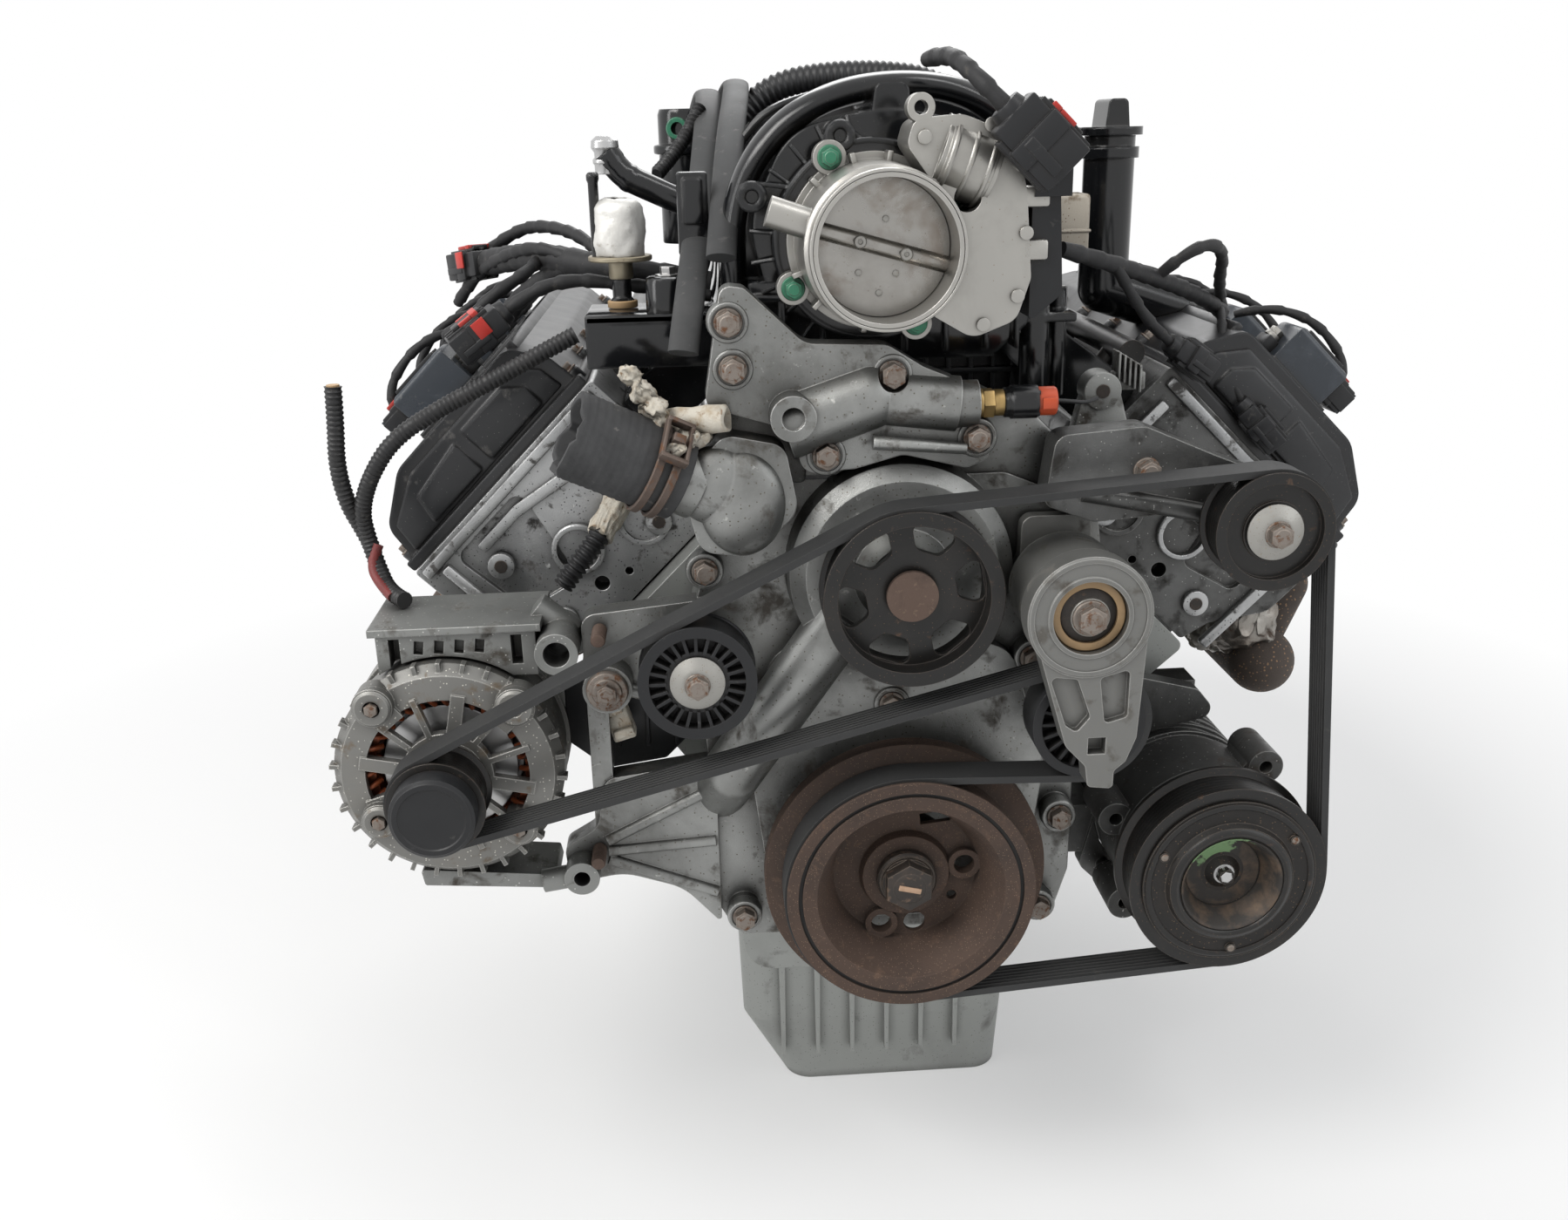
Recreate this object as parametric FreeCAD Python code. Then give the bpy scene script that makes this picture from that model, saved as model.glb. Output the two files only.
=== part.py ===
import FreeCAD, Part
import math
import os

# A complete ninety-degree pushrod V8 with its front accessory drive.  Millimetres.
# Frame: origin on the crank axis at the flexplate's rear face, +Y to the rear, +X to the
# right of someone facing the front of the engine, +Z up.

# ---- cylinders and crank train
bore = 99.5
stroke = 90.9
bore_pitch = 113.3
bank_angle = 45.0
bank_stagger = 22.0
deck_height = 235.0
compression_height = 31.6
crown_drop = 0.05
rod_length = deck_height - stroke / 2 - compression_height - crown_drop
piston_skirt = 24.0
piston_clearance = 0.04
wrist_pin_r = 12.0
main_r = 32.5
main_width = 25.0
crankpin_r = 27.0
counterweight_r = 78.0
bearing_clearance = 0.03
rod_width = 23.5
small_end_r = 18.0
snout_r = 22.0
crank_flange_r = 50.0
cam_height = 133.0
cam_journal_r = 27.0
cam_base_r = 17.0
cam_lift = 7.0
crank_teeth = 21
sprocket_pitch_r = 28.0
sprocket_width = 12.0
chain_thickness = 8.0
chain_clearance = 4.0

# ---- block, pan and flexplate
block_front = -500.0
block_rear = -14.0
throw_offset = 73.0
pan_rail_z = -70.0
skirt_half = 118.0
valley_z = 172.0
bank_outer = 76.0
bank_inner = 68.0
pan_flange = 12.0
pan_wall = 5.0
pan_half = 112.0
pan_shallow_z = -150.0
sump_bottom_z = -272.0
sump_front = -472.0
sump_rear = -170.0
sump_left = -112.0
sump_right = 104.0
mount_pad_y = -290.0
mount_pad_pitch_y = 90.0
mount_pad_pitch_z = 56.0
mount_hole_r = 5.0
mount_hole_depth = 16.0
bell_pitch_x = 330.0
bell_pitch_z = 110.0
bell_hole_r = 5.5
flexplate_r = 152.0
flexplate_thickness = 4.0
converter_pcd = 276.0
converter_hole_r = 5.3

# ---- heads and valve covers, in the slanted frame of each bank
head_height = 128.0
head_outer = 106.0
head_inner = 82.0
head_length = 470.0
gasket_thickness = 1.5
cover_height = 56.0
cover_wall = 3.5
coil_width = 36.0
coil_height = 30.0

# ---- belt drive: the front rims of all pulleys lie in one plane
rim_front = -640.0
pulley_width = 30.0
belt_width = 24.0
belt_thickness = 4.6
rim_lip = 3.2
left_idler_lip = 1.2
belt_gap = 0.15
damper_r = 81.7
damper_flange_r = 94.5
damper_flange_y = -598.0
damper_rubber_r = 74.2
damper_hub_r = 71.5
damper_cup_r = 62.0
web_front = -610.0
web_back = -599.0
pump_x, pump_z, pump_r = 0.0, 203.3, 55.6
left_idler_x, left_idler_z, left_idler_r = -133.2, 155.7, 36.7
right_idler_x, right_idler_z, right_idler_r = 219.6, 237.5, 37.0
compressor_x, compressor_z, compressor_pulley_r = 210.2, 0.0, 66.2
alternator_x, alternator_z, alternator_pulley_r = -299.0, 80.0, 31.0
tension_x, tension_z, tension_r = 111.5, 116.0, 36.0
arm_pivot_x, arm_pivot_z = 101.0, 197.0
shaft_fit = 0.05

# ---- alternator
compressor_body_r = 60.0
alternator_body_r = 75.0
alternator_front = -592.0
alternator_rear = -500.0

# ---- front casting, throttle and intake
cover_front = -570.0
volute_r = 74.0
hose_neck_r = 22.0
hose_bore_r = 21.5
hose_r = 27.5
hose_overlap = 24.5
throttle_x, throttle_z = -15.4, 408.5
throttle_bore_r = 40.0
throttle_rim_r = 43.5
throttle_rim_length = 16.0
throttle_front = -634.0
throttle_flange_y = -552.0
throttle_plate_y = -602.0
throttle_bolt_r = 56.0
throttle_shaft_r = 5.0
throttle_shaft_tilt = 16.0
intake_top = 500.0
intake_half = 104.0
filler_r = 19.0
filler_height = 112.0
filler_inset = -113.1371
filler_lift = 149.6661

X, Y, Z = (FreeCAD.Vector(*v) for v in ((1, 0, 0), (0, 1, 0), (0, 0, 1)))
ORIGIN = FreeCAD.Vector(0, 0, 0)
COS = math.cos(math.radians(bank_angle))
SIN = math.sin(math.radians(bank_angle))


def vec(x, y, z):
    return FreeCAD.Vector(x, y, z)


def rod(r, y0, y1, x=0.0, z=0.0):
    """Cylinder along Y."""
    return Part.makeCylinder(r, y1 - y0, vec(x, y0, z), Y)


def tube(r_out, r_in, y0, y1, x=0.0, z=0.0):
    return rod(r_out, y0, y1, x, z).cut(rod(r_in, y0 - 1, y1 + 1, x, z))


def bar(r, a, b):
    """Cylinder from point a to point b."""
    a, b = vec(*a), vec(*b)
    return Part.makeCylinder(r, (b - a).Length, a, b - a)


def box(x0, x1, y0, y1, z0, z1):
    return Part.makeBox(x1 - x0, y1 - y0, z1 - z0, vec(x0, y0, z0))


def turned(profile, x=0.0, z=0.0):
    """Solid of revolution about a line along Y; the profile is a loop of (radius, y)."""
    points = [vec(x + r, y, z) for r, y in profile]
    face = Part.Face(Part.makePolygon(points + points[:1]))
    return face.revolve(vec(x, 0, z), Y, 360)


def outline(points, corner=0.0, y=0.0):
    """Closed wire in an XZ plane; each corner is rounded by its own or the common radius."""
    n = len(points)
    radii = corner if isinstance(corner, (list, tuple)) else [corner] * n
    places = [vec(p[0], y, p[1]) for p in points]
    cuts = []
    for i, at in enumerate(places):
        before = (places[i - 1] - at)
        after = (places[(i + 1) % n] - at)
        half = before.getAngle(after) / 2
        back = radii[i] / math.tan(half) if radii[i] else 0.0
        back = min(back, 0.49 * before.Length, 0.49 * after.Length)
        before.normalize()
        after.normalize()
        middle = before + after
        if back > 0.01 and middle.Length > 1e-6:
            middle.normalize()
            r = back * math.tan(half)
            centre = at + middle * (r / math.sin(half))
            cuts.append((at + before * back, centre - middle * r, at + after * back))
        else:
            cuts.append((at, None, at))
    edges = []
    for i, (start, mid, end) in enumerate(cuts):
        if mid:
            edges.append(Part.Arc(start, mid, end).toShape())
        following = cuts[(i + 1) % n][0]
        if (following - end).Length > 1e-6:
            edges.append(Part.makeLine(end, following))
    return Part.Wire(edges)


def slab(points, y0, y1, corner=0.0):
    """Prism along Y on a rounded outline of (x, z) points."""
    return Part.Face(outline(points, corner, y0)).extrude(vec(0, y1 - y0, 0))


def ring_of(count, r, x=0.0, z=0.0, start=0.0):
    """Places evenly spaced on a circle in an XZ plane."""
    for i in range(count):
        a = math.radians(start + 360.0 * i / count)
        yield x + r * math.sin(a), z + r * math.cos(a), math.degrees(a)


def hexagon(across, y0, y1, x=0.0, z=0.0):
    corners = [(px, pz) for px, pz, a in ring_of(6, across / math.sqrt(3), x, z, 12)]
    return slab(corners, y0, y1)


def fuse(shapes):
    shapes = list(shapes)
    return shapes[0].multiFuse(shapes[1:]).removeSplitter() if len(shapes) > 1 else shapes[0]


def turn(shape, degrees, x=0.0, z=0.0):
    """Copy turned about a line along Y, clockwise as seen from the front."""
    copy = shape.copy()
    copy.rotate(vec(x, 0, z), Y, degrees)
    return copy


def on_bank(shape, side):
    """Tip a piece drawn upright over the crank axis onto the right (+1) or left (-1) bank."""
    return turn(shape, side * bank_angle)


def group(shapes):
    return Part.makeCompound(list(shapes))


def save(name, shape):
    shape.exportStep("parts/" + name + ".step")


# ---------------------------------------------------------------- crank train

def throw_y(k):
    return block_front + throw_offset + bore_pitch * k


def cylinder_y(side, k):
    return throw_y(k) - side * bank_stagger / 2


def bulkheads():
    """Main bearing centres, front to rear."""
    return [throw_y(0) + bore_pitch * (k - 0.5) for k in range(5)]


throw_angles = (45.0, 135.0, 315.0, 225.0)
crank_r = stroke / 2


def pin_angle(side, k):
    """Crankpin angle measured from the bank's own axis."""
    return math.radians(throw_angles[k] - side * bank_angle)


def wrist_height(side, k):
    a = pin_angle(side, k)
    return crank_r * math.cos(a) + math.sqrt(rod_length ** 2 - (crank_r * math.sin(a)) ** 2)


def crankshaft():
    pieces = []
    mains = bulkheads()
    for y in mains:
        pieces.append(rod(main_r, y - main_width / 2 - 1, y + main_width / 2 + 1))
    for k in range(4):
        pieces += [turn(s, throw_angles[k]) for s in throw(throw_y(k))]
    pieces.append(rod(snout_r, damper_seat_y(), mains[0]))
    pieces.append(rod(crank_flange_r, mains[4] + main_width / 2, -flexplate_thickness))
    return fuse(pieces)


def damper_seat_y():
    return web_back - 6.0


def throw(y):
    """One crankpin with its two webs and counterweights, drawn pointing up."""
    inner = rod_width + 1.0
    outer = bore_pitch / 2 - main_width / 2
    yield rod(crankpin_r, y - inner - 2, y + inner + 2, 0, crank_r)
    cheek = 38.0
    weight = [(-cheek, crank_r), (-20, crank_r + 30), (20, crank_r + 30), (cheek, crank_r),
              (44, -8), (counterweight_r - 6, -24), (44, -62), (0, -counterweight_r),
              (-44, -62), (-counterweight_r + 6, -24), (-44, -8)]
    rounding = [12, 14, 14, 12, 10, 8, 40, 40, 40, 8, 10]
    for near, far in ((y - outer, y - inner), (y + inner, y + outer)):
        yield slab(weight, near, far, rounding)


def crank_sprocket():
    return toothed_wheel(crank_teeth, sprocket_pitch_r, snout_r + 0.02)


def chain_y():
    return block_front - 24.0


def toothed_wheel(teeth, pitch_r, hole_r, x=0.0, z=0.0):
    points = []
    for i in range(teeth):
        for step, r in ((0.0, pitch_r - 3.0), (0.3, pitch_r + 2.0), (0.6, pitch_r + 2.0),
                        (0.9, pitch_r - 3.0)):
            a = 2 * math.pi * (i + step) / teeth
            points.append((x + r * math.sin(a), z + r * math.cos(a)))
    y0 = chain_y() - sprocket_width / 2
    wheel = slab(points, y0, y0 + sprocket_width)
    return wheel.cut(rod(hole_r, y0 - 1, y0 + sprocket_width + 1, x, z))


def camshaft():
    mains = bulkheads()
    pieces = [rod(12.0, chain_y() - sprocket_width / 2 - 3, mains[4], 0, cam_height)]
    for y in mains:
        pieces.append(rod(cam_journal_r, y - 9, y + 9, 0, cam_height))
    for k in range(4):
        for i, (side, shift) in enumerate(((1, -30), (1, -14), (-1, 14), (-1, 30))):
            nose = throw_angles[k] / 2 + 105 * i
            lobe = cam_lobe(throw_y(k) + shift - 5, throw_y(k) + shift + 5)
            pieces.append(turn(lobe, nose, 0, cam_height))
    return fuse(pieces)


def cam_lobe(y0, y1):
    nose_r = 6.0
    tip = cam_base_r + cam_lift - nose_r
    flank = math.acos((cam_base_r - nose_r) / tip)
    base = rod(cam_base_r, y0, y1, 0, cam_height)
    side_x, side_z = math.sin(flank), math.cos(flank)
    web = slab([(-cam_base_r * side_x, cam_height + cam_base_r * side_z),
                (-nose_r * side_x, cam_height + tip + nose_r * side_z),
                (nose_r * side_x, cam_height + tip + nose_r * side_z),
                (cam_base_r * side_x, cam_height + cam_base_r * side_z)], y0, y1)
    return fuse([base, web, rod(nose_r, y0, y1, 0, cam_height + tip)])


def cam_sprocket():
    y0 = chain_y() - sprocket_width / 2
    wheel = toothed_wheel(2 * crank_teeth, 2 * sprocket_pitch_r, 12.02, 0, cam_height)
    for x, z, a in ring_of(5, 34.0, 0, cam_height):
        wheel = wheel.cut(rod(10.0, y0 - 1, y0 + sprocket_width + 1, x, z))
    return wheel


def timing_chain():
    wheels = [(0, 0, sprocket_pitch_r + 2.3, 1), (0, cam_height, 2 * sprocket_pitch_r + 2.3, 1)]
    y0 = chain_y() - sprocket_width / 2
    return band(wheels, chain_thickness, y0, y0 + sprocket_width)


def pistons():
    solids = []
    r = bore / 2 - piston_clearance
    for side in (1, -1):
        for k in range(4):
            y, pin = cylinder_y(side, k), wrist_height(side, k)
            crown = pin + compression_height
            foot = pin - piston_skirt
            body = Part.makeCylinder(r, compression_height + piston_skirt, vec(0, y, foot))
            inner = Part.makeCylinder(r - 8, piston_skirt + small_end_r + 3, vec(0, y, foot - 1))
            body = body.cut(inner)
            bosses = [box(-14, 14, y + s * 25 - 9, y + s * 25 + 9, pin - 14, crown - 12) for s in (1, -1)]
            pin_rod = rod(wrist_pin_r, y - r + 9, y + r - 9, 0, pin)
            solids.append(on_bank(fuse([body, *bosses, pin_rod]), side))
    return group(solids)


def connecting_rods():
    solids = []
    for side in (1, -1):
        for k in range(4):
            a, height = pin_angle(side, k), wrist_height(side, k)
            pin_x, pin_z = crank_r * math.sin(a), crank_r * math.cos(a)
            y = cylinder_y(side, k)
            y0 = throw_y(k) - side * (rod_width / 2 + 0.3) - rod_width / 2
            y1 = y0 + rod_width
            big = tube(37.0, crankpin_r + bearing_clearance, y0, y1)
            caps = box(-44, 44, y0 + 3, y1 - 3, -7, 7).cut(rod(crankpin_r + 2, y0 - 1, y1 + 1))
            small = tube(small_end_r, wrist_pin_r + bearing_clearance, y0 + 3.5, y1 - 3.5, 0, rod_length)
            beam = slab([(-15, 32), (15, 32), (10, rod_length - 15), (-10, rod_length - 15)],
                        y0 + 4, y1 - 4)
            piece = fuse([big, caps, small, beam])
            tilt = math.degrees(math.atan2(-pin_x, height - pin_z))
            piece = turn(piece, tilt)
            piece.translate(vec(pin_x, 0, pin_z))
            solids.append(on_bank(piece, side))
    return group(solids)


def main_caps():
    caps = []
    for y in bulkheads():
        front, rear = y - main_width / 2, y + main_width / 2
        cap = slab([(-66, 0), (66, 0), (60, -34), (30, -58), (-30, -58), (-60, -34)], front, rear, 6)
        caps.append(cap.cut(rod(main_r + bearing_clearance, front - 1, rear + 1)))
    return group(caps)


def flexplate():
    plate = rod(flexplate_r, -flexplate_thickness, 0)
    cuts = [rod(converter_hole_r, -9, 1, x, z) for x, z, a in ring_of(4, converter_pcd / 2, start=45)]
    cuts += [rod(22.0, -9, 1, x, z) for x, z, a in ring_of(6, 92.0)]
    return plate.cut(cuts)


# ---------------------------------------------------------------- block, pan, covers

def engine_block():
    deck_out = ((deck_height + bank_outer) * SIN, (deck_height - bank_outer) * COS)
    deck_in = ((deck_height - bank_inner) * SIN, (deck_height + bank_inner) * COS)
    half = [(skirt_half, pan_rail_z), (skirt_half + 3, 8), (skirt_half + 34, 52), deck_out, deck_in,
            (deck_in[0] - 34, valley_z)]
    points = half + [(-x, z) for x, z in reversed(half)]
    body = slab(points, block_front, block_rear, [4, 30, 24, 6, 6, 14, 14, 6, 6, 24, 30, 4])
    bell = [(150, pan_rail_z), (204, -10), (206, 110), (130, 190), (-130, 190), (-206, 110),
            (-204, -10), (-150, pan_rail_z)]
    pieces = [body, slab(bell, block_rear - 14, block_rear, 26)]
    reach = mount_pad_pitch_y / 2 + 18
    for side in (1, -1):
        edges = sorted((side * (skirt_half - 10), side * (skirt_half + 26)))
        pad = box(edges[0], edges[1], mount_pad_y - reach, mount_pad_y + reach, -46, 46)
        pieces.append(pad)
        for k in range(3):
            y = throw_y(0) + bore_pitch * (k + 0.5)
            low, high = sorted((side * (skirt_half - 8), side * (skirt_half + 12)))
            pieces.append(box(low, high, y - 5, y + 5, pan_rail_z, 30))
    body = fuse(pieces)
    cuts = []
    half_bay = bore_pitch / 2 - main_width / 2
    for k in range(4):
        y = throw_y(k)
        cuts.append(rod(97.0, y - half_bay, y + half_bay))
        cuts.append(box(-97, 97, y - half_bay, y + half_bay, pan_rail_z - 1, 0))
        for side in (1, -1):
            hole = Part.makeCylinder(bore / 2, deck_height - 84, vec(0, cylinder_y(side, k), 86))
            cuts.append(on_bank(hole, side))
    mains = bulkheads()
    cap_gap = main_width / 2 + 0.2
    cuts.append(box(-70, 70, mains[0] - cap_gap, mains[4] + cap_gap, pan_rail_z - 1, 0))
    cuts.append(rod(main_r + bearing_clearance, block_front - 1, bulkheads()[4] + main_width / 2))
    cuts.append(rod(crank_flange_r + 0.5, bulkheads()[4] + main_width / 2, block_rear + 1))
    cuts.append(rod(cam_journal_r + bearing_clearance, block_front - 1, bulkheads()[4] + 12, 0, cam_height))
    for side in (1, -1):
        for sy in (1, -1):
            for sz in (1, -1):
                at = vec(side * (skirt_half + 27), mount_pad_y + sy * mount_pad_pitch_y / 2,
                         sz * mount_pad_pitch_z / 2)
                cuts.append(Part.makeCylinder(mount_hole_r, mount_hole_depth + 1, at, X * -side))
            at = (side * bell_pitch_x / 2, bell_centre_z() + sy * bell_pitch_z / 2)
            cuts.append(rod(bell_hole_r, block_rear - 13, block_rear + 1, *at))
    return body.cut(cuts)


def bell_centre_z():
    return 55.0


def oil_pan():
    top = pan_rail_z - 0.5
    flange = box(-skirt_half, skirt_half, block_front, block_rear, top - pan_flange, top)
    tray = slab([(-pan_half, top), (pan_half, top), (pan_half - 6, pan_shallow_z),
                 (-pan_half + 6, pan_shallow_z)], block_front + 14, block_rear - 14, [0, 0, 24, 24])
    sump = sump_solid(0.0)
    ribs = []
    for i in range(6):
        x = sump_left + 34 + i * 28
        ribs.append(slab([(x - 3, pan_shallow_z + 40), (x + 3, pan_shallow_z + 40), (x + 1.5, -240),
                          (x - 1.5, -240)], sump_front - 3, sump_front + 8))
    outside = fuse([flange, tray, sump, *ribs])
    inner_tray = slab([(-pan_half + pan_wall, top + 1), (pan_half - pan_wall, top + 1),
                       (pan_half - 6 - pan_wall, pan_shallow_z + pan_wall),
                       (-pan_half + 6 + pan_wall, pan_shallow_z + pan_wall)],
                      block_front + 14 + pan_wall, block_rear - 14 - pan_wall, [0, 0, 20, 20])
    return outside.cut([inner_tray, sump_solid(pan_wall)])


def sump_solid(inset):
    """Tapered deep end of the pan; its left side leans in more than its right."""
    low_left, low_right = sump_left + 36, sump_right - 3
    wires = []
    for x0, x1, y0, y1, z, r in (
            (sump_left, sump_right, sump_front, sump_rear, pan_shallow_z + 44, 22),
            (sump_left + 3, sump_right, sump_front + 3, sump_rear - 6, sump_bottom_z + 62, 22),
            (low_left, low_right, sump_front + 9, sump_rear - 26, sump_bottom_z, 22)):
        z = z + inset if z == sump_bottom_z else z
        x0, x1, y0, y1 = x0 + inset, x1 - inset, y0 + inset, y1 - inset
        flat = outline([(x0, y0), (x1, y0), (x1, y1), (x0, y1)], r - inset)
        flat.rotate(ORIGIN, X, -90)
        flat.translate(vec(0, 0, z))
        wires.append(flat)
    return Part.makeLoft(wires, True, True)


def bank_front(side):
    return cylinder_y(side, 0) - 54.0


def head_gasket(side):
    y0 = bank_front(side)
    sheet = box(-bank_outer + 4, bank_outer - 8, y0 + 6, y0 + head_length - 8,
                deck_height, deck_height + gasket_thickness)
    holes = [Part.makeCylinder(bore / 2 + 1, 9, vec(0, cylinder_y(side, k), deck_height - 3))
             for k in range(4)]
    return on_bank(sheet.cut(holes), side)


def head_gaskets():
    return group(head_gasket(side) for side in (1, -1))


def cylinder_head(side):
    y0 = bank_front(side)
    y1 = y0 + head_length
    base, top = deck_height + gasket_thickness, deck_height + head_height
    outer, inner = side * head_outer, -side * head_inner
    points = [(side * (bank_outer - 2), base), (side * (bank_outer + 4), base + 22),
              (outer, base + 58), (outer, top), (inner, top), (inner, base + 50),
              (-side * (bank_inner - 4), base)]
    body = slab(points, y0, y1, [4, 10, 16, 3, 3, 12, 4])
    recess = slab([(side * 30, base + 38), (side * 74, base + 50), (side * 78, top - 14),
                   (side * 10, top - 14)], y0 - 1, y0 + 5, 8)
    boss = rod(19.0, y0 - 3, y0 + 6, side * -34, base + 34)
    body = fuse([body.cut(recess), boss])
    cuts = [rod(15.5, y0 - 4, y0 - 1, side * -34, base + 34),
            rod(5.5, y0 - 1, y0 + 18, side * 22, base + 24),
            rod(3.0, y0 - 1, y0 + 14, side * 2, base + 16)]
    for k in range(4):
        y = cylinder_y(side, k)
        dome = Part.makeSphere(bore / 2 + 6, vec(0, y, base - 28))
        cuts.append(dome.common(Part.makeCylinder(bore / 2 - 1, 40, vec(0, y, base - 1))))
        start = vec(side * (head_outer + 1), y, exhaust_d())
        cuts.append(Part.makeCylinder(17.0, 30, start, vec(-side, 0, -0.25)))
        start = vec(-side * (head_inner + 1), y, intake_d())
        cuts.append(Part.makeCylinder(20.0, 30, start, vec(side, 0, -0.3)))
    return on_bank(body.cut(cuts), side)


def exhaust_d():
    return deck_height + 84.0


def intake_d():
    return deck_height + 82.0


def valve_cover(side):
    y0 = bank_front(side) + 8
    y1 = y0 + head_length - 18
    base = deck_height + head_height
    top = base + cover_height
    outside = cover_outside(side, 0.0)
    inside = cover_dome(side, y0 + 6 + cover_wall, y1 - 6 - cover_wall, base - 1, top - cover_wall,
                        cover_wall)
    pads = []
    for k in range(4):
        y = cylinder_y(side, k)
        low, high = sorted((side * -22, side * 34))
        pads.append(box(low, high, y - 26, y + 26, top - 8, top + 4))
    return on_bank(fuse([outside, *pads]).cut([inside, valve_cover_wells(side, base, top)]), side)


def cover_outside(side, gap):
    """Flange and dome of a valve cover, upright, grown by a gap."""
    y0, y1 = bank_front(side) + 8 - gap, bank_front(side) + head_length - 10 + gap
    base = deck_height + head_height
    outer, inner = side * (head_outer + 2 + gap), -side * (head_inner - 4 + gap)
    flange = slab([(outer, base - gap), (outer, base + 8 + gap), (inner, base + 8 + gap), (inner, base - gap)],
                  y0, y1, 2)
    return fuse([flange, cover_dome(side, y0 + 6, y1 - 6, base, base + cover_height + gap, -gap)])


def valve_cover_wells(side, base, top):
    return group(Part.makeCylinder(13.0, top - base + 30, vec(side * 6, cylinder_y(side, k), base - 2))
                 for k in range(4))


def cover_dome(side, y0, y1, base, top, inset):
    points = [(side * (head_outer - 2 - inset), base), (side * (head_outer - 8 - inset), base + 34),
              (side * (60 - inset), top), (-side * (head_inner - 26 - inset), top),
              (-side * (head_inner - 10 - inset), base + 30), (-side * (head_inner - 8 - inset), base)]
    return slab(points, y0, y1, [0, 16, 22, 14, 10, 0])


def ignition_coils():
    solids = []
    top = deck_height + head_height + cover_height + 4
    for side in (1, -1):
        for k in range(4):
            y = cylinder_y(side, k)
            low, high = sorted((side * -20, side * 32))
            shell = box(low, high, y - coil_width / 2, y + coil_width / 2, top, top + coil_height)
            rim = [e for e in shell.Edges if abs(e.BoundBox.ZMin - top - coil_height) < 0.1]
            shell = shell.makeFillet(5.0, rim)
            low, high = sorted((side * 30, side * 50))
            plug = box(low, high, y - 12, y + 12, top + 7, top + 25)
            stem = Part.makeCylinder(11.0, 60, vec(side * 6, y, top - 60))
            solids.append(on_bank(fuse([shell, plug, stem]), side))
    return group(solids)


# ---------------------------------------------------------------- belt and pulleys

def belt_wheels():
    """Belt contact circles (x, z, radius, turn), in the order the belt meets them."""
    grooved = [(0.0, 0.0, damper_r, rim_lip),
               (alternator_x, alternator_z, alternator_pulley_r, rim_lip),
               (left_idler_x, left_idler_z, left_idler_r, left_idler_lip),
               (pump_x, pump_z, pump_r, rim_lip),
               (right_idler_x, right_idler_z, right_idler_r, rim_lip),
               (compressor_x, compressor_z, compressor_pulley_r, rim_lip)]
    wheels = [(x, z, r - lip + belt_gap, 1) for x, z, r, lip in grooved]
    wheels.insert(1, (tension_x, tension_z, tension_r + belt_gap + belt_thickness, -1))
    return wheels


def band(wheels, thickness, y0, y1):
    """Closed band laid clockwise round the wheels, with its inner face on each contact circle."""
    outer = loop_face(wheels, thickness, y0)
    inner = loop_face(wheels, 0.0, y0)
    return outer.cut(inner).extrude(vec(0, y1 - y0, 0)).Solids[0]


def loop_face(wheels, offset, y):
    n = len(wheels)
    circles = [(vec(x, y, z), r + offset * s, s) for x, z, r, s in wheels]
    leave, arrive = [None] * n, [None] * n
    for i in range(n):
        (a, ra, sa), (b, rb, sb) = circles[i], circles[(i + 1) % n]
        gap = b - a
        along = gap / gap.Length
        up = vec(-along.z, 0, along.x)
        lean = (sa * ra - sb * rb) / gap.Length
        normal = up * math.sqrt(1 - lean * lean) + along * lean
        leave[i] = a + normal * (sa * ra)
        arrive[(i + 1) % n] = b + normal * (sb * rb)
    edges = []
    for i, (centre, r, s) in enumerate(circles):
        start, end = arrive[i], leave[i]
        edges.append(Part.Arc(start, arc_middle(centre, start, end, r, s), end).toShape())
        edges.append(Part.makeLine(end, arrive[(i + 1) % n]))
    return Part.Face(Part.Wire(edges))


def arc_middle(centre, start, end, r, s):
    """Middle of the arc from start to end, clockwise for s = 1."""
    a = math.atan2(start.x - centre.x, start.z - centre.z)
    b = math.atan2(end.x - centre.x, end.z - centre.z)
    sweep = (s * (b - a)) % (2 * math.pi)
    middle = a + s * sweep / 2
    return centre + vec(r * math.sin(middle), 0, r * math.cos(middle))


def serpentine_belt():
    y0 = rim_front + (pulley_width - belt_width) / 2
    return band(belt_wheels(), belt_thickness, y0, y0 + belt_width)


def rim_profile(r, bore_r, lip=rim_lip, width=pulley_width):
    """Half section of a belt rim: two lips with the belt's seat between them."""
    y0, y1 = rim_front, rim_front + width
    edge = (width - belt_width) / 2 - 0.4
    return [(bore_r, y0), (r, y0), (r, y0 + edge - 1), (r - lip, y0 + edge), (r - lip, y1 - edge),
            (r, y1 - edge + 1), (r, y1), (bore_r, y1)]


def damper_ring():
    seat = damper_r - rim_lip
    profile = [(damper_rubber_r, rim_front), (damper_r, rim_front), (damper_r, rim_front + 2),
               (seat, rim_front + 3), (seat, rim_front + 28), (damper_flange_r, rim_front + 31),
               (damper_flange_r, damper_flange_y), (damper_rubber_r + 6, damper_flange_y),
               (damper_rubber_r, damper_flange_y - 6)]
    return turned(profile)


def damper_rubber():
    return tube(damper_rubber_r, damper_hub_r, rim_front + 2, damper_flange_y - 8)


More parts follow.
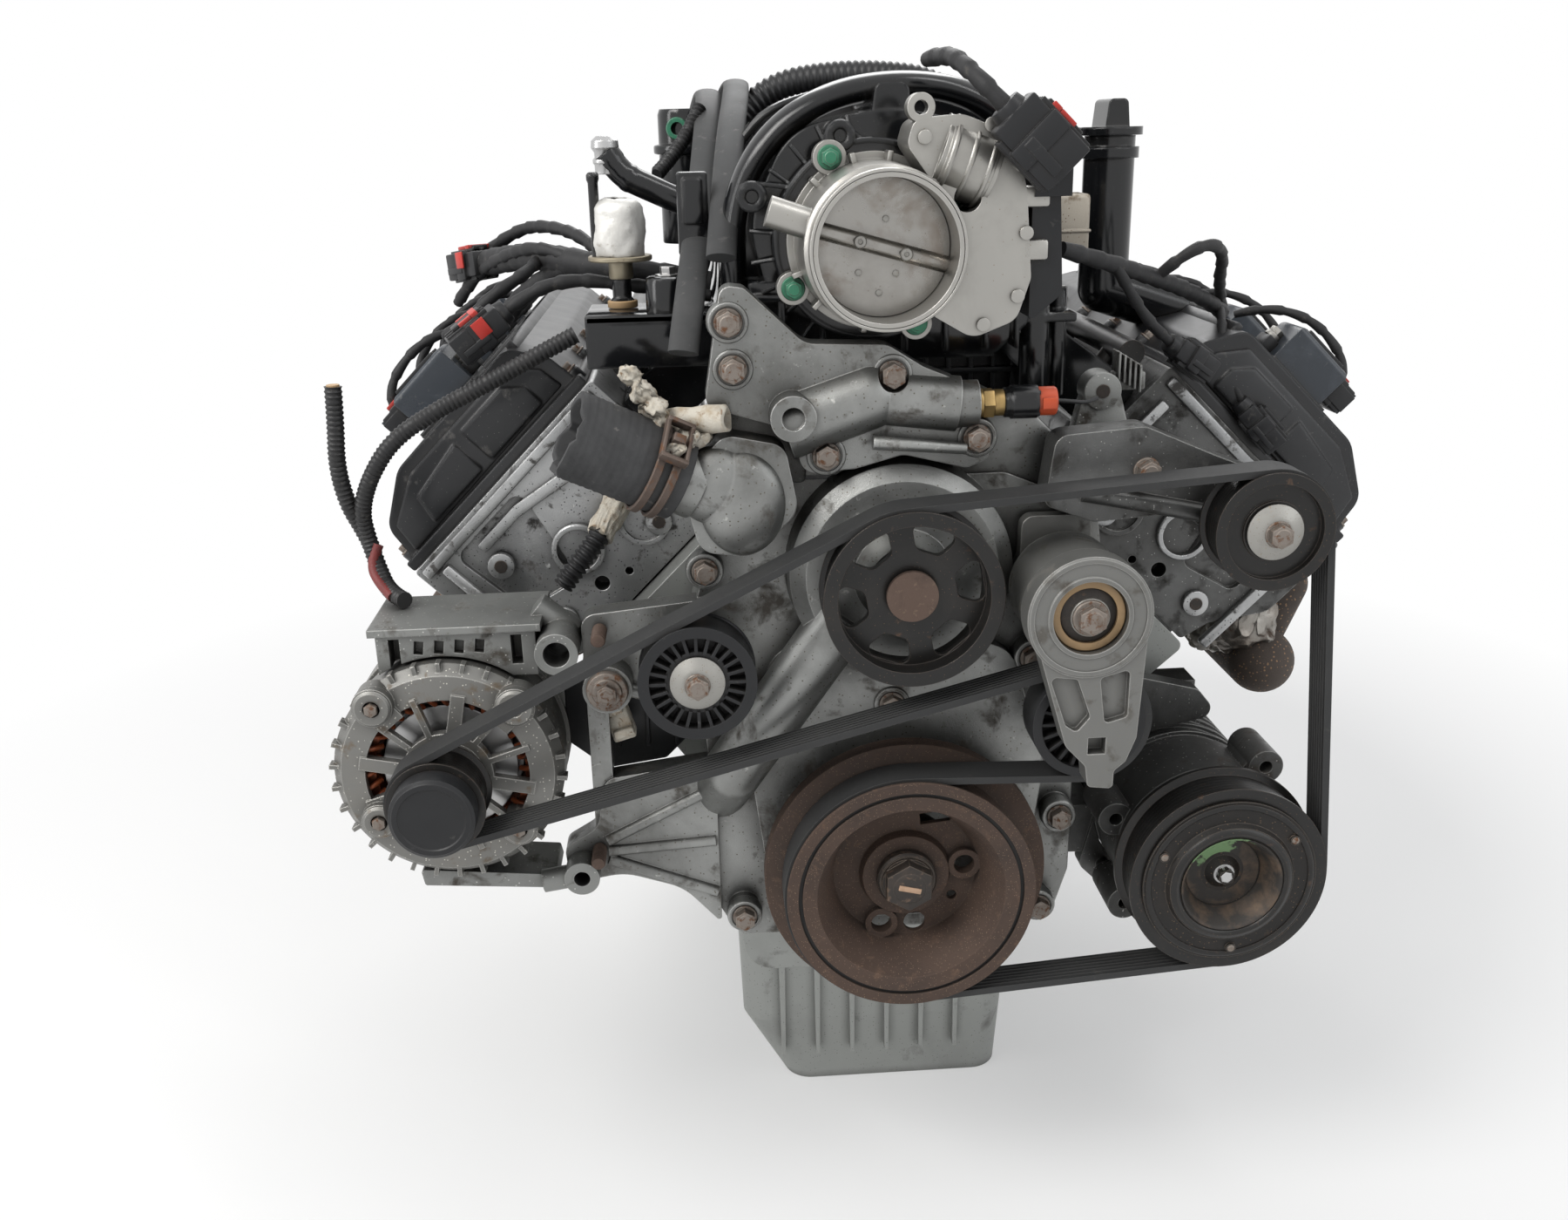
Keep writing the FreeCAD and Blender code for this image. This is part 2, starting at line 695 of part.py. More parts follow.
def damper_hub():
    profile = [(damper_cup_r, rim_front + 1), (damper_hub_r, rim_front), (damper_hub_r, damper_flange_y - 4),
               (snout_r + 0.02, damper_flange_y - 4), (snout_r + 0.02, web_back - 8), (13, web_back - 8),
               (13, web_front - 2), (29, web_front - 2), (31, web_front + 4), (48, web_front + 4)]
    hub = turned(profile)
    bosses = [rod(11.0, web_front - 1, web_back - 4, x, z) for x, z, a in damper_holes()[:2]]
    holes = [rod(r, web_front - 9, web_back + 9, x, z) for (x, z, a), r in
             zip(damper_holes(), (7.0, 7.0, 7.5, 3.5))]
    slot = box(14, 34, web_front - 9, web_back + 9, 33, 41)
    hub = fuse([hub, *bosses]).cut(holes)
    return hub.cut(turn(slot, -6))


def damper_holes():
    """Two bossed holes, one plain hole and one small hole in the damper's web."""
    return [polar(40.0, 82.0), polar(40.0, 204.0), polar(40.0, 170.0), polar(38.0, 122.0)]


def polar(r, degrees, x=0.0, z=0.0):
    a = math.radians(degrees)
    return (x + r * math.sin(a), z + r * math.cos(a), degrees)


def crank_bolt():
    washer = rod(20.0, web_front - 9, web_front - 3)
    head = hexagon(30.0, web_front - 21, web_front - 9)
    shank = rod(12.5, web_front - 4, web_back - 8.1)
    return fuse([washer, head, shank])


def pump_pulley():
    rim = turned(rim_profile(pump_r, pump_r - 9), pump_x, pump_z)
    face_y = rim_front + 14
    web = turned([(8.05, face_y), (27, face_y - 2), (pump_r - 8, face_y), (pump_r - 8, face_y + 4),
                  (18, face_y + 4), (18, rim_front + 30), (8.05, rim_front + 30)], pump_x, pump_z)
    windows = []
    window = slab([(pump_x - 8, pump_z + 28), (pump_x + 8, pump_z + 28), (pump_x + 17, pump_z + 45),
                   (pump_x - 17, pump_z + 45)], face_y - 9, face_y + 12, 6)
    for x, z, a in ring_of(6, 37.0, pump_x, pump_z, 20):
        windows.append(turn(window, a, pump_x, pump_z))
    return fuse([rim, web.cut(windows)])


def pump_shaft():
    shaft = rod(8.0, rim_front + 9, cover_front + 2, pump_x, pump_z)
    hub = rod(16.0, rim_front + 8, rim_front + 11.5, pump_x, pump_z)
    return fuse([shaft, hub, impeller()])


def impeller():
    disc = rod(44.0, cover_front + 2, cover_front + 5, pump_x, pump_z)
    vane = box(pump_x - 2, pump_x + 2, cover_front + 4, cover_front + 20, pump_z + 10, pump_z + 43)
    vanes = [turn(vane, a, pump_x, pump_z) for x, z, a in ring_of(6, 1.0)]
    return fuse([disc, *vanes])


def left_idler_pulley():
    x, z, r = left_idler_x, left_idler_z, left_idler_r
    rim = turned(rim_profile(r, r - 7, left_idler_lip), x, z)
    hub = tube(20.0, 8.05, rim_front + 3, rim_front + 27, x, z)
    web = tube(r - 6, 19, rim_front + 10, rim_front + 16, x, z)
    ribs = [turn(box(x - 1, x + 1, rim_front + 1, rim_front + 12, z + 19, z + r - 6), a, x, z)
            for px, pz, a in ring_of(24, 1.0)]
    return fuse([rim, hub, web, *ribs])


def left_idler_bolt():
    x, z = left_idler_x, left_idler_z
    cap = turned([(0, rim_front - 3), (9, rim_front - 3), (17, rim_front + 2.6), (0, rim_front + 2.6)], x, z)
    head = hexagon(13.0, rim_front - 9, rim_front - 3, x, z)
    post = rod(8.0, rim_front + 2, left_boss_y(), x, z)
    return fuse([cap, head, post])


def left_boss_y():
    return cover_front - 18.0


def right_idler_pulley():
    x, z, r = right_idler_x, right_idler_z, right_idler_r
    rim = turned(rim_profile(r, r - 7), x, z)
    hub = tube(19.0, 8.05, rim_front + 3, rim_front + 27, x, z)
    web = tube(r - 6, 18, rim_front + 5, rim_front + 12, x, z)
    return fuse([rim, hub, web])


def accessory_bolts():
    return group([left_idler_bolt(), right_idler_bolt(), tensioner_bolt()])


def right_idler_bolt():
    x, z = right_idler_x, right_idler_z
    cap = turned([(0, rim_front - 4), (9, rim_front - 4), (17.5, rim_front + 2.6), (0, rim_front + 2.6)], x, z)
    head = hexagon(15.0, rim_front - 11, rim_front - 4, x, z)
    post = rod(8.0, rim_front + 2, bracket_front(), x, z)
    return fuse([cap, head, post])


def tensioner_pulley():
    x, z, r = tension_x, tension_z, tension_r
    rim = tube(r, r - 6, rim_front + 1, rim_front + pulley_width - 1, x, z)
    hub = tube(17.0, 8.05, rim_front + 2, rim_front + 27, x, z)
    web = tube(r - 5, 16, rim_front + 12, rim_front + 17, x, z)
    ribs = [turn(box(x - 1, x + 1, rim_front + 3, rim_front + 13, z + 16, z + r - 5), a, x, z)
            for px, pz, a in ring_of(20, 1.0)]
    return fuse([rim, hub, web, *ribs])


def tensioner_arm():
    """Cast arm: a round head over the spring case, tapering down past the pulley to a pry lug."""
    px, pz, front, back = arm_pivot_x, arm_pivot_z, rim_front - 26.0, rim_front - 8.0
    head_r = 38.0
    tip_z = 84.0
    neck = [(px - 36, pz), (px + 36, pz - 4), (tension_x + 22, tension_z + 2), (tension_x + 16, tension_z - 14),
            (tension_x + 9, tension_z - 20), (tension_x + 9, tip_z), (tension_x - 7, tip_z + 2),
            (tension_x - 9, tension_z - 16), (tension_x - 22, tension_z - 2)]
    body = fuse([rod(head_r, front, back, px, pz),
                 slab(neck, front + 1, back, [0, 0, 6, 6, 4, 3, 3, 6, 10]),
                 rod(18.0, back, rim_front - 0.5, tension_x, tension_z)])
    left = slab([(px - 23, 168 - 8), (px - 6, 168 - 10), (px + 3, tension_z + 17), (px - 5, tension_z + 7),
                 (px - 12, tension_z + 12)], front - 1, front + 6, 3)
    right = slab([(px + 8, 158), (px + 26, 163), (px + 26, tension_z + 16), (px + 12, tension_z + 12)],
                 front - 1, front + 6, 3)
    pocket = rod(23.0, front - 1, front + 7, px, pz)
    square = box(tension_x - 8, tension_x + 3, front - 1, front + 10, tension_z - 8, tension_z + 3)
    pivot = rod(10.05, front - 1, back + 1, px, pz)
    axle = rod(8.0, rim_front - 0.6, rim_front + 28, tension_x, tension_z)
    return fuse([body.cut([left, right, pocket, square, pivot]), axle])


def tensioner_bolt():
    px, pz, seat = arm_pivot_x, arm_pivot_z, rim_front - 19.0
    bush = tube(22.8, 10.0, seat - 2.5, seat, px, pz)
    washer = rod(12.0, seat - 6, seat - 2.5, px, pz)
    head = hexagon(15.0, seat - 14, seat - 6, px, pz)
    return fuse([bush, washer, head, rod(10.0, seat - 3, spring_case_front(), px, pz)])


def spring_case_front():
    return rim_front - 7.5


def tensioner_case():
    """Fixed spring case behind the arm, on a foot bolted to the front cover."""
    px, pz = arm_pivot_x, arm_pivot_z
    case = rod(35.0, spring_case_front(), rim_front + 40, px, pz)
    neck = rod(27.0, rim_front + 40, cover_front, px, pz)
    foot = slab([(px - 24, pz - 20), (px - 6, pz - 46), (px + 6, pz - 46), (px + 24, pz - 20),
                 (px + 22, pz + 40), (px - 23, pz + 40)], cover_front - 10, cover_front, 8)
    return fuse([case, neck, foot])


def compressor_pulley():
    x, z, r = compressor_x, compressor_z, compressor_pulley_r
    y0, y1 = rim_front, rim_front + pulley_width
    seat = r - rim_lip
    profile = [(47, y0 + 1), (62, y0), (r, y0), (r, y0 + 2), (seat, y0 + 3), (seat, y1 - 3), (r + 1.5, y1 - 1),
               (r + 1.5, y1 + 2), (56, y1 + 2), (56, y0 + 12), (47, y0 + 12)]
    rim = turned(profile, x, z)
    hub = turned([(42, y0 + 8), (58, y0 + 8), (58, y0 + 12), (42, y0 + 12), (36, y0 + 20), (36, y1 + 6),
                  (30.1, y1 + 6), (30.1, y0 + 17), (34, y0 + 16)], x, z)
    return fuse([rim, hub])


def compressor_clutch():
    """Clutch plate: dished cup with a raised ring, on the compressor's own shaft."""
    x, z, y0 = compressor_x, compressor_z, rim_front
    profile = [(0, y0 + 8), (7, y0 + 8), (12, y0 + 12), (25, y0 + 12), (31, y0 - 3), (34, y0 - 6),
               (41, y0 - 6), (43, y0 - 2), (58, y0 - 2), (58, y0 - 0.4), (40, y0 - 0.4), (28, y0 + 15.5),
               (9, y0 + 15.5), (9, y0 + 36), (0, y0 + 36)]
    plate = turned(profile, x, z)
    head = hexagon(10.0, y0 + 3, y0 + 8, x, z)
    rivets = [rod(3.4, y0 - 4, y0 - 1.5, px, pz) for px, pz, a in ring_of(3, 50.0, x, z, 55)]
    return fuse([plate, head, *rivets])


def compressor():
    x, z = compressor_x, compressor_z
    y0 = rim_front + pulley_width
    nose = rod(30.0, y0 - 14, y0 + 12, x, z).cut(rod(9.05, y0 - 15, y0 + 7, x, z))
    coil = tube(52.0, 38.0, y0 + 4, y0 + 9, x, z)
    r = compressor_body_r
    front_head = turned([(0, y0 + 9), (r - 6, y0 + 9), (r, y0 + 16), (r, y0 + 66), (0, y0 + 66)], x, z)
    body = rod(r - 3, y0 + 66, y0 + 132, x, z)
    rear_head = turned([(0, y0 + 132), (r, y0 + 132), (r, y0 + 158), (r - 10, y0 + 168), (0, y0 + 168)], x, z)
    lugs = []
    for lx, lz in ((-62, 22), (-52, -44), (40, 56)):
        lugs.append(rod(12.0, y0 + 20, y0 + 60, x + lx, z + lz))
        lugs.append(turn(box(x - 11, x + 11, y0 + 24, y0 + 56, z + 20, z + 64),
                         math.degrees(math.atan2(lx, lz)), x, z))
    ports = box(x - 24, x + 30, y0 + 136, y0 + 162, z + 50, z + 74)
    fins = [tube(r, 50.0, y0 + 76 + 14 * i, y0 + 80 + 14 * i, x, z) for i in range(4)]
    body = fuse([nose, coil, front_head, body, rear_head, ports, *lugs, *fins])
    bolts = [rod(4.5, y0 + 19, y0 + 61, x + lx, z + lz) for lx, lz in ((-62, 22), (-52, -44), (40, 56))]
    return body.cut(bolts)


def compressor_bracket():
    """Arm that ties the compressor and the right idler to the engine's front."""
    x, z = compressor_x, compressor_z
    front = rim_front + pulley_width + 14
    arm = slab([(x - 78, z + 66), (x - 52, z + 30), (x - 70, z - 44), (x - 52, z - 62), (x - 40, z - 40),
                (x - 46, z), (x - 30, z + 60), (x + 26, z + 72), (x + 10, z + 92), (x - 60, z + 110)],
               front + 62, front + 76, 8)
    foot_x = skirt_half + 42
    foot = [box(skirt_half + 10, foot_x, front + 64, block_front + 60, -34, 4),
            box(skirt_half + 3.3, foot_x, block_front + 4, block_front + 60, -34, 4)]
    studs = [rod(5.0, front + 46.2, front + 64, x + lx, z + lz) for lx, lz in ((-62, 22), (-52, -44))]
    body = fuse([arm, *foot, *studs])
    return body.cut(rod(compressor_body_r + 0.4, front, block_front + 70, x, z))


# ---------------------------------------------------------------- alternator

def alternator_housing():
    x, z, r = alternator_x, alternator_z, alternator_body_r
    y0, y1 = alternator_front, alternator_rear
    outside = [(r - 22, y0), (r - 6, y0 + 2), (r, y0 + 10), (r, y0 + 34), (r - 3, y0 + 34),
               (r - 3, y0 + 58), (r, y0 + 58), (r, y1 - 8), (r - 12, y1)]
    inside = [(30, y1), (30, y1 - 5), (r - 12, y1 - 5), (r - 8, y1 - 12), (r - 8, y0 + 14),
              (r - 22, y0 + 6)]
    shell = turned(outside + inside, x, z)
    nose = tube(24.0, 11.0, y0 - 6, y0 + 12, x, z)
    hub = tube(30.0, 23.0, y0 - 1, y0 + 6, x, z)
    back = rod(31.0, y1 - 5, y1, x, z)
    pieces = [shell, nose, hub, back]
    for i in range(12):
        width = 4.5 if i % 3 == 0 else 2.0
        rib = box(x - width, x + width, y0 - 1, y0 + 5, z + 26, z + r - 18)
        pieces.append(turn(rib, 30 * i + 12, x, z))
    for i in range(30):
        fin = box(x - 1.5, x + 1.5, y0 + 4, y0 + 12, z + r - 10, z + r + 2)
        pieces.append(turn(fin, 12 * i, x, z))
    for ex, ez, er in alternator_ears():
        pieces.append(rod(er, y0 - 6, y0 + 12, ex, ez))
        reach = math.hypot(ex - x, ez - z)
        web = box(x - er * 0.7, x + er * 0.7, y0 - 2, y0 + 10, z + r - 26, z + reach)
        pieces.append(turn(web, math.degrees(math.atan2(ex - x, ez - z)), x, z))
    body = pieces[0].multiFuse(pieces[1:])
    holes = [rod(5.2, y0 - 7, y0 + 13, ex, ez) for ex, ez, er in alternator_ears()]
    return body.cut(holes)


def alternator_ears():
    x, z = alternator_x, alternator_z
    return [(x - 42, z + 52, 13.0), (x + 48, z + 48, 13.0), (x - 46, z - 28, 12.0), (x + 44, z - 38, 12.0)]


def alternator_bracket():
    """Box-shaped upper bracket with two deep slots, and the rail below the alternator."""
    x, z = alternator_x, alternator_z
    y0 = alternator_front
    top_z = 178.0
    shell = box(x - 40, x + 62, y0 + 16, y0 + 78, z + 62, top_z)
    slots = [box(x - 32, x - 25, y0 + 10, y0 + 30, z + 70, top_z - 8),
             box(x + 46, x + 53, y0 + 10, y0 + 30, z + 70, top_z - 8)]
    vents = []
    for i in range(4):
        middle = x - 13 + 13 * i
        vent = box(middle - 3, middle + 3, y0 + 10, y0 + 22, z + 79, z + 88)
        vents.append(turn(vent, 8, middle, z + 84))
    edge = box(x - 44, x + 66, y0 + 12, y0 + 80, top_z - 5, top_z)
    rail = slab([(x - 28, z - 76), (x + 62, z - 85), (x + 64, z - 95), (x - 26, z - 88)], y0 + 14, y0 + 60, 2)
    arm = bar(11, (x + 60, y0 + 40, z + 100), (-216, y0 + 40, 160))
    eye = tube(14.0, 8.5, y0 + 2, y0 + 52, -223, 160)
    lower_arm = bar(8, (x + 54, y0 + 15.5, z - 90), (-218, y0 + 15.5, -6))
    lower_eye = tube(12.0, 5.5, y0 + 6, y0 + 23.8, -218, -5)
    shape = fuse([shell.cut(slots + vents), edge, arm.cut(rod(8.5, y0, y0 + 50, -223, 160)), eye])
    low = fuse([rail, lower_arm.cut(rod(5.5, y0, y0 + 50, -218, -5)), lower_eye])
    return group([shape.cut(rod(alternator_body_r + 2.3, y0, y0 + 90, x, z)),
                  low.cut(rod(alternator_body_r + 2.3, y0, y0 + 90, x, z))])


def alternator_stator():
    x, z, r = alternator_x, alternator_z, alternator_body_r
    y0 = alternator_front
    core = tube(r - 8.3, r - 24, y0 + 30, alternator_rear - 30, x, z)
    windings = turned([(r - 26, y0 + 12), (r - 14, y0 + 12), (r - 12, y0 + 30), (r - 28, y0 + 30)], x, z)
    return fuse([core, windings])


def alternator_rotor():
    x, z, r = alternator_x, alternator_z, alternator_body_r
    y0 = alternator_front
    claw = rod(r - 29, y0 + 32, alternator_rear - 32, x, z)
    fan = rod(r - 31, y0 + 14, y0 + 17, x, z)
    shaft = rod(10.9, rim_front + 4, alternator_rear - 12, x, z)
    return fuse([claw, fan, shaft])


def alternator_pulley():
    x, z, r = alternator_x, alternator_z, alternator_pulley_r
    return turned(rim_profile(r, 10.95), x, z).cut(rod(11.0, rim_front - 1, rim_front + 4, x, z))


def alternator_cap():
    x, z, y0 = alternator_x, alternator_z, rim_front
    return turned([(0, y0 - 14), (18, y0 - 14), (19, y0 - 12.5), (21, y0 - 14), (25, y0 - 13), (26.5, y0 - 9),
                   (26.5, y0), (0, y0)], x, z)


# ---------------------------------------------------------------- front castings

def front_outline():
    return [(-112, pan_rail_z), (112, pan_rail_z), (124, -30), (124, 120), (140, 170), (132, 236), (70, 262),
            (-70, 262), (-118, 236), (-136, 170), (-128, 60), (-128, -40)]


def timing_cover():
    """Chain case with the water pump's volute, its coolant passages and the alternator arms."""
    y0, y1 = cover_front, block_front - 0.2
    body = slab(front_outline(), y0 + 8, y1, 16)
    raised = slab([(-86, -52), (86, -52), (100, 60), (74, 150), (-84, 150), (-100, 60)], y0 - 6, y0 + 9, 26)
    volute = turned([(0, y0 - 20), (62, y0 - 20), (72, y0 - 14), (volute_r, y0 + 10), (0, y0 + 10)],
                    pump_x, pump_z)
    snout = turned([(0, y0 - 36), (24, y0 - 36), (32, y0 - 19), (0, y0 - 19)], pump_x, pump_z)
    seal = turned([(0, y0 - 16), (36, y0 - 16), (42, y0 - 5), (0, y0 - 5)])
    passage = bar(20, (-36, y0 - 10, 176), (-112, y0 - 12, 70))
    elbow = Part.makeSphere(20.0, vec(-112, y0 - 12, 70))
    outlet = bar(20, (-112, y0 - 12, 70), (-122, y0 + 20, 40))
    lower_arm = slab([(-124, -56), (-150, -26), (-190, -12), (-228, -18), (-230, 10), (-206, 24), (-200, 60),
                      (-124, 70)], y0 + 2, y0 + 20, [2, 40, 40, 8, 8, 16, 10, 2])
    upper_arm = slab([(-124, 118), (-176, 122), (-208, 142), (-208, 178), (-124, 186)], y0 + 2, y0 + 20,
                     [2, 16, 10, 10, 2])
    upright = slab([(-208, 20), (-194, 20), (-194, 150), (-208, 150)], y0 + 4, y0 + 20)
    boss = bar(16, (-192, y0 - 20, 134), (-192, y0 + 20, 134))
    idler_boss = rod(17.0, left_boss_y(), y0 + 9, left_idler_x, left_idler_z)
    ribs = [bar(4, (-126, y0 + 2, -30), (-200, y0 + 2, 0)), bar(4, (-126, y0 + 2, 10), (-200, y0 + 2, 6)),
            bar(4, (-126, y0 + 2, 50), (-200, y0 + 2, 14)), bar(5, (-100, y0 - 2, 100), (-190, y0, 130))]
    pads = [rod(11.0, cover_pad_front(), y0 + 9, x, z) for x, z in cover_bolt_places()]
    solid = fuse([body, raised, volute, snout, seal, passage, elbow, outlet, lower_arm, upper_arm,
                  upright, boss, idler_boss, *ribs, *pads])
    roof = cam_height + 2 * sprocket_pitch_r + 2.3 + chain_thickness + chain_clearance
    cavity = slab([(-62, pan_rail_z - 1), (62, pan_rail_z - 1), (88, 40), (88, roof - 12), (54, roof),
                   (-54, roof), (-88, roof - 12), (-88, 40)], y0 + 14, y1 + 1, 14)
    return solid.cut([cavity, rod(snout_r + 4, y0 - 30, y0 + 30), rod(46.0, y0 + 1, y0 + 22, pump_x, pump_z),
                      rod(8.0 + shaft_fit, y0 - 40, y0 + 6, pump_x, pump_z)])


def cover_pad_front():
    return cover_front - 7.0


def cover_bolt_places():
    return [(-108, -46), (-126, 208), (-5, 110), (89, 139), (131, 160), (-120, 120), (112, 20), (100, -50)]


def front_bolts():
    """Hexagon heads of the front cover, coolant casting, standoff, bracket and throttle bolts."""
    heads = [hexagon(13.0, cover_pad_front() - 8, cover_pad_front(), x, z) for x, z in cover_bolt_places()]
    heads += [hexagon(14.0, cover_front - 30, cover_front - 20, -192, 134)]
    heads += [hexagon(15.0, outlet_front() - 9, outlet_front(), x, z) for x, z in outlet_bolt_places()]
    heads += [hexagon(13.0, bracket_front() - 9, bracket_front(), 152, 268)]
    lug_front = throttle_flange_y - 12
    heads += [hexagon(10.0, lug_front - 8, lug_front, x, z) for x, z, a in throttle_bolts()]
    return group(heads)


def outlet_front():
    return cover_front - 18.0


def outlet_bolt_places():
    return [(-106, 366), (-104, 338), (-7, 332), (-48, 283), (46, 291)]


def coolant_outlet():
    """Front water casting: triangular ear at top left, threaded plug boss, tube to the sensor."""
    front = outlet_front()
    ear = slab([(-122, 316), (-110, 388), (-96, 386), (-60, 352), (-10, 350), (12, 336), (36, 326), (36, 298),
                (60, 280), (40, 272), (0, 282), (-30, 274), (-62, 272), (-70, 300)], front, front + 22,
               [8, 10, 6, 16, 14, 10, 8, 6, 8, 8, 14, 10, 10, 10])
    arch = bar(20, (-74, front + 4, 300), (-20, front + 6, 318))
    arm = bar(17, (-20, front + 6, 318), (34, front + 4, 312))
    joint = Part.makeSphere(20.0, vec(-20, front + 6, 318))
    plug = rod(14.0, front - 18, front + 4, -69, 310).cut(rod(7.0, front - 19, front - 6, -69, 310))
    mouth = bar(14.5, (30, front + 3, 312), (46, front + 3, 312))
    foot = box(-64, 36, front + 20, block_front - 6, 266, 300)
    pads = [rod(11.0, front, front + 22, x, z) for x, z in outlet_bolt_places()]
    body = fuse([ear, arch, arm, joint, plug, mouth, foot, *pads])
    spot_faces = [rod(9.5, front - 30, front, x, z) for x, z in outlet_bolt_places()]
    return body.cut([*spot_faces, rod(volute_r + 0.3, cover_front - 30, cover_front + 11, pump_x, pump_z)])


def coolant_sensor():
    y, z = outlet_front() + 3, 312.0
    brass = bar(9.5, (46, y, z), (62, y, z))
    shell = bar(10.5, (62, y, z), (84, y, z))
    collar = bar(9.0, (84, y, z), (95, y, z))
    return fuse([brass, shell, collar])


def thermostat_housing():
    """Domed inlet casting that carries the lower radiator hose on its left."""
    front = cover_front - 26.0
    body = slab([(-112, 300), (-74, 292), (-66, 250), (-96, 222), (-128, 226), (-138, 268)],
                front, cover_front + 8, [14, 12, 16, 14, 14, 12])
    a, b = hose_line()
    d = (b - a).normalize()
    neck = Part.makeCylinder(hose_neck_r, 34, a - d * 12, d)
    return fuse([body, neck]).cut(Part.makeCylinder(hose_neck_r - 4.5, 26, a - d * 3, d))


def hose_line():
    """Two ends of the short hose left on the neck: a at the neck, b at its torn outer end."""
    front = cover_front - 26.0
    return vec(-139, front + 8, 272.5), vec(-205, front - 4, 305.5)


def radiator_hose():
    a, b = hose_line()
    d = (b - a).normalize()
    outer = Part.makeCylinder(hose_r, (b - a).Length, a, d)
    seat = Part.makeCylinder(hose_neck_r + 0.1, hose_overlap + 1, a - d, d)
    return outer.cut([seat, Part.makeCylinder(hose_bore_r, (b - a).Length + 2, a - d, d)])


def hose_clamp():
    a, b = hose_line()
    d = (b - a).normalize()
    start = a + d * 8
    solid = Part.makeCylinder(hose_r + 2.5, 16, start, d).cut(Part.makeCylinder(hose_r + 0.1, 18, start - d, d))
    side = (Y.cross(d)).normalize()
    ear = Part.makeCylinder(5.0, 14, start + d + side * (hose_r + 5.6), d)
    return fuse([solid, ear])


def idler_bracket():
    """Grey casting from the right head to the right idler."""
    front = bracket_front()
    plate = slab([(88, 248), (94, 292), (150, 296), (196, 276), (246, 256), (240, 214), (206, 214), (178, 240),
                  (120, 236)], front, front + 24, [6, 10, 12, 20, 14, 14, 14, 24, 14])
    foot = box(114, 150, front + 20, bank_front(1), 250, 274)
    rib = bar(6, (112, front, 256), (205, front, 236))
    return fuse([plate, foot, rib])


def bracket_front():
    return rim_front + pulley_width + 14.0


# ---------------------------------------------------------------- throttle and intake

def throttle_body():
    x, z = throttle_x, throttle_z
    y0, y1 = throttle_front, throttle_flange_y
    rim_back = y0 + throttle_rim_length
    barrel = turned([(throttle_bore_r, y0), (throttle_rim_r - 1, y0), (throttle_rim_r, y0 + 1),
                     (throttle_rim_r, rim_back), (throttle_rim_r + 3, rim_back + 3),
                     (throttle_rim_r + 5, y1), (throttle_bore_r, y1)], x, z)
    lugs = []
    for px, pz, a in throttle_bolts():
        lugs.append(rod(10.0, y1 - 12, y1, px, pz))
        lugs.append(turn(box(x - 8, x + 8, y1 - 10, y1, z + 42, z + throttle_bolt_r), a, x, z))
    flange = tube(throttle_rim_r + 9, throttle_bore_r, y1 - 7, y1, x, z)
    nipple = bar(9, (x - 42, y0 + 30, z + 14), (x - 66, y0 + 30, z + 22))
    motor = bar(22.0, (x + 34, y0 + 46, z + 52), (x + 66, y0 + 46, z + 40))
    gearbox = slab([(x + 14, z + 56), (x + 18, z + 70), (x + 46, z + 72), (x + 76, z + 60), (x + 84, z + 30),
                    (x + 88, z - 20), (x + 80, z - 44), (x + 54, z - 54), (x + 30, z - 40), (x + 40, z + 20)],
                   y0 + 30, y1 - 8, [8, 8, 14, 16, 14, 10, 12, 14, 4, 10])
    ear = rod(8.0, y0 + 30, y0 + 42, x + 22, z + 76)
    body = fuse([barrel, *lugs, flange, nipple, motor, gearbox, ear])
    return body.cut([rod(throttle_bore_r, y0 - 1, y1 + 1, x, z),
                     rod(4.0, y0 + 29, y0 + 43, x + 22, z + 76), throttle_shaft(shaft_fit),
                     *[rod(8.0, y0, y1 - 12, px, pz) for px, pz, a in throttle_bolts()]])


def throttle_bolts():
    return list(ring_of(4, throttle_bolt_r, throttle_x, throttle_z, -28))


def along_shaft(reach, y):
    """Point on the throttle shaft's sloping axis, a reach to the right of the bore's centre."""
    a = math.radians(throttle_shaft_tilt)
    return throttle_x + reach * math.cos(a), y, throttle_z - reach * math.sin(a)


def throttle_shaft(gap):
    """Cross shaft, sloping down to the right."""
    y = throttle_plate_y
    return bar(throttle_shaft_r + gap, along_shaft(-46, y), along_shaft(50, y))


def throttle_plate():
    y = throttle_plate_y
    disc = rod(throttle_bore_r - 0.3, y - 1.2, y + 1.2, throttle_x, throttle_z)
    screws = [bar(3.0, along_shaft(s * 14, y - 7.5), along_shaft(s * 14, y - 4)) for s in (1, -1)]
    return fuse([disc, throttle_shaft(0.0), *screws])


def throttle_cover():
    """Black gear cover on the throttle's right with its connector socket."""
    x, z = throttle_x, throttle_z
    y0 = throttle_front + 34
    shape = slab([(x + 88.3, z + 50), (x + 104, z + 44), (x + 108, z - 30), (x + 88.3, z - 46)], y0,
                 throttle_flange_y - 4, [2, 8, 10, 2])
    plug = box(x + 88.3, x + 110, y0 - 5.8, y0 + 20, z + 26, z + 58)
    return fuse([shape, plug])


def intake_ends():
    return throttle_flange_y + 0.2, -60.0


def plenum(gap):
    """Long rounded box of the intake, grown sideways by a gap."""
    y0, y1 = intake_ends()
    w = intake_half - 14 + gap
    return slab([(-w + 20, 344), (-w, 420), (-w + 26, 474), (0, 486), (w - 26, 474), (w, 420), (w - 20, 344)],
                y0 + 18, y1, [14, 50, 40, 90, 40, 50, 14])


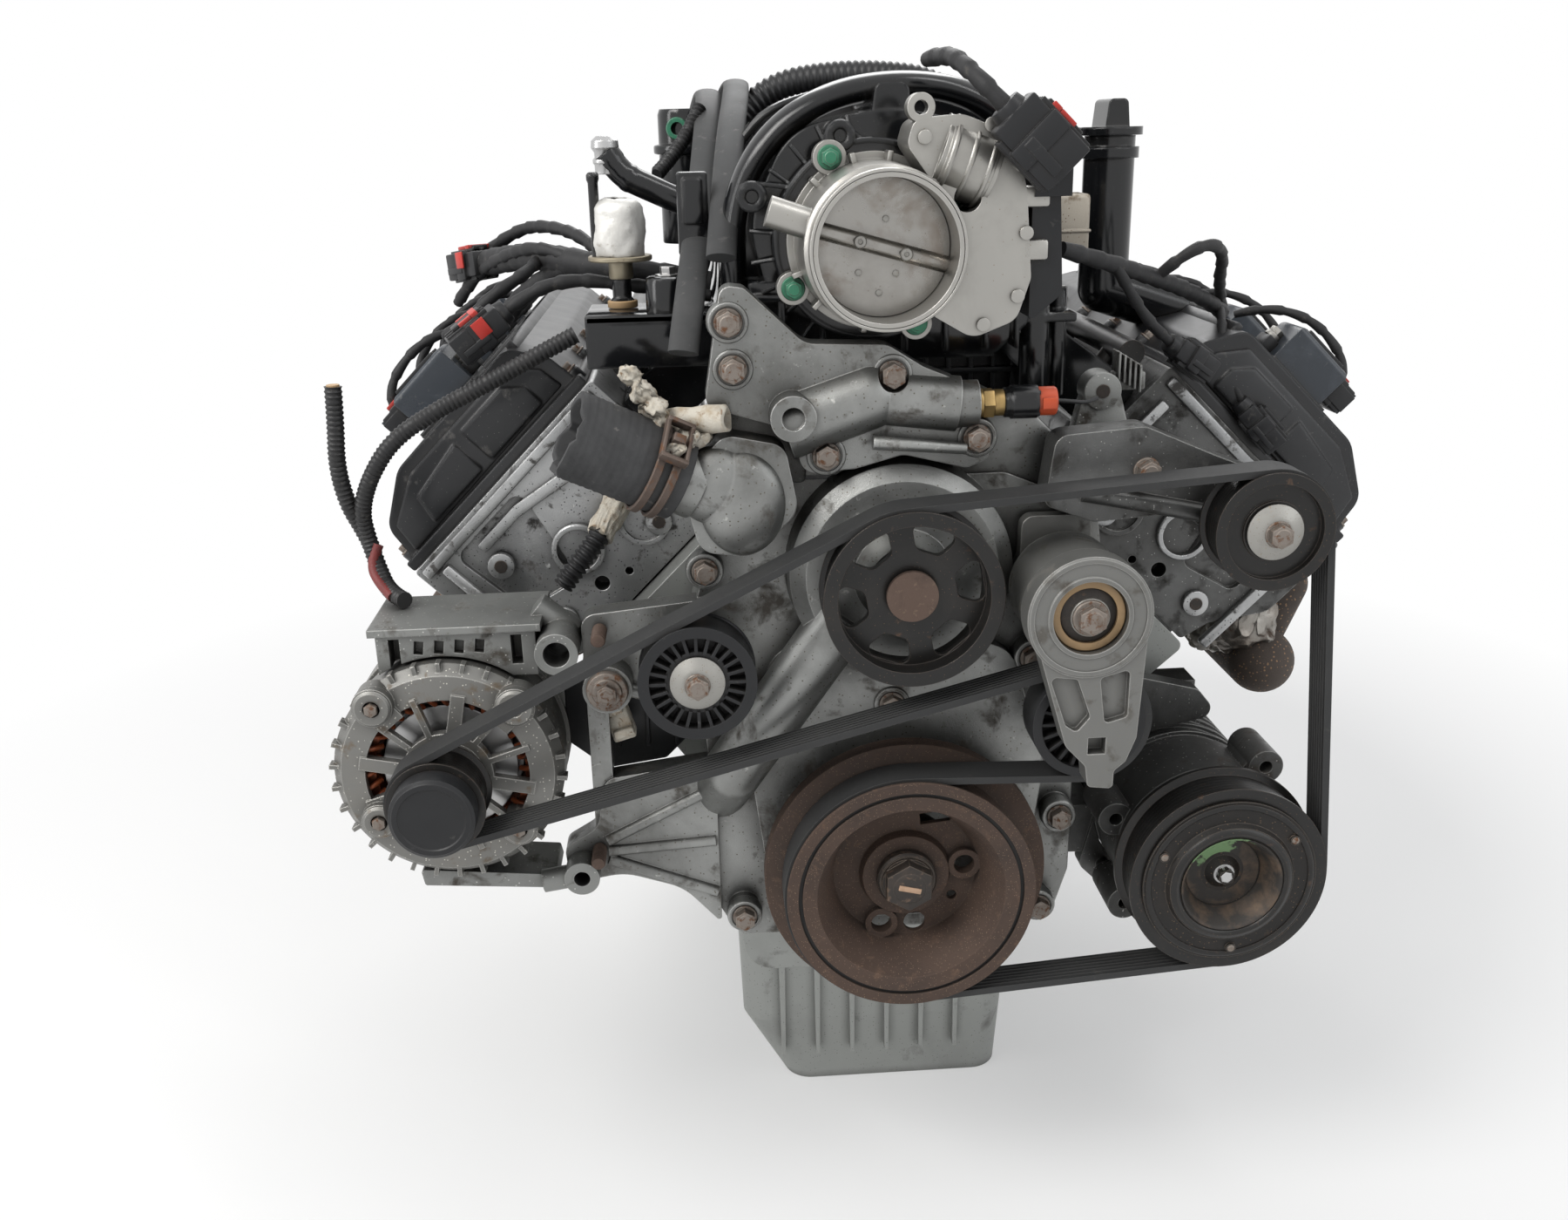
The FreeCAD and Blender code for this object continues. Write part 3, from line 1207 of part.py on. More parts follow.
def intake_manifold():
    """Moulded plenum with eight runners arched over its sides down to the heads."""
    y0, y1 = intake_ends()
    mouth = rod(58.0, y0, y0 + 30, throttle_x, throttle_z)
    pieces = [plenum(0.0), mouth]
    for side in (1, -1):
        for k in range(4):
            pieces.append(runner(side, cylinder_y(side, k)))
        feet = slab([(side * (-head_inner - 1), intake_d() + 19), (side * (-head_inner - 15), intake_d() + 19),
                     (side * (-head_inner - 15), intake_d() - 26), (side * (-head_inner - 1), intake_d() - 26)],
                    bank_front(side) + 12, bank_front(side) + head_length - 12, 4)
        pieces.append(on_bank(feet, side))
    spine = slab([(-14, 470), (-10, intake_top), (10, intake_top), (14, 470)], y0 + 20, y1 - 20, 5)
    bosses = [rod(9.0, y0 + 2, y0 + 24, x, z) for x, z in ((-88, 436), (-34, 470))]
    body = fuse([*pieces, spine, *bosses])
    return body.cut(rod(throttle_bore_r, y0 - 1, y0 + 60, throttle_x, throttle_z))


def runner_shoulder(side):
    """The straight outer edge of a runner, from its port up to where it turns."""
    x_port, z_port = side_point(side, -head_inner - 6, intake_d())
    return vec(x_port + side * 16, 0, z_port + 16), vec(side * (intake_half + 6), 0, 352)


def runner(side, y):
    """One arched runner, a curved slab as wide as the port and rounded at its edges."""
    x_port, z_port = side_point(side, -head_inner - 6, intake_d())
    s = side
    out = intake_half
    start, end = runner_shoulder(side)
    points = [(start.x, start.z), (end.x, end.z), (s * out, 430), (s * (out - 28), 482),
              (s * 20, intake_top - 3), (0, 470), (s * (out - 60), 450), (s * (out - 34), 420),
              (s * (out - 34), 340), (x_port - s * 16, z_port - 16)]
    return slab(points, y - 25, y + 25, [3, 40, 50, 60, 30, 4, 30, 30, 40, 3])


def side_point(side, t, d):
    """World (x, z) of a point t outward from a bank's axis, d from the crank axis."""
    return side * (d * SIN + t * COS), d * COS - t * SIN


def fuel_rails():
    solids = []
    for side in (1, -1):
        x, z = side_point(side, -head_inner - 22, intake_d() + 35)
        rail = rod(9.0, cylinder_y(side, 0) - 40, cylinder_y(side, 3) + 30, x, z)
        start, end = runner_shoulder(side)
        along = (end - start).normalize()
        centre = vec(x, 0, z)
        foot = start + along * (centre - start).dot(along)
        drop = foot - centre
        drop = drop * (1 - 0.3 / drop.Length)
        cups = []
        for k in range(4):
            y = cylinder_y(side, k)
            cups.append(bar(6.5, (x, y, z), (x + drop.x, y, z + drop.z)))
        solids.append(fuse([rail, *cups]))
    return group(solids)


def exhaust_manifold(side):
    x_log, z_log = side_point(side, head_outer + 44, exhaust_d() - 52)
    y_first, y_last = cylinder_y(side, 0) - 22, cylinder_y(side, 3) + 26
    log = rod(25.0, y_first, y_last, x_log, z_log)
    pieces = [log, Part.makeSphere(25.0, vec(x_log, y_first, z_log))]
    for k in range(4):
        y = cylinder_y(side, k)
        face = side_point(side, head_outer + 0.3, exhaust_d())
        bend = side_point(side, head_outer + 20, exhaust_d())
        pieces.append(bar(20.0, (face[0], y, face[1]), (bend[0], y, bend[1])))
        pieces.append(Part.makeSphere(20.0, vec(bend[0], y, bend[1])))
        pieces.append(bar(20.0, (bend[0], y, bend[1]), (x_log, y + 4, z_log)))
        plate = box(-4, 4, -30, 30, -26, 26)
        plate.translate(vec(side * (head_outer + 4.3), y, exhaust_d()))
        pieces.append(on_bank(plate, side))
    down = (x_log - side * 6, y_last - 20, z_log - 96)
    pieces.append(bar(27.0, (x_log, y_last - 26, z_log), down))
    pieces.append(Part.makeCylinder(44.0, 12, vec(*down), vec(-side * 0.06, 0.06, -1)))
    return fuse(pieces)


def exhaust_manifolds():
    return group(exhaust_manifold(side) for side in (1, -1))


def oil_filler():
    """Filler neck standing on the right valve cover."""
    foot = filler_foot()
    x, y, z = foot
    neck = Part.makeCylinder(filler_r, filler_height, foot)
    collar = Part.makeCylinder(filler_r + 3, 8, foot + Z * (filler_height - 16))
    elbow = Part.makeSphere(filler_r, foot)
    spout = bar(filler_r, (x, y, z), (x + 62, y, z - 20))
    neck = fuse([neck, collar, elbow, spout]).cut(Part.makeCylinder(filler_r - 3, filler_height + 8, foot - Z * 2))
    return neck.cut(on_bank(cover_outside(1, 0.3), 1))


def filler_foot():
    """Where the upright neck meets its spout, above the inner edge of the right valve cover."""
    x, z = side_point(1, filler_inset, deck_height + filler_lift)
    return vec(x, -340, z)


def oil_cap():
    rim = filler_foot() + Z * (filler_height + 0.3)
    x, y, z = rim
    disc = Part.makeCylinder(filler_r + 5, 6, rim)
    grip = slab([(x - 9, z + 5.7), (x - 7, z + 25.7), (x + 7, z + 25.7), (x + 9, z + 5.7)], y - 19, y + 19,
                [0, 4, 4, 0])
    plug = Part.makeCylinder(filler_r - 3.1, 24, rim - Z * 22.3)
    return fuse([disc, grip, plug])


# ---------------------------------------------------------------- hoses, looms and small parts

def route(points):
    """Straight runs joined by tangent arcs, each as large as its two runs allow."""
    places = [vec(*p) for p in points]
    edges = []
    start = places[0]
    for before, at, after in zip(places, places[1:], places[2:]):
        back, ahead = before - at, after - at
        reach = 0.45 * min(back.Length, ahead.Length)
        half = back.getAngle(ahead) / 2
        back.normalize()
        ahead.normalize()
        middle = (back + ahead).normalize()
        radius = reach * math.tan(half)
        centre = at + middle * (radius / math.sin(half))
        edges.append(Part.LineSegment(start, at + back * reach))
        edges.append(Part.Arc(at + back * reach, centre - middle * radius, at + ahead * reach))
        start = at + ahead * reach
    edges.append(Part.LineSegment(start, places[-1]))
    return Part.Wire([edge.toShape() for edge in edges])


def hose(r, points):
    """Round line of radius r along a route."""
    path = route(points)
    first = vec(*points[0])
    circle = Part.Wire(Part.makeCircle(r, first, vec(*points[1]) - first))
    return path.makePipeShell([circle], True, False)


loom_r = 6.0
bundle_r = 9.5
coil_loom_r = 7.0
throttle_loom_r = 5.0
lead_r = 4.5
line_r = 7.5
elbow_hose_r = 9.5
corrugated_r = 9.0
shelf_barrel_r = 15.0

left_loom = [(-204, -502, 350), (-232, -508, 337), (-262, -512, 322), (-296, -514, 306), (-326, -515, 288),
             (-344, -513, 264), (-355, -506, 238), (-353, -502, 216), (-347, -508, 197), (-338, -524, 184.4),
             (-325, -540, 184.4)]
cut_loom = [(-363, -506, 322), (-364, -507, 297), (-367, -506.5, 270), (-365, -505, 243)]
bundle = [(-114, -449, 374), (-148, -446, 380), (-180, -448, 386), (-206, -434, 390), (-230, -405, 392),
          (-254, -373, 390), (-279, -340, 384)]
lock_lead = [(-114, -470, 368.8), (-145, -466, 374), (-176, -463, 378), (-206, -464, 382), (-234, -468, 376),
             (-256, -474, 360)]
throttle_loom = [(20, -540, 512), (27, -572, 514), (32, -600, 506), (42, -619, 493), (55, -620, 480)]
right_loom = [(104, -550, 400), (144, -532, 388), (182, -500, 375), (218, -466, 362), (250, -436, 346),
              (267, -400, 336.6), (271, -345, 332.7), (269.4, -280, 333.8), (271, -210, 332.4),
              (269.4, -140, 333.6)]
outer_line = [(-118, -120, 474), (-112, -220, 497), (-107, -330, 504), (-118, -450, 430), (-126, -540, 388),
              (-134, -572, 344)]
elbow_line = [(-181, -440, 462), (-172, -440, 448), (-156, -440, 440), (-129, -440.5, 428)]
inner_line = [(-96, -120, 486), (-90, -220, 504), (-86, -330, 510), (-99, -460, 463), (-108, -545, 398)]


def wiring_harness():
    looms = ((loom_r, left_loom), (loom_r, cut_loom), (bundle_r, bundle), (lead_r, lock_lead),
             (throttle_loom_r, throttle_loom), (coil_loom_r, right_loom))
    return group(hose(r, points) for r, points in looms)


def connector(at, towards, length, width, height):
    """Moulded plug whose back face is centred on a point and whose body runs towards another."""
    body = box(-width / 2, width / 2, 0, length, -height / 2, height / 2)
    body = body.makeFillet(2.0, [e for e in body.Edges if abs(e.Vertexes[0].Y - e.Vertexes[-1].Y) > 1])
    latch = box(-width / 5, width / 5, length * 0.2, length * 0.8, height / 2 - 0.5, height / 2 + 3)
    piece = fuse([body, latch])
    direction = vec(*towards) - vec(*at)
    piece.rotate(ORIGIN, X, math.degrees(math.atan2(direction.z, math.hypot(direction.x, direction.y))))
    piece.rotate(ORIGIN, Z, math.degrees(math.atan2(-direction.x, direction.y)))
    piece.translate(vec(*at))
    return piece


def plug_on(loom, length, width, height):
    """Connector carried on the last run of a loom."""
    before, end = vec(*loom[-2]), vec(*loom[-1])
    return connector(end, end + end - before, length, width, height)


def harness_connectors():
    return group([coolant_sensor(), plug_on(bundle, 40, 30, 22), plug_on(lock_lead, 38, 30, 22),
                  plug_on(throttle_loom, 44, 26, 34)])


def purge_valve():
    """Upright solenoid valve beside the intake with its heat shield, on a moulded shelf."""
    x, y = -173.0, -480.0
    shield = Part.makeCylinder(17.0, 36, vec(x, y, 398)).cut(Part.makeCylinder(15.5, 40, vec(x, y, 395)))
    shield = shield.cut(box(x - 20, x + 20, y + 4, y + 20, 390, 440))
    plate = Part.makeCylinder(21.0, 2, vec(x, y, 396))
    body = Part.makeCylinder(12.0, 34, vec(x, y, 398))
    neck = Part.makeCylinder(6.0, 30, vec(x, y, 368))
    foot = Part.makeCylinder(10.0, 5, vec(x, y, 364.2))
    pipes = [Part.makeCylinder(3.0, 52, vec(x - 15, y + dy, 397)) for dy in (-4, 6)]
    return fuse([shield, plate, body, neck, foot, *pipes])


def breather_lines():
    """Grey lines over the intake's left shoulder, the corrugated cross hose and the elbow hose."""
    z = intake_top + corrugated_r + 1.9
    cross = bar(corrugated_r, (-51, -328, z), (46, -328, z))
    rings = [bar(corrugated_r + 1.6, (x, -328, z), (x + 3, -328, z)) for x in range(-48, 44, 8)]
    x, y = shelf_barrel_xy()
    cylinder = fuse([Part.makeCylinder(shelf_barrel_r, 46, vec(x, y, 340)),
                     Part.makeCylinder(6.0, 6, vec(x, y, 386))])
    x, y = -intake_half - 23.6, -302.0
    canister = fuse([Part.makeCylinder(20.0, 98, vec(x, y, 392)), Part.makeCylinder(24.0, 6, vec(x, y, 458))])
    return group([hose(line_r, outer_line), hose(line_r, inner_line), hose(elbow_hose_r, elbow_line),
                  fuse([cross, *rings]), cylinder, canister])


def shelf_barrel_xy():
    return -142.0, -500.0


def sheet_brackets():
    """Shelf under the purge valve, and the folded steel bracket beside the oil filler."""
    arm = box(-124, -108, -456.1, -425, 358, 364.2)
    neighbour = runner(-1, cylinder_y(-1, 0))
    neighbour.translate(vec(-0.3, 0, 0))
    shelf = fuse([box(-196, -112, -522, -456, 358, 364), box(-196, -112, -522, -518, 330, 364),
                  arm.cut(neighbour)])
    x, y = shelf_barrel_xy()
    shelf = shelf.cut(Part.makeCylinder(shelf_barrel_r + 0.3, 80, vec(x, y, 300)))
    x, y, z = 132.0, -418.0, 385.0
    cup = box(x - 4, x + 22, y - 16, y + 14, z, z + 42)
    cup = cup.cut(box(x - 2.5, x + 20.5, y - 17, y + 12.5, z + 2, z + 43))
    strap = box(intake_half + 4, x - 3.9, y - 10, y - 2, z, z + 20)
    clip = box(-134, -60, -500, -490, 398, 450).cut([plenum(0.3), hose(line_r + 0.3, outer_line),
                                                    hose(line_r + 0.3, inner_line)])
    return group([shelf, fuse([cup, strap]), clip.Solids[0]])


def everything():
    """Every node and its shape, in the order the engine goes together."""
    nodes = {
        "engine_block": engine_block(),
        "main_bearing_caps": main_caps(),
        "crankshaft": crankshaft(),
        "crank_sprocket": crank_sprocket(),
        "connecting_rods": connecting_rods(),
        "pistons": pistons(),
        "camshaft": camshaft(),
        "cam_sprocket": cam_sprocket(),
        "timing_chain": timing_chain(),
        "flexplate": flexplate(),
        "head_gaskets": head_gaskets(),
        "exhaust_manifolds": exhaust_manifolds(),
        "oil_pan": oil_pan(),
        "timing_cover": timing_cover(),
        "front_bolts": front_bolts(),
        "damper_hub": damper_hub(),
        "damper_rubber": damper_rubber(),
        "damper_ring": damper_ring(),
        "crank_bolt": crank_bolt(),
        "water_pump_pulley": pump_pulley(),
        "water_pump_shaft": pump_shaft(),
        "left_idler_pulley": left_idler_pulley(),
        "accessory_bolts": accessory_bolts(),
        "idler_bracket": idler_bracket(),
        "right_idler_pulley": right_idler_pulley(),
        "tensioner_case": tensioner_case(),
        "tensioner_arm": tensioner_arm(),
        "tensioner_pulley": tensioner_pulley(),
        "compressor": compressor(),
        "compressor_bracket": compressor_bracket(),
        "compressor_pulley": compressor_pulley(),
        "compressor_clutch": compressor_clutch(),
        "alternator_housing": alternator_housing(),
        "alternator_bracket": alternator_bracket(),
        "alternator_stator": alternator_stator(),
        "alternator_rotor": alternator_rotor(),
        "alternator_pulley": alternator_pulley(),
        "alternator_cap": alternator_cap(),
        "serpentine_belt": serpentine_belt(),
        "coolant_outlet": coolant_outlet(),
        "wiring_harness": wiring_harness(),
        "harness_connectors": harness_connectors(),
        "purge_valve": purge_valve(),
        "breather_lines": breather_lines(),
        "sheet_brackets": sheet_brackets(),
        "thermostat_housing": thermostat_housing(),
        "radiator_hose": radiator_hose(),
        "hose_clamp": hose_clamp(),
        "throttle_body": throttle_body(),
        "throttle_plate": throttle_plate(),
        "throttle_cover": throttle_cover(),
        "intake_manifold": intake_manifold(),
        "fuel_rails": fuel_rails(),
        "ignition_coils": ignition_coils(),
        "oil_filler_neck": oil_filler(),
        "oil_filler_cap": oil_cap(),
    }
    for side, name in ((1, "right"), (-1, "left")):
        nodes["cylinder_head_" + name] = cylinder_head(side)
        nodes["valve_cover_" + name] = valve_cover(side)
    return nodes


os.makedirs("parts", exist_ok=True)
for node, shape in everything().items():
    save(node, shape)
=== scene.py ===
import math
import random

import bmesh
import bpy
from mathutils import Matrix, Vector, noise


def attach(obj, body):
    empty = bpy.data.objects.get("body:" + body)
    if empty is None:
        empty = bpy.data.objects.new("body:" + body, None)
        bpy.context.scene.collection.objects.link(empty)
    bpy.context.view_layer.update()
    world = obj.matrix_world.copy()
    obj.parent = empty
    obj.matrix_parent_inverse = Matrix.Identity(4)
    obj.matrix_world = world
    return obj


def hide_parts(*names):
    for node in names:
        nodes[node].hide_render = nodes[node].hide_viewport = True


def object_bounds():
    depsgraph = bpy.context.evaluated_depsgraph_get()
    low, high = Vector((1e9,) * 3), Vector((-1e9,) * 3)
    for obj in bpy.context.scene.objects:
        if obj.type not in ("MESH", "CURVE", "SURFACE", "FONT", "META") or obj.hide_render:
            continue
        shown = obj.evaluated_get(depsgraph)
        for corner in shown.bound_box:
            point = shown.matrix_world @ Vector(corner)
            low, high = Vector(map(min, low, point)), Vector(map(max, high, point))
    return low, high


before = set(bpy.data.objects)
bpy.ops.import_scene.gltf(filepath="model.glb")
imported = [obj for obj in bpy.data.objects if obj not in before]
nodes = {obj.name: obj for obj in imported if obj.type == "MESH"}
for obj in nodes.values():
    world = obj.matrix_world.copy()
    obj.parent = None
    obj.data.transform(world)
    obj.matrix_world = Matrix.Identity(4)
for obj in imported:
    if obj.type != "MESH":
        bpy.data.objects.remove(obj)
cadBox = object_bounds()
print("frame loaded:", len(nodes), "nodes")

tornSeed = 1795444431
noise.seed_set(tornSeed)  # torn and crumpled forms come out the same on every run

metre = 0.001  # pieces are drawn in millimetres and scaled once when they are finished
plusY = Vector((0, 1, 0))
plusZ = Vector((0, 0, 1))


def placeAlong(a, b):
    # matrix that puts a shape drawn along +Z, centred on the origin, between two points
    a, b = Vector(a), Vector(b)
    turn = plusZ.rotation_difference(b - a).to_matrix().to_4x4()
    return Matrix.Translation((a + b) / 2) @ turn


def addRod(bm, a, b, radius, endRadius=None, segments=28, bevel=0.0):
    endRadius = radius if endRadius is None else endRadius
    made = bmesh.ops.create_cone(bm, cap_ends=True, segments=segments, radius1=radius, radius2=endRadius,
                                 depth=(Vector(b) - Vector(a)).length, matrix=placeAlong(a, b))
    if bevel:
        rims = {e for v in made["verts"] for e in v.link_edges if len(e.link_faces) == 2
                and any(len(f.verts) > 4 for f in e.link_faces)}
        bevelEdges(bm, rims, bevel)
    return made["verts"]


def bevelEdges(bm, edges, size, segments=2):
    bmesh.ops.bevel(bm, geom=list(edges), offset=size, offset_type="OFFSET", segments=segments, profile=0.5,
                    affect="EDGES", clamp_overlap=True, material=-1)


def addBox(bm, low, high, bevel=0.0, turn=None, segments=2):
    low, high = Vector(low), Vector(high)
    size = high - low
    matrix = Matrix.Translation((low + high) / 2)
    if turn is not None:
        matrix = matrix @ turn
    made = bmesh.ops.create_cube(bm, size=1.0, matrix=matrix @ Matrix.Diagonal((*size, 1.0)))
    if bevel:
        bevelEdges(bm, {e for v in made["verts"] for e in v.link_edges}, bevel, segments)


def addPrism(bm, outline, y0, y1, bevel=0.0):
    # outline of (x, z) points, pushed along Y
    verts = [bm.verts.new((x, y0, z)) for x, z in outline]
    face = bm.faces.new(verts)
    pushed = bmesh.ops.extrude_face_region(bm, geom=[face])
    moved = [v for v in pushed["geom"] if isinstance(v, bmesh.types.BMVert)]
    bmesh.ops.translate(bm, verts=moved, vec=(0, y1 - y0, 0))
    if bevel:
        bevelEdges(bm, {e for v in verts + moved for e in v.link_edges}, bevel)


def addTurned(bm, profile, centre, along=plusY, segments=48, closed=False):
    # profile of (radius, distance along the axis) pairs, spun round a line through centre
    centre, along = Vector(centre), Vector(along).normalized()
    out = along.orthogonal().normalized()
    verts = [bm.verts.new(centre + out * r + along * d) for r, d in profile]
    pairs = list(zip(verts, verts[1:])) + ([(verts[-1], verts[0])] if closed else [])
    edges = [bm.edges.new(pair) for pair in pairs]
    bmesh.ops.spin(bm, geom=verts + edges, cent=centre, axis=along, angle=math.tau, steps=segments,
                   use_merge=True, use_duplicate=False)


def addBolt(bm, at, towards, across, height, washer=None, washerHeight=1.6):
    # flanged hexagon head: at is the centre of its seat, towards the way that it faces
    at, towards = Vector(at), Vector(towards).normalized()
    washer = across * 0.68 if washer is None else washer
    addRod(bm, at, at + towards * washerHeight, washer, washer * 0.93, 28, 0.35)
    addRod(bm, at + towards * washerHeight, at + towards * height, across * 0.577, None, 6, 0.35)
    addRod(bm, at + towards * (height - 0.4), at + towards * (height + 0.25), across * 0.4, across * 0.36, 20)


def wayAt(places, i):
    # direction of a line of places at one of them
    return (places[min(i + 1, len(places) - 1)] - places[max(i - 1, 0)]).normalized()


def addSweep(bm, places, axesOf, wide, thick, segments):
    # oval section along places: axesOf gives its two axes from the way along
    before = None
    for i, point in enumerate(places):
        along = wayAt(places, i)
        place = Matrix((*axesOf(along), along)).transposed().to_4x4() @ Matrix.Diagonal((wide, thick, 1, 1))
        place.translation = point
        ring = bmesh.ops.create_circle(bm, cap_ends=i in (0, len(places) - 1), segments=segments, radius=1.0,
                                       matrix=place)["verts"]
        if before:
            edges = {e for v in before + ring for e in v.link_edges if len(e.link_faces) < 2}
            bmesh.ops.bridge_loops(bm, edges=list(edges))
        before = ring


def addTube(bm, points, radius, segments=14, capped=True):
    # tube through points; radius is a number or a function of the distance along it
    radiusAt = radius if callable(radius) else (lambda distance: radius)
    points = [Vector(p) for p in points]
    tangents = [wayAt(points, i) for i in range(len(points))]
    side = tangents[0].orthogonal().normalized()
    before, distance = None, 0.0
    for i, point in enumerate(points):
        side = (side - tangents[i] * side.dot(tangents[i])).normalized()
        over = tangents[i].cross(side)
        distance += (point - points[i - 1]).length if i else 0.0
        frameAt = Matrix((side, over, tangents[i])).transposed().to_4x4()
        frameAt.translation = point
        made = bmesh.ops.create_circle(bm, cap_ends=False, segments=segments, radius=radiusAt(distance),
                                       matrix=frameAt)
        ring = made["verts"]
        if before:
            edges = {e for v in before + ring for e in v.link_edges if not e.link_faces or e.is_boundary}
            bmesh.ops.bridge_loops(bm, edges=[e for e in edges if e.is_valid])
        elif capped:
            bm.faces.new(ring)
        before = ring
    if capped:
        bm.faces.new(ring)


def smoothRoute(points, resolution=10):
    # points read from a NURBS line through the route
    curve = bpy.data.curves.new("routeLine", "CURVE")
    curve.dimensions = "3D"
    spline = curve.splines.new("NURBS")
    spline.points.add(len(points) - 1)
    for point, place in zip(spline.points, points):
        point.co = (*place, 1.0)
    spline.order_u = 3
    spline.use_endpoint_u = True
    spline.resolution_u = resolution
    holder = bpy.data.objects.new("routeLine", curve)
    line = bpy.data.meshes.new_from_object(holder)
    places = [v.co.copy() for v in line.vertices]
    bpy.data.objects.remove(holder)
    bpy.data.meshes.remove(line)
    bpy.data.curves.remove(curve)
    return places


def evenPlaces(points, step):
    # places every step millimetres along a line
    places = [Vector(points[0])]
    left = step
    for a, b in zip(points, points[1:]):
        a, b = Vector(a), Vector(b)
        length = (b - a).length
        while length > 0 and left <= length:
            a = a + (b - a) * (left / length)
            length -= left
            left = step
            places.append(a.copy())
        left -= length
    return places


def addCord(bm, route, resolution, step, radius, segments=14):
    addTube(bm, evenPlaces(smoothRoute(route, resolution), step), radius, segments)


def joinPart(whole, part, place):
    # moves a part of a form into place and joins it to the whole
    bmesh.ops.transform(part, matrix=place, verts=part.verts)
    shape = bpy.data.meshes.new("part")
    part.to_mesh(shape)
    part.free()
    whole.from_mesh(shape)
    bpy.data.meshes.remove(shape)


def finishPiece(bm, name, look, body="root", sharp=38, merge=0.0005, normals=True):
    # turns an open bmesh in millimetres into a piece of the scene
    if merge:
        bmesh.ops.remove_doubles(bm, verts=bm.verts, dist=merge)
    if normals:
        bmesh.ops.recalc_face_normals(bm, faces=bm.faces)
    bmesh.ops.scale(bm, vec=(metre, metre, metre), verts=bm.verts)
    mesh = bpy.data.meshes.new(name)
    bm.to_mesh(mesh)
    bm.free()
    mesh.shade_smooth()
    mesh.set_sharp_from_angle(angle=math.radians(sharp))
    mesh.materials.append(finishes[look])
    piece = bpy.data.objects.new(name, mesh)
    bpy.context.scene.collection.objects.link(piece)
    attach(piece, body)
    return piece


def openGroup(name, inputs, outputs):
    group = bpy.data.node_groups.new(name, "ShaderNodeTree")
    for label, value in inputs.items():
        kind = "NodeSocketColor" if isinstance(value, tuple) else "NodeSocketFloat"
        socket = group.interface.new_socket(name=label, in_out="INPUT", socket_type=kind)
        socket.default_value = value
    for label, kind in outputs.items():
        group.interface.new_socket(name=label, in_out="OUTPUT", socket_type=kind)
    return group, group.nodes.new("NodeGroupInput"), group.nodes.new("NodeGroupOutput")


def mathNode(tree, operation, a, b=None, clamp=False):
    node = tree.nodes.new("ShaderNodeMath")
    node.operation = operation
    node.use_clamp = clamp
    for socket, value in zip(node.inputs, (a, b)):
        if isinstance(value, (int, float)):
            socket.default_value = value
        elif value is not None:
            tree.links.new(value, socket)
    return node.outputs[0]


def noiseNode(tree, vector, scale, detail=4.0, rough=0.55, distortion=0.0):
    node = tree.nodes.new("ShaderNodeTexNoise")
    node.inputs["Detail"].default_value = detail
    node.inputs["Roughness"].default_value = rough
    node.inputs["Distortion"].default_value = distortion
    tree.links.new(vector, node.inputs["Vector"])
    if isinstance(scale, (int, float)):
        node.inputs["Scale"].default_value = scale
    else:
        tree.links.new(scale, node.inputs["Scale"])
    return node.outputs["Fac"]


def objectCoords(tree):
    return tree.nodes.new("ShaderNodeTexCoord").outputs["Object"]


def makePatches():
    # mask of soft-edged patches: Level is how much of the surface they cover
    tree, given, made = openGroup("patches", {"Scale": 20.0, "Level": 0.4, "Softness": 0.1},
                                  {"Mask": "NodeSocketFloat"})
    field = noiseNode(tree, objectCoords(tree), given.outputs["Scale"], 7.0, 0.62, 0.3)
    start = mathNode(tree, "SUBTRACT", 0.72, mathNode(tree, "MULTIPLY", given.outputs["Level"], 0.44))
    lifted = mathNode(tree, "SUBTRACT", field, start)
    tree.links.new(mathNode(tree, "DIVIDE", lifted, given.outputs["Softness"], True), made.inputs["Mask"])
    return tree


def makeSpecks():
    # small separate spots scattered by cells
    tree, given, made = openGroup("specks", {"Scale": 300.0, "Size": 0.25, "Amount": 0.5},
                                  {"Mask": "NodeSocketFloat"})
    cells = tree.nodes.new("ShaderNodeTexVoronoi")
    tree.links.new(objectCoords(tree), cells.inputs["Vector"])
    tree.links.new(given.outputs["Scale"], cells.inputs["Scale"])
    inside = mathNode(tree, "LESS_THAN", cells.outputs["Distance"], given.outputs["Size"])
    shade = tree.nodes.new("ShaderNodeSeparateColor")
    tree.links.new(cells.outputs["Color"], shade.inputs[0])
    chosen = mathNode(tree, "LESS_THAN", shade.outputs[0], given.outputs["Amount"])
    tree.links.new(mathNode(tree, "MULTIPLY", inside, chosen), made.inputs["Mask"])
    return tree


def makeEdges():
    # worn outer edges, found by rounding the corners of the shape, and painted shade with grime in the inner corners,
    # found by ambient occlusion
    tree, given, made = openGroup("edges", {"Radius": 0.0015, "Grime": 0.006},
                                  {"Wear": "NodeSocketFloat", "ShadeAndDirt": "NodeSocketFloat",
                                   "Normal": "NodeSocketVector"})
    rounded = tree.nodes.new("ShaderNodeBevel")
    rounded.samples = 4
    tree.links.new(given.outputs["Radius"], rounded.inputs["Radius"])
    facing = tree.nodes.new("ShaderNodeNewGeometry")
    dot = tree.nodes.new("ShaderNodeVectorMath")
    dot.operation = "DOT_PRODUCT"
    tree.links.new(rounded.outputs[0], dot.inputs[0])
    tree.links.new(facing.outputs["Normal"], dot.inputs[1])
    bend = mathNode(tree, "SUBTRACT", 1.0, dot.outputs["Value"])
    tree.links.new(mathNode(tree, "MULTIPLY", bend, 6.0, True), made.inputs["Wear"])
    # painted shade: the more a spot is closed in by nearby surfaces, the darker it is, which stands for grime as well
    corners = tree.nodes.new("ShaderNodeAmbientOcclusion")
    corners.samples = 4
    corners.only_local = False
    tree.links.new(given.outputs["Grime"], corners.inputs["Distance"])
    tree.links.new(mathNode(tree, "SUBTRACT", 1.0, corners.outputs["AO"], True), made.inputs["ShadeAndDirt"])
    tree.links.new(rounded.outputs[0], made.inputs["Normal"])
    return tree


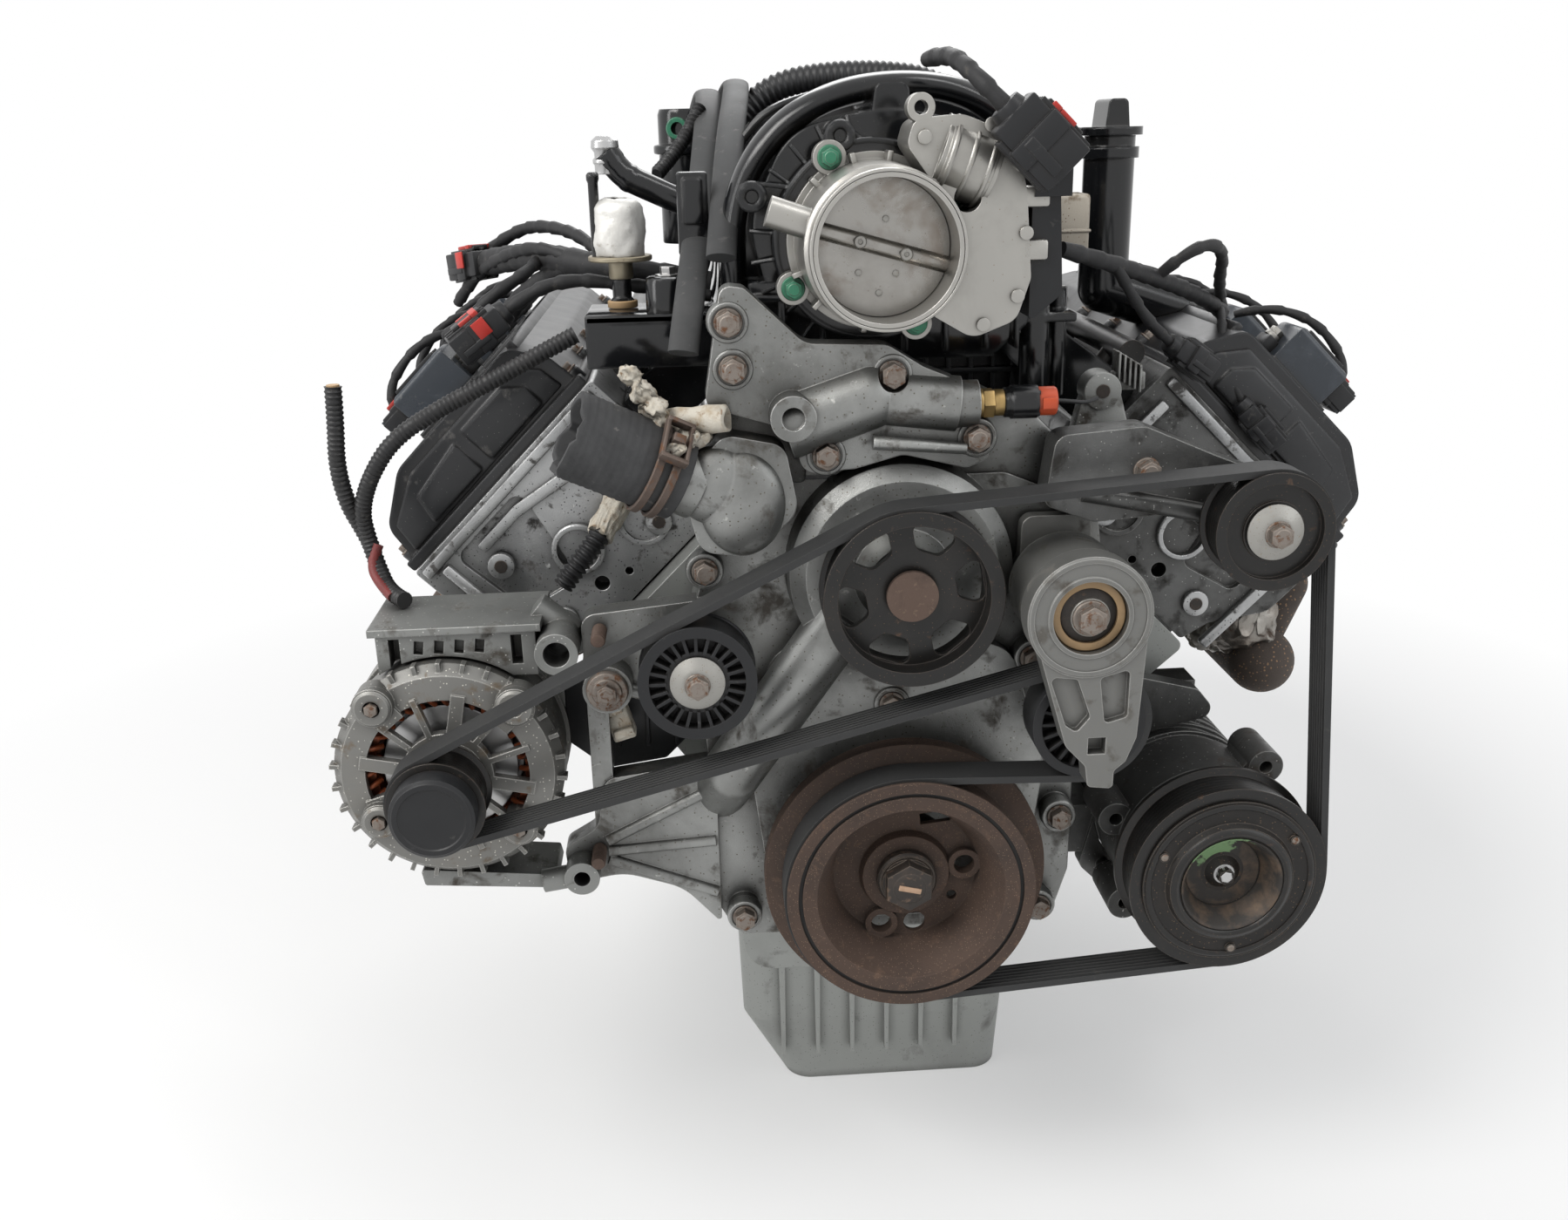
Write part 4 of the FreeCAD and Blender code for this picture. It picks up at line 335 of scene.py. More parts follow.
def makeGrain():
    # cast or moulded skin: coarse waviness and fine sand grain, as a height
    tree, given, made = openGroup("grain", {"Fine": 900.0, "Coarse": 60.0, "Mix": 0.3},
                                  {"Height": "NodeSocketFloat"})
    fine = noiseNode(tree, objectCoords(tree), given.outputs["Fine"], 3.0, 0.7)
    coarse = noiseNode(tree, objectCoords(tree), given.outputs["Coarse"], 3.0, 0.5)
    share = mathNode(tree, "MULTIPLY", coarse, given.outputs["Mix"])
    rest = mathNode(tree, "MULTIPLY", fine, mathNode(tree, "SUBTRACT", 1.0, given.outputs["Mix"]))
    tree.links.new(mathNode(tree, "ADD", share, rest), made.inputs["Height"])
    return tree


groups = {"patches": makePatches(), "specks": makeSpecks(), "edges": makeEdges(), "grain": makeGrain()}


def useGroup(tree, name, **values):
    node = tree.nodes.new("ShaderNodeGroup")
    node.node_tree = groups[name]
    for label, value in values.items():
        node.inputs[label].default_value = value
    return node


def mixColour(tree, factor, a, b, blend="MIX"):
    node = tree.nodes.new("ShaderNodeMix")
    node.data_type = "RGBA"
    node.blend_type = blend
    for socket, value in ((node.inputs[0], factor), (node.inputs[6], a), (node.inputs[7], b)):
        if isinstance(value, (int, float)):
            socket.default_value = value
        elif isinstance(value, tuple):
            socket.default_value = (*value, 1.0)
        else:
            tree.links.new(value, socket)
    return node.outputs[2]


# every finish paints shade with grime into its corners: a colour, an occlusion reach and a level
plainLook = dict(tone=None, stains=(), stainSoft=0.12, speck=None, shadeAndGrimeColour=(0.03, 0.027, 0.024), shadeAndGrimeReach=0.008,
                 shadeAndGrimeLevel=0.7, wear=None, edge=0.0012, rough=0.5, roughStain=0.8, roughSpread=0.1, metallic=0.0,
                 fine=900.0, coarse=60.0, grainMix=0.3, bump=0.12, bumpDistance=0.0006, coat=0.0, specular=0.5)


def finish(name, base, **given):
    # one aged surface: base colour, broad tone, stains, specks, painted shade with grime in corners, worn edges, grain
    look = {**plainLook, **given}
    material = bpy.data.materials.new(name)
    material.use_nodes = True
    tree = material.node_tree
    shader = tree.nodes["Principled BSDF"]
    for label, value in (("Coat Weight", look["coat"]), ("Coat Roughness", 0.12),
                         ("Specular IOR Level", look["specular"])):
        shader.inputs[label].default_value = value
    colour, metal = base, look["metallic"]
    if look["tone"]:
        tone, scale, level = look["tone"]
        mask = useGroup(tree, "patches", Scale=scale, Level=level, Softness=0.3).outputs["Mask"]
        colour = mixColour(tree, mask, colour, tone)
    variation = noiseNode(tree, objectCoords(tree), 45.0, 5.0, 0.6)
    spread = mathNode(tree, "MULTIPLY", mathNode(tree, "SUBTRACT", variation, 0.5), 2.0 * look["roughSpread"])
    rough = mathNode(tree, "ADD", spread, look["rough"], True)
    for stain, scale, level in look["stains"]:
        mask = useGroup(tree, "patches", Scale=scale, Level=level, Softness=look["stainSoft"]).outputs["Mask"]
        colour = mixColour(tree, mask, colour, stain)
        change = mathNode(tree, "MULTIPLY", mask, look["roughStain"] - look["rough"])
        rough = mathNode(tree, "ADD", rough, change, True)
        if look["metallic"]:
            bare = mathNode(tree, "SUBTRACT", 1.0, mathNode(tree, "MULTIPLY", mask, 0.8))
            metal = mathNode(tree, "MULTIPLY", metal, bare)
    if look["speck"]:
        speck, scale, size, amount = look["speck"]
        mask = useGroup(tree, "specks", Scale=scale, Size=size, Amount=amount).outputs["Mask"]
        colour = mixColour(tree, mask, colour, speck)
    edges = useGroup(tree, "edges", Radius=look["edge"], Grime=look["shadeAndGrimeReach"]).outputs
    if look["wear"]:
        worn, level = look["wear"]
        colour = mixColour(tree, mathNode(tree, "MULTIPLY", edges["Wear"], level), colour, worn)
    # painted shade: corners and recesses are darkened by ambient occlusion, which stands for grime as well
    colour = mixColour(tree, mathNode(tree, "MULTIPLY", edges["ShadeAndDirt"], look["shadeAndGrimeLevel"]), colour, look["shadeAndGrimeColour"])
    height = useGroup(tree, "grain", Fine=look["fine"], Coarse=look["coarse"], Mix=look["grainMix"])
    bump = tree.nodes.new("ShaderNodeBump")
    bump.inputs["Strength"].default_value = look["bump"]
    bump.inputs["Distance"].default_value = look["bumpDistance"]
    tree.links.new(height.outputs["Height"], bump.inputs["Height"])
    tree.links.new(edges["Normal"], bump.inputs["Normal"])
    tree.links.new(bump.outputs["Normal"], shader.inputs["Normal"])
    tree.links.new(colour, shader.inputs["Base Color"])
    tree.links.new(rough, shader.inputs["Roughness"])
    if isinstance(metal, (int, float)):
        shader.inputs["Metallic"].default_value = metal
    else:
        tree.links.new(metal, shader.inputs["Metallic"])
    return material


rust = (0.14, 0.062, 0.028)
oldRust = (0.085, 0.045, 0.026)
paleCrust = (0.62, 0.58, 0.5)

# colours, sizes and strengths of each finish: tone is (colour, scale, level), each stain the same,
# speck is (colour, scale, size, amount) and wear is (colour, level)
looks = {
    "castFront": dict(
        base=(0.33, 0.335, 0.325), tone=((0.17, 0.172, 0.165), 11.0, 0.8),
        stains=[((0.075, 0.066, 0.055), 38.0, 0.38), ((0.6, 0.6, 0.57), 130.0, 0.16)],
        speck=((0.13, 0.12, 0.1), 420.0, 0.22, 0.3), wear=((0.72, 0.72, 0.7), 0.7), rough=0.36, roughStain=0.62,
        metallic=0.8, bump=0.4, fine=1100.0, shadeAndGrimeReach=0.022, shadeAndGrimeLevel=1.0),
    "castHead": dict(
        base=(0.46, 0.465, 0.465), tone=((0.28, 0.285, 0.29), 13.0, 0.7),
        stains=[((0.12, 0.115, 0.11), 75.0, 0.34), ((0.75, 0.75, 0.74), 200.0, 0.2)],
        speck=((0.1, 0.1, 0.1), 480.0, 0.24, 0.3), wear=((0.85, 0.85, 0.84), 0.5), stainSoft=0.09, rough=0.36,
        metallic=0.8, bump=0.45, fine=800.0, shadeAndGrimeReach=0.02, shadeAndGrimeLevel=1.0),
    "castPan": dict(
        base=(0.34, 0.35, 0.335), tone=((0.25, 0.255, 0.245), 10.0, 0.5), stains=[((0.2, 0.2, 0.19), 26.0, 0.25)],
        speck=((0.2, 0.2, 0.19), 500.0, 0.2, 0.25), wear=((0.62, 0.62, 0.6), 0.4), metallic=0.6, bump=0.25),
    "castBracket": dict(
        base=(0.27, 0.275, 0.265), tone=((0.15, 0.152, 0.147), 9.0, 0.5),
        stains=[((0.08, 0.07, 0.058), 44.0, 0.36)], speck=((0.6, 0.6, 0.57), 420.0, 0.2, 0.2),
        wear=((0.62, 0.62, 0.6), 0.45), metallic=0.75, bump=0.35, shadeAndGrimeReach=0.018, shadeAndGrimeLevel=1.0),
    "castAlternator": dict(
        base=(0.206, 0.204, 0.193), tone=((0.22, 0.21, 0.19), 24.0, 0.5), stains=[((0.16, 0.12, 0.08), 60.0, 0.3)],
        speck=((0.62, 0.6, 0.54), 500.0, 0.22, 0.25), wear=((0.75, 0.74, 0.7), 0.6), rough=0.46, metallic=0.7,
        bump=0.26, shadeAndGrimeReach=0.012, shadeAndGrimeLevel=0.9),
    "tensionerCast": dict(
        base=(0.194, 0.194, 0.185), tone=((0.17, 0.17, 0.16), 9.0, 0.5), stains=[((0.11, 0.1, 0.086), 45.0, 0.34)],
        speck=((0.2, 0.19, 0.17), 450.0, 0.2, 0.3), wear=((0.66, 0.65, 0.62), 0.6), metallic=0.65, bump=0.3),
    "satinAluminium": dict(
        base=(0.4, 0.39, 0.365), tone=((0.29, 0.28, 0.26), 15.0, 0.5), stains=[((0.36, 0.31, 0.24), 30.0, 0.12)],
        speck=((0.3, 0.27, 0.22), 380.0, 0.14, 0.2), wear=((0.8, 0.79, 0.76), 0.4), rough=0.34, metallic=0.85,
        bump=0.08, edge=0.0008, shadeAndGrimeLevel=0.55),
    "machined": dict(
        base=(0.5, 0.5, 0.5), tone=((0.38, 0.37, 0.35), 9.0, 0.5), rough=0.32, metallic=0.9, bump=0.06),
    "castIron": dict(
        base=(0.085, 0.068, 0.058), tone=((0.045, 0.037, 0.032), 9.0, 0.5), stains=[(rust, 30.0, 0.3)],
        speck=((0.32, 0.2, 0.12), 420.0, 0.3, 0.4), rough=0.8, metallic=0.25, bump=0.5),
    "rustyDamper": dict(
        base=(0.082, 0.053, 0.04), tone=((0.05, 0.035, 0.029), 16.0, 0.6),
        stains=[((0.12, 0.074, 0.051), 120.0, 0.32)], speck=((0.22, 0.15, 0.1), 850.0, 0.24, 0.35),
        wear=((0.17, 0.11, 0.08), 0.4), rough=0.72, roughStain=0.85, metallic=0.3, bump=0.55, fine=700.0,
        shadeAndGrimeLevel=0.8, shadeAndGrimeReach=0.012),
    "rustyBolt": dict(
        base=(0.24, 0.21, 0.185), tone=((0.15, 0.11, 0.085), 120.0, 0.5), stains=[(rust, 260.0, 0.45)],
        wear=((0.5, 0.42, 0.35), 0.5), metallic=0.7, bump=0.35, edge=0.0006),
    "greenBolt": dict(
        base=(0.05, 0.22, 0.13), tone=((0.03, 0.13, 0.085), 150.0, 0.5), stains=[((0.3, 0.29, 0.25), 250.0, 0.26)],
        wear=((0.36, 0.36, 0.32), 0.5), rough=0.42, metallic=0.45, bump=0.2, edge=0.0005),
    "brightCap": dict(
        base=(0.34, 0.332, 0.31), tone=((0.29, 0.28, 0.26), 90.0, 0.5), stains=[((0.33, 0.27, 0.2), 160.0, 0.22)],
        speck=((0.2, 0.16, 0.12), 900.0, 0.2, 0.3), rough=0.42, metallic=0.75, bump=0.2, edge=0.0006),
    "rubber": dict(
        base=(0.018, 0.018, 0.019), tone=((0.03, 0.03, 0.03), 30.0, 0.5),
        stains=[((0.06, 0.058, 0.055), 160.0, 0.2)], wear=((0.06, 0.06, 0.058), 0.4), rough=0.6, specular=0.35,
        bump=0.15, edge=0.0006),
    "hoseRubber": dict(
        base=(0.04, 0.0405, 0.042), tone=((0.075, 0.076, 0.078), 26.0, 0.6),
        stains=[((0.2, 0.19, 0.175), 90.0, 0.22)], rough=0.62, specular=0.35, bump=0.3, fine=600.0),
    "gloss": dict(
        base=(0.006, 0.0065, 0.0075), tone=((0.01, 0.0105, 0.012), 9.0, 0.5),
        stains=[((0.045, 0.043, 0.04), 70.0, 0.1)], speck=((0.12, 0.115, 0.105), 700.0, 0.12, 0.16),
        wear=((0.035, 0.036, 0.037), 0.4), rough=0.13, roughStain=0.45, roughSpread=0.05, bump=0.05,
        bumpDistance=0.001, coarse=25.0, grainMix=0.8, edge=0.0025),
    "coverGloss": dict(
        base=(0.01, 0.0105, 0.012), tone=((0.022, 0.0235, 0.026), 12.0, 0.5),
        stains=[((0.1, 0.095, 0.09), 60.0, 0.2)], speck=((0.16, 0.155, 0.145), 600.0, 0.14, 0.2), rough=0.36,
        roughStain=0.5, bump=0.1, edge=0.003, coarse=30.0, grainMix=0.7),
    "moulded": dict(
        base=(0.014, 0.0145, 0.016), tone=((0.024, 0.0245, 0.026), 9.0, 0.5),
        stains=[((0.075, 0.072, 0.068), 120.0, 0.2)], wear=((0.05, 0.05, 0.052), 0.5), rough=0.42, specular=0.35,
        edge=0.0007),
    "coil": dict(
        base=(0.035, 0.042, 0.052), tone=((0.06, 0.07, 0.084), 50.0, 0.5),
        stains=[((0.12, 0.12, 0.12), 150.0, 0.22)], wear=((0.1, 0.11, 0.12), 0.8), rough=0.3, specular=0.45,
        bump=0.1),
    "greyLine": dict(
        base=(0.045, 0.046, 0.047), tone=((0.07, 0.07, 0.07), 18.0, 0.5),
        stains=[((0.14, 0.135, 0.13), 110.0, 0.25)], rough=0.6, specular=0.35, bump=0.2, edge=0.0008),
    "blackSteel": dict(
        base=(0.014, 0.0135, 0.013), tone=((0.028, 0.024, 0.021), 22.0, 0.5),
        stains=[((0.09, 0.052, 0.032), 95.0, 0.2)], speck=((0.16, 0.1, 0.06), 700.0, 0.16, 0.2),
        wear=((0.13, 0.1, 0.08), 0.5), rough=0.34, roughStain=0.75, metallic=0.3, bump=0.15, edge=0.0009),
    "clutch": dict(
        base=(0.014, 0.0125, 0.0115), tone=((0.028, 0.022, 0.018), 26.0, 0.6),
        stains=[((0.075, 0.048, 0.032), 85.0, 0.24)], speck=((0.2, 0.13, 0.08), 600.0, 0.2, 0.3),
        wear=((0.2, 0.17, 0.14), 0.6), metallic=0.35, bump=0.3, edge=0.0009),
    "windings": dict(
        base=(0.42, 0.1, 0.03), tone=((0.26, 0.05, 0.02), 60.0, 0.5), stains=[((0.06, 0.03, 0.02), 90.0, 0.35)],
        rough=0.35, metallic=0.3, bump=0.4, coarse=300.0, grainMix=0.7),
    "shield": dict(
        base=(0.74, 0.73, 0.7), tone=((0.58, 0.57, 0.54), 45.0, 0.6), stains=[((0.36, 0.33, 0.29), 110.0, 0.25)],
        rough=0.42, metallic=0.35, bump=0.7, bumpDistance=0.0012, coarse=95.0, grainMix=0.8),
    "tanPlate": dict(
        base=(0.42, 0.38, 0.32), tone=((0.32, 0.28, 0.23), 30.0, 0.5), stains=[((0.2, 0.15, 0.1), 75.0, 0.3)],
        speck=((0.14, 0.09, 0.06), 500.0, 0.2, 0.3), metallic=0.4, bump=0.3),
    "brass": dict(
        base=(0.42, 0.29, 0.12), tone=((0.3, 0.2, 0.09), 90.0, 0.5), rough=0.38, metallic=0.85, bump=0.1,
        edge=0.0005),
    "redLock": dict(
        base=(0.5, 0.03, 0.02), tone=((0.4, 0.025, 0.018), 80.0, 0.5), rough=0.38, bump=0.05, edge=0.0005),
    "orangeCollar": dict(
        base=(0.62, 0.09, 0.03), tone=((0.5, 0.06, 0.02), 80.0, 0.5), rough=0.4, bump=0.08, edge=0.0005),
    "crust": dict(
        base=paleCrust, tone=((0.42, 0.33, 0.22), 120.0, 0.6), stains=[((0.25, 0.16, 0.09), 200.0, 0.35)],
        rough=0.85, bump=0.9, bumpDistance=0.0015, coarse=160.0, fine=500.0, grainMix=0.6),
    "beltRubber": dict(
        base=(0.028, 0.0285, 0.029), tone=((0.042, 0.0425, 0.042), 20.0, 0.5),
        stains=[((0.075, 0.072, 0.068), 130.0, 0.16)], wear=((0.12, 0.12, 0.115), 0.8), rough=0.55, roughStain=0.75,
        specular=0.4, edge=0.0003, shadeAndGrimeLevel=0.5, shadeAndGrimeReach=0.004),
    "grooveSteel": dict(
        base=(0.02, 0.02, 0.02), tone=((0.035, 0.032, 0.03), 30.0, 0.5), stains=[((0.09, 0.07, 0.055), 120.0, 0.2)],
        rough=0.36, metallic=0.4, bump=0.1, edge=0.0003, shadeAndGrimeLevel=0.6, shadeAndGrimeReach=0.004),
    "boltBlack": dict(
        base=(0.04, 0.034, 0.03), tone=((0.07, 0.052, 0.042), 70.0, 0.5), stains=[((0.15, 0.1, 0.07), 160.0, 0.35)],
        wear=((0.22, 0.17, 0.13), 0.8), metallic=0.4, bump=0.3, edge=0.0008),
    "tanBush": dict(
        base=(0.5, 0.33, 0.17), tone=((0.38, 0.25, 0.13), 80.0, 0.5), stains=[((0.2, 0.14, 0.09), 160.0, 0.2)],
        bump=0.15, edge=0.0005),
    "tanMark": dict(
        base=(0.5, 0.33, 0.22), tone=((0.36, 0.22, 0.14), 200.0, 0.5), rough=0.6, metallic=0.2, bump=0.2,
        edge=0.0003),
    "tape": dict(
        base=(0.016, 0.016, 0.017), tone=((0.03, 0.03, 0.031), 40.0, 0.5),
        stains=[((0.075, 0.07, 0.065), 150.0, 0.24)], rough=0.58, specular=0.35, bump=0.5, fine=700.0, edge=0.0003,
        shadeAndGrimeLevel=0.5),
    "conduit": dict(
        base=(0.018, 0.018, 0.019), tone=((0.032, 0.031, 0.03), 30.0, 0.5),
        stains=[((0.09, 0.085, 0.078), 140.0, 0.26)], rough=0.46, specular=0.35, bump=0.15, edge=0.0003,
        shadeAndGrimeLevel=0.6),
    "redSleeve": dict(
        base=(0.16, 0.02, 0.018), tone=((0.08, 0.02, 0.02), 90.0, 0.5), rough=0.55, bump=0.6, edge=0.0003),
    "brassPlate": dict(
        base=(0.34, 0.3, 0.22), tone=((0.24, 0.2, 0.14), 60.0, 0.5), stains=[((0.16, 0.11, 0.07), 140.0, 0.25)],
        rough=0.4, metallic=0.7, bump=0.15, edge=0.0004),
    # cast aluminium painted darker as shade: a shaded copy for the castings on the right, away from the key lamp
    "castPaintedShade": dict(
        base=(0.17, 0.172, 0.17), tone=((0.075, 0.075, 0.073), 10.0, 0.85),
        stains=[((0.03, 0.028, 0.025), 40.0, 0.42)], speck=((0.4, 0.4, 0.38), 500.0, 0.18, 0.18),
        wear=((0.45, 0.45, 0.43), 0.6), rough=0.38, metallic=0.75, bump=0.35, shadeAndGrimeReach=0.02, shadeAndGrimeLevel=1.0),
    "foil": dict(
        base=(0.3, 0.285, 0.26), tone=((0.16, 0.13, 0.105), 26.0, 0.7), stains=[((0.09, 0.06, 0.042), 60.0, 0.38)],
        rough=0.34, metallic=0.8, bump=0.8, bumpDistance=0.0014, coarse=110.0, grainMix=0.8),
    "compressorCast": dict(
        base=(0.12, 0.12, 0.117), tone=((0.05, 0.05, 0.048), 14.0, 0.7), stains=[((0.06, 0.05, 0.042), 40.0, 0.35)],
        speck=((0.45, 0.44, 0.42), 420.0, 0.2, 0.2), wear=((0.5, 0.5, 0.48), 0.5), rough=0.48, metallic=0.6,
        bump=0.3),
    "rustyShaft": dict(
        base=(0.12, 0.08, 0.062), tone=((0.075, 0.05, 0.04), 80.0, 0.5), stains=[((0.2, 0.14, 0.1), 220.0, 0.3)],
        rough=0.65, metallic=0.3, bump=0.4, edge=0.0006),
    "throttleDisc": dict(
        base=(0.33, 0.32, 0.3), tone=((0.22, 0.205, 0.185), 20.0, 0.5), stains=[((0.19, 0.125, 0.08), 22.0, 0.42)],
        speck=((0.2, 0.18, 0.15), 420.0, 0.14, 0.25), stainSoft=0.3, rough=0.25, roughStain=0.4, metallic=0.95,
        bump=0.06, edge=0.0005),
    "clampSteel": dict(
        base=(0.12, 0.09, 0.075), tone=((0.075, 0.05, 0.04), 60.0, 0.5), stains=[(rust, 130.0, 0.42)],
        wear=((0.3, 0.24, 0.2), 0.8), rough=0.55, metallic=0.5, bump=0.3, edge=0.0007),
}
finishes = {name: finish(name, **look) for name, look in looks.items()}
print("finishes made:", len(finishes))

nodeFinish = {
    "castFront": ["timing_cover", "coolant_outlet", "thermostat_housing"],
    "castHead": ["cylinder_head_left"],
    # painted shade: the right-hand castings take the darker shaded copy of the cast aluminium
    "castPaintedShade": ["cylinder_head_right", "idler_bracket", "compressor_bracket"],
    "castPan": ["oil_pan", "engine_block"],
    "compressorCast": ["compressor"],
    "castBracket": ["alternator_bracket"],
    "castAlternator": ["alternator_housing"],
    "tensionerCast": ["tensioner_arm", "tensioner_case"],
    "satinAluminium": ["throttle_body"],
    "throttleDisc": ["throttle_plate"],
    "machined": ["crankshaft", "crank_sprocket", "connecting_rods", "camshaft", "cam_sprocket", "timing_chain",
                 "flexplate", "alternator_rotor", "pistons", "head_gaskets"],
    "castIron": ["exhaust_manifolds", "main_bearing_caps"],
    "rustyDamper": ["damper_hub", "damper_ring"],
    "rustyShaft": ["water_pump_shaft"],
    "rustyBolt": ["crank_bolt", "accessory_bolts", "front_bolts"],
    "rubber": ["damper_rubber", "serpentine_belt"],
    "hoseRubber": ["radiator_hose"],
    "clampSteel": ["hose_clamp"],
    "gloss": ["intake_manifold", "oil_filler_neck", "oil_filler_cap"],
    "coverGloss": ["valve_cover_left", "valve_cover_right"],
    "moulded": ["left_idler_pulley", "tensioner_pulley", "throttle_cover", "harness_connectors",
                "wiring_harness", "alternator_cap"],
    "coil": ["ignition_coils"],
    "greyLine": ["breather_lines"],
    "blackSteel": ["fuel_rails", "water_pump_pulley", "right_idler_pulley", "compressor_pulley", "alternator_pulley"],
    "clutch": ["compressor_clutch"],
    "windings": ["alternator_stator"],
    "shield": ["purge_valve"],
    "tanPlate": ["sheet_brackets"],
}
for finishName, dressed in nodeFinish.items():
    for nodeName in dressed:
        nodes[nodeName].material_slots[0].material = finishes[finishName]
print("nodes dressed:", sum(len(dressed) for dressed in nodeFinish.values()))


paintArc = {"x": 0.2102, "turn": 2.75, "half": 0.75, "edge": 5.0, "ripple": 1.6, "rippleScale": 220.0,
            "colour": (0.2, 0.33, 0.16)}


def makeClutchPaint():
    # dark floor of the cup with a worn arc of green paint and tan rust round it
    material = finish("clutchPaint", (0.03, 0.026, 0.023), tone=((0.15, 0.1, 0.066), 60.0, 0.6), rough=0.6,
                      metallic=0.2, bump=0.3, edge=0.0004)
    tree = material.node_tree
    shader = tree.nodes["Principled BSDF"]
    place = tree.nodes.new("ShaderNodeSeparateXYZ")
    tree.links.new(objectCoords(tree), place.inputs[0])
    across = mathNode(tree, "SUBTRACT", place.outputs[0], paintArc["x"])
    angle = mathNode(tree, "ARCTAN2", place.outputs[2], across)
    field = noiseNode(tree, objectCoords(tree), paintArc["rippleScale"], 4.0, 0.6)
    ripple = mathNode(tree, "MULTIPLY", field, paintArc["ripple"])
    turned = mathNode(tree, "SUBTRACT", mathNode(tree, "ADD", angle, ripple), paintArc["turn"])
    off = mathNode(tree, "ABSOLUTE", turned)
    arc = mathNode(tree, "MULTIPLY", mathNode(tree, "SUBTRACT", paintArc["half"], off), paintArc["edge"], True)
    before = shader.inputs["Base Color"].links[0].from_socket
    tree.links.new(mixColour(tree, arc, before, paintArc["colour"]), shader.inputs["Base Color"])
    return material


finishes["clutchPaint"] = makeClutchPaint()


belt = {"front": -637.0, "width": 24.0, "thickness": 4.6, "ribs": 7, "gap": 0.15, "groove": 1.9}
wheels = {  # x, z, rim radius, rim lip, side of the belt that it meets
    "damper": (0, 0, 81.7, 3.2, 1), "tensioner": (111.5, 116, 36, 0, -1), "alternator": (-299, 80, 31, 3.2, 1),
    "leftIdler": (-133.2, 155.7, 36.7, 1.2, 1), "pump": (0, 203.3, 55.6, 3.2, 1),
    "rightIdler": (219.6, 237.5, 37, 3.2, 1), "compressor": (210.2, 0, 66.2, 3.2, 1)}


def beltLine():
    # middle of the belt as (point, outward direction): straight runs joined by arcs round the wheels
    half = belt["thickness"] / 2 + belt["gap"]
    rounds = [(Vector((x, z)), r - lip + half, side) for x, z, r, lip, side in wheels.values()]
    leave, arrive = {}, {}
    for i, (centre, r, side) in enumerate(rounds):
        after = (i + 1) % len(rounds)
        nextCentre, nextR, nextSide = rounds[after]
        gap = nextCentre - centre
        along = gap.normalized()
        lean = (side * r - nextSide * nextR) / gap.length
        normal = Vector((-along.y, along.x)) * math.sqrt(1 - lean * lean) + along * lean
        leave[i], arrive[after] = normal * side, normal * nextSide
    line = []
    for i, (centre, r, side) in enumerate(rounds):
        start, end = (math.atan2(out.x, out.y) for out in (arrive[i], leave[i]))
        sweep = (side * (end - start)) % math.tau
        steps = max(3, int(sweep / math.radians(5)))
        for k in range(steps + 1):
            angle = start + side * sweep * k / steps
            out = Vector((math.sin(angle), math.cos(angle)))
            line.append((centre + out * r, out * side))
    return line


def makeBelt():
    y0, y1 = belt["front"], belt["front"] + belt["width"]
    half, pitch = belt["thickness"] / 2, belt["width"] / belt["ribs"]
    section = [(-half, y0 + 0.2)]
    for k in range(belt["ribs"]):
        start = y0 + pitch * k
        section += [(-half, start + pitch * 0.26), (-half, start + pitch * 0.74),
                    (-half + belt["groove"], start + pitch * 0.97)]
    section[-1] = (-half, y1 - 0.2)
    section += [(half, y1 - 0.2), (half, y0 + 0.2)]
    line = beltLine()
    bm = bmesh.new()
    loops = []
    for point, out in line:
        loops.append([bm.verts.new((point.x + out.x * s, y, point.y + out.y * s)) for s, y in section])
    for a, b in zip(loops, loops[1:] + loops[:1]):
        edgesA = [bm.edges.get(pair) or bm.edges.new(pair) for pair in zip(a, a[1:] + a[:1])]
        edgesB = [bm.edges.get(pair) or bm.edges.new(pair) for pair in zip(b, b[1:] + b[:1])]
        bmesh.ops.bridge_loops(bm, edges=edgesA + edgesB)
    piece = finishPiece(bm, "ribbedBelt", "beltRubber", sharp=30, merge=0)
    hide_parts("serpentine_belt")


def addGrooves(bm, name, front, count=7):
    # ridged seat of a belt wheel, filling its plain seat
    x, z, r, lip, _ = wheels[name]
    seat = r - lip
    pitch = belt["width"] / count
    profile = [(seat - 0.6, front - 0.3)]
    for k in range(count):
        start = front + pitch * k
        profile += [(seat + 0.1, start + 0.1), (seat - 0.55, start + pitch * 0.5), (seat + 0.1, start + pitch - 0.1)]
    profile += [(seat - 0.6, front + belt["width"] + 0.3)]
    addTurned(bm, profile, (x, 0, z), segments=96)


def makeWheelDetails():
    for name, body in (("alternator", "alternator_rotating"), ("rightIdler", "right_idler"),
                       ("compressor", "compressor_drive"), ("damper", "crank"), ("pump", "water_pump")):
        bm = bmesh.new()
        addGrooves(bm, name, belt["front"])
        look, slot = (("rustyDamper", "rusty_iron") if name == "damper" else ("grooveSteel", "black_steel"))
        finishPiece(bm, f"{name}Grooves", look, body, sharp=20, normals=False)


leftIdler, rightIdler = wheels["leftIdler"][:2], wheels["rightIdler"][:2]
pivot = {"x": 101.0, "z": 197.0}
boltFaces = {"coverFront": -577.0, "outletFront": -588.0, "bracketFront": -596.0, "throttleFront": -564.0}
coverBolts = [(-108, -46), (-126, 208), (-5, 110), (89, 139), (131, 160), (-120, 120), (112, 20), (100, -50)]
outletBolts = [(-106, 366), (-104, 338), (-7, 332), (-48, 283), (46, 291)]
throttle = {"x": -15.4, "z": 408.5, "boltCircle": 56.0, "boltStart": -28.0}


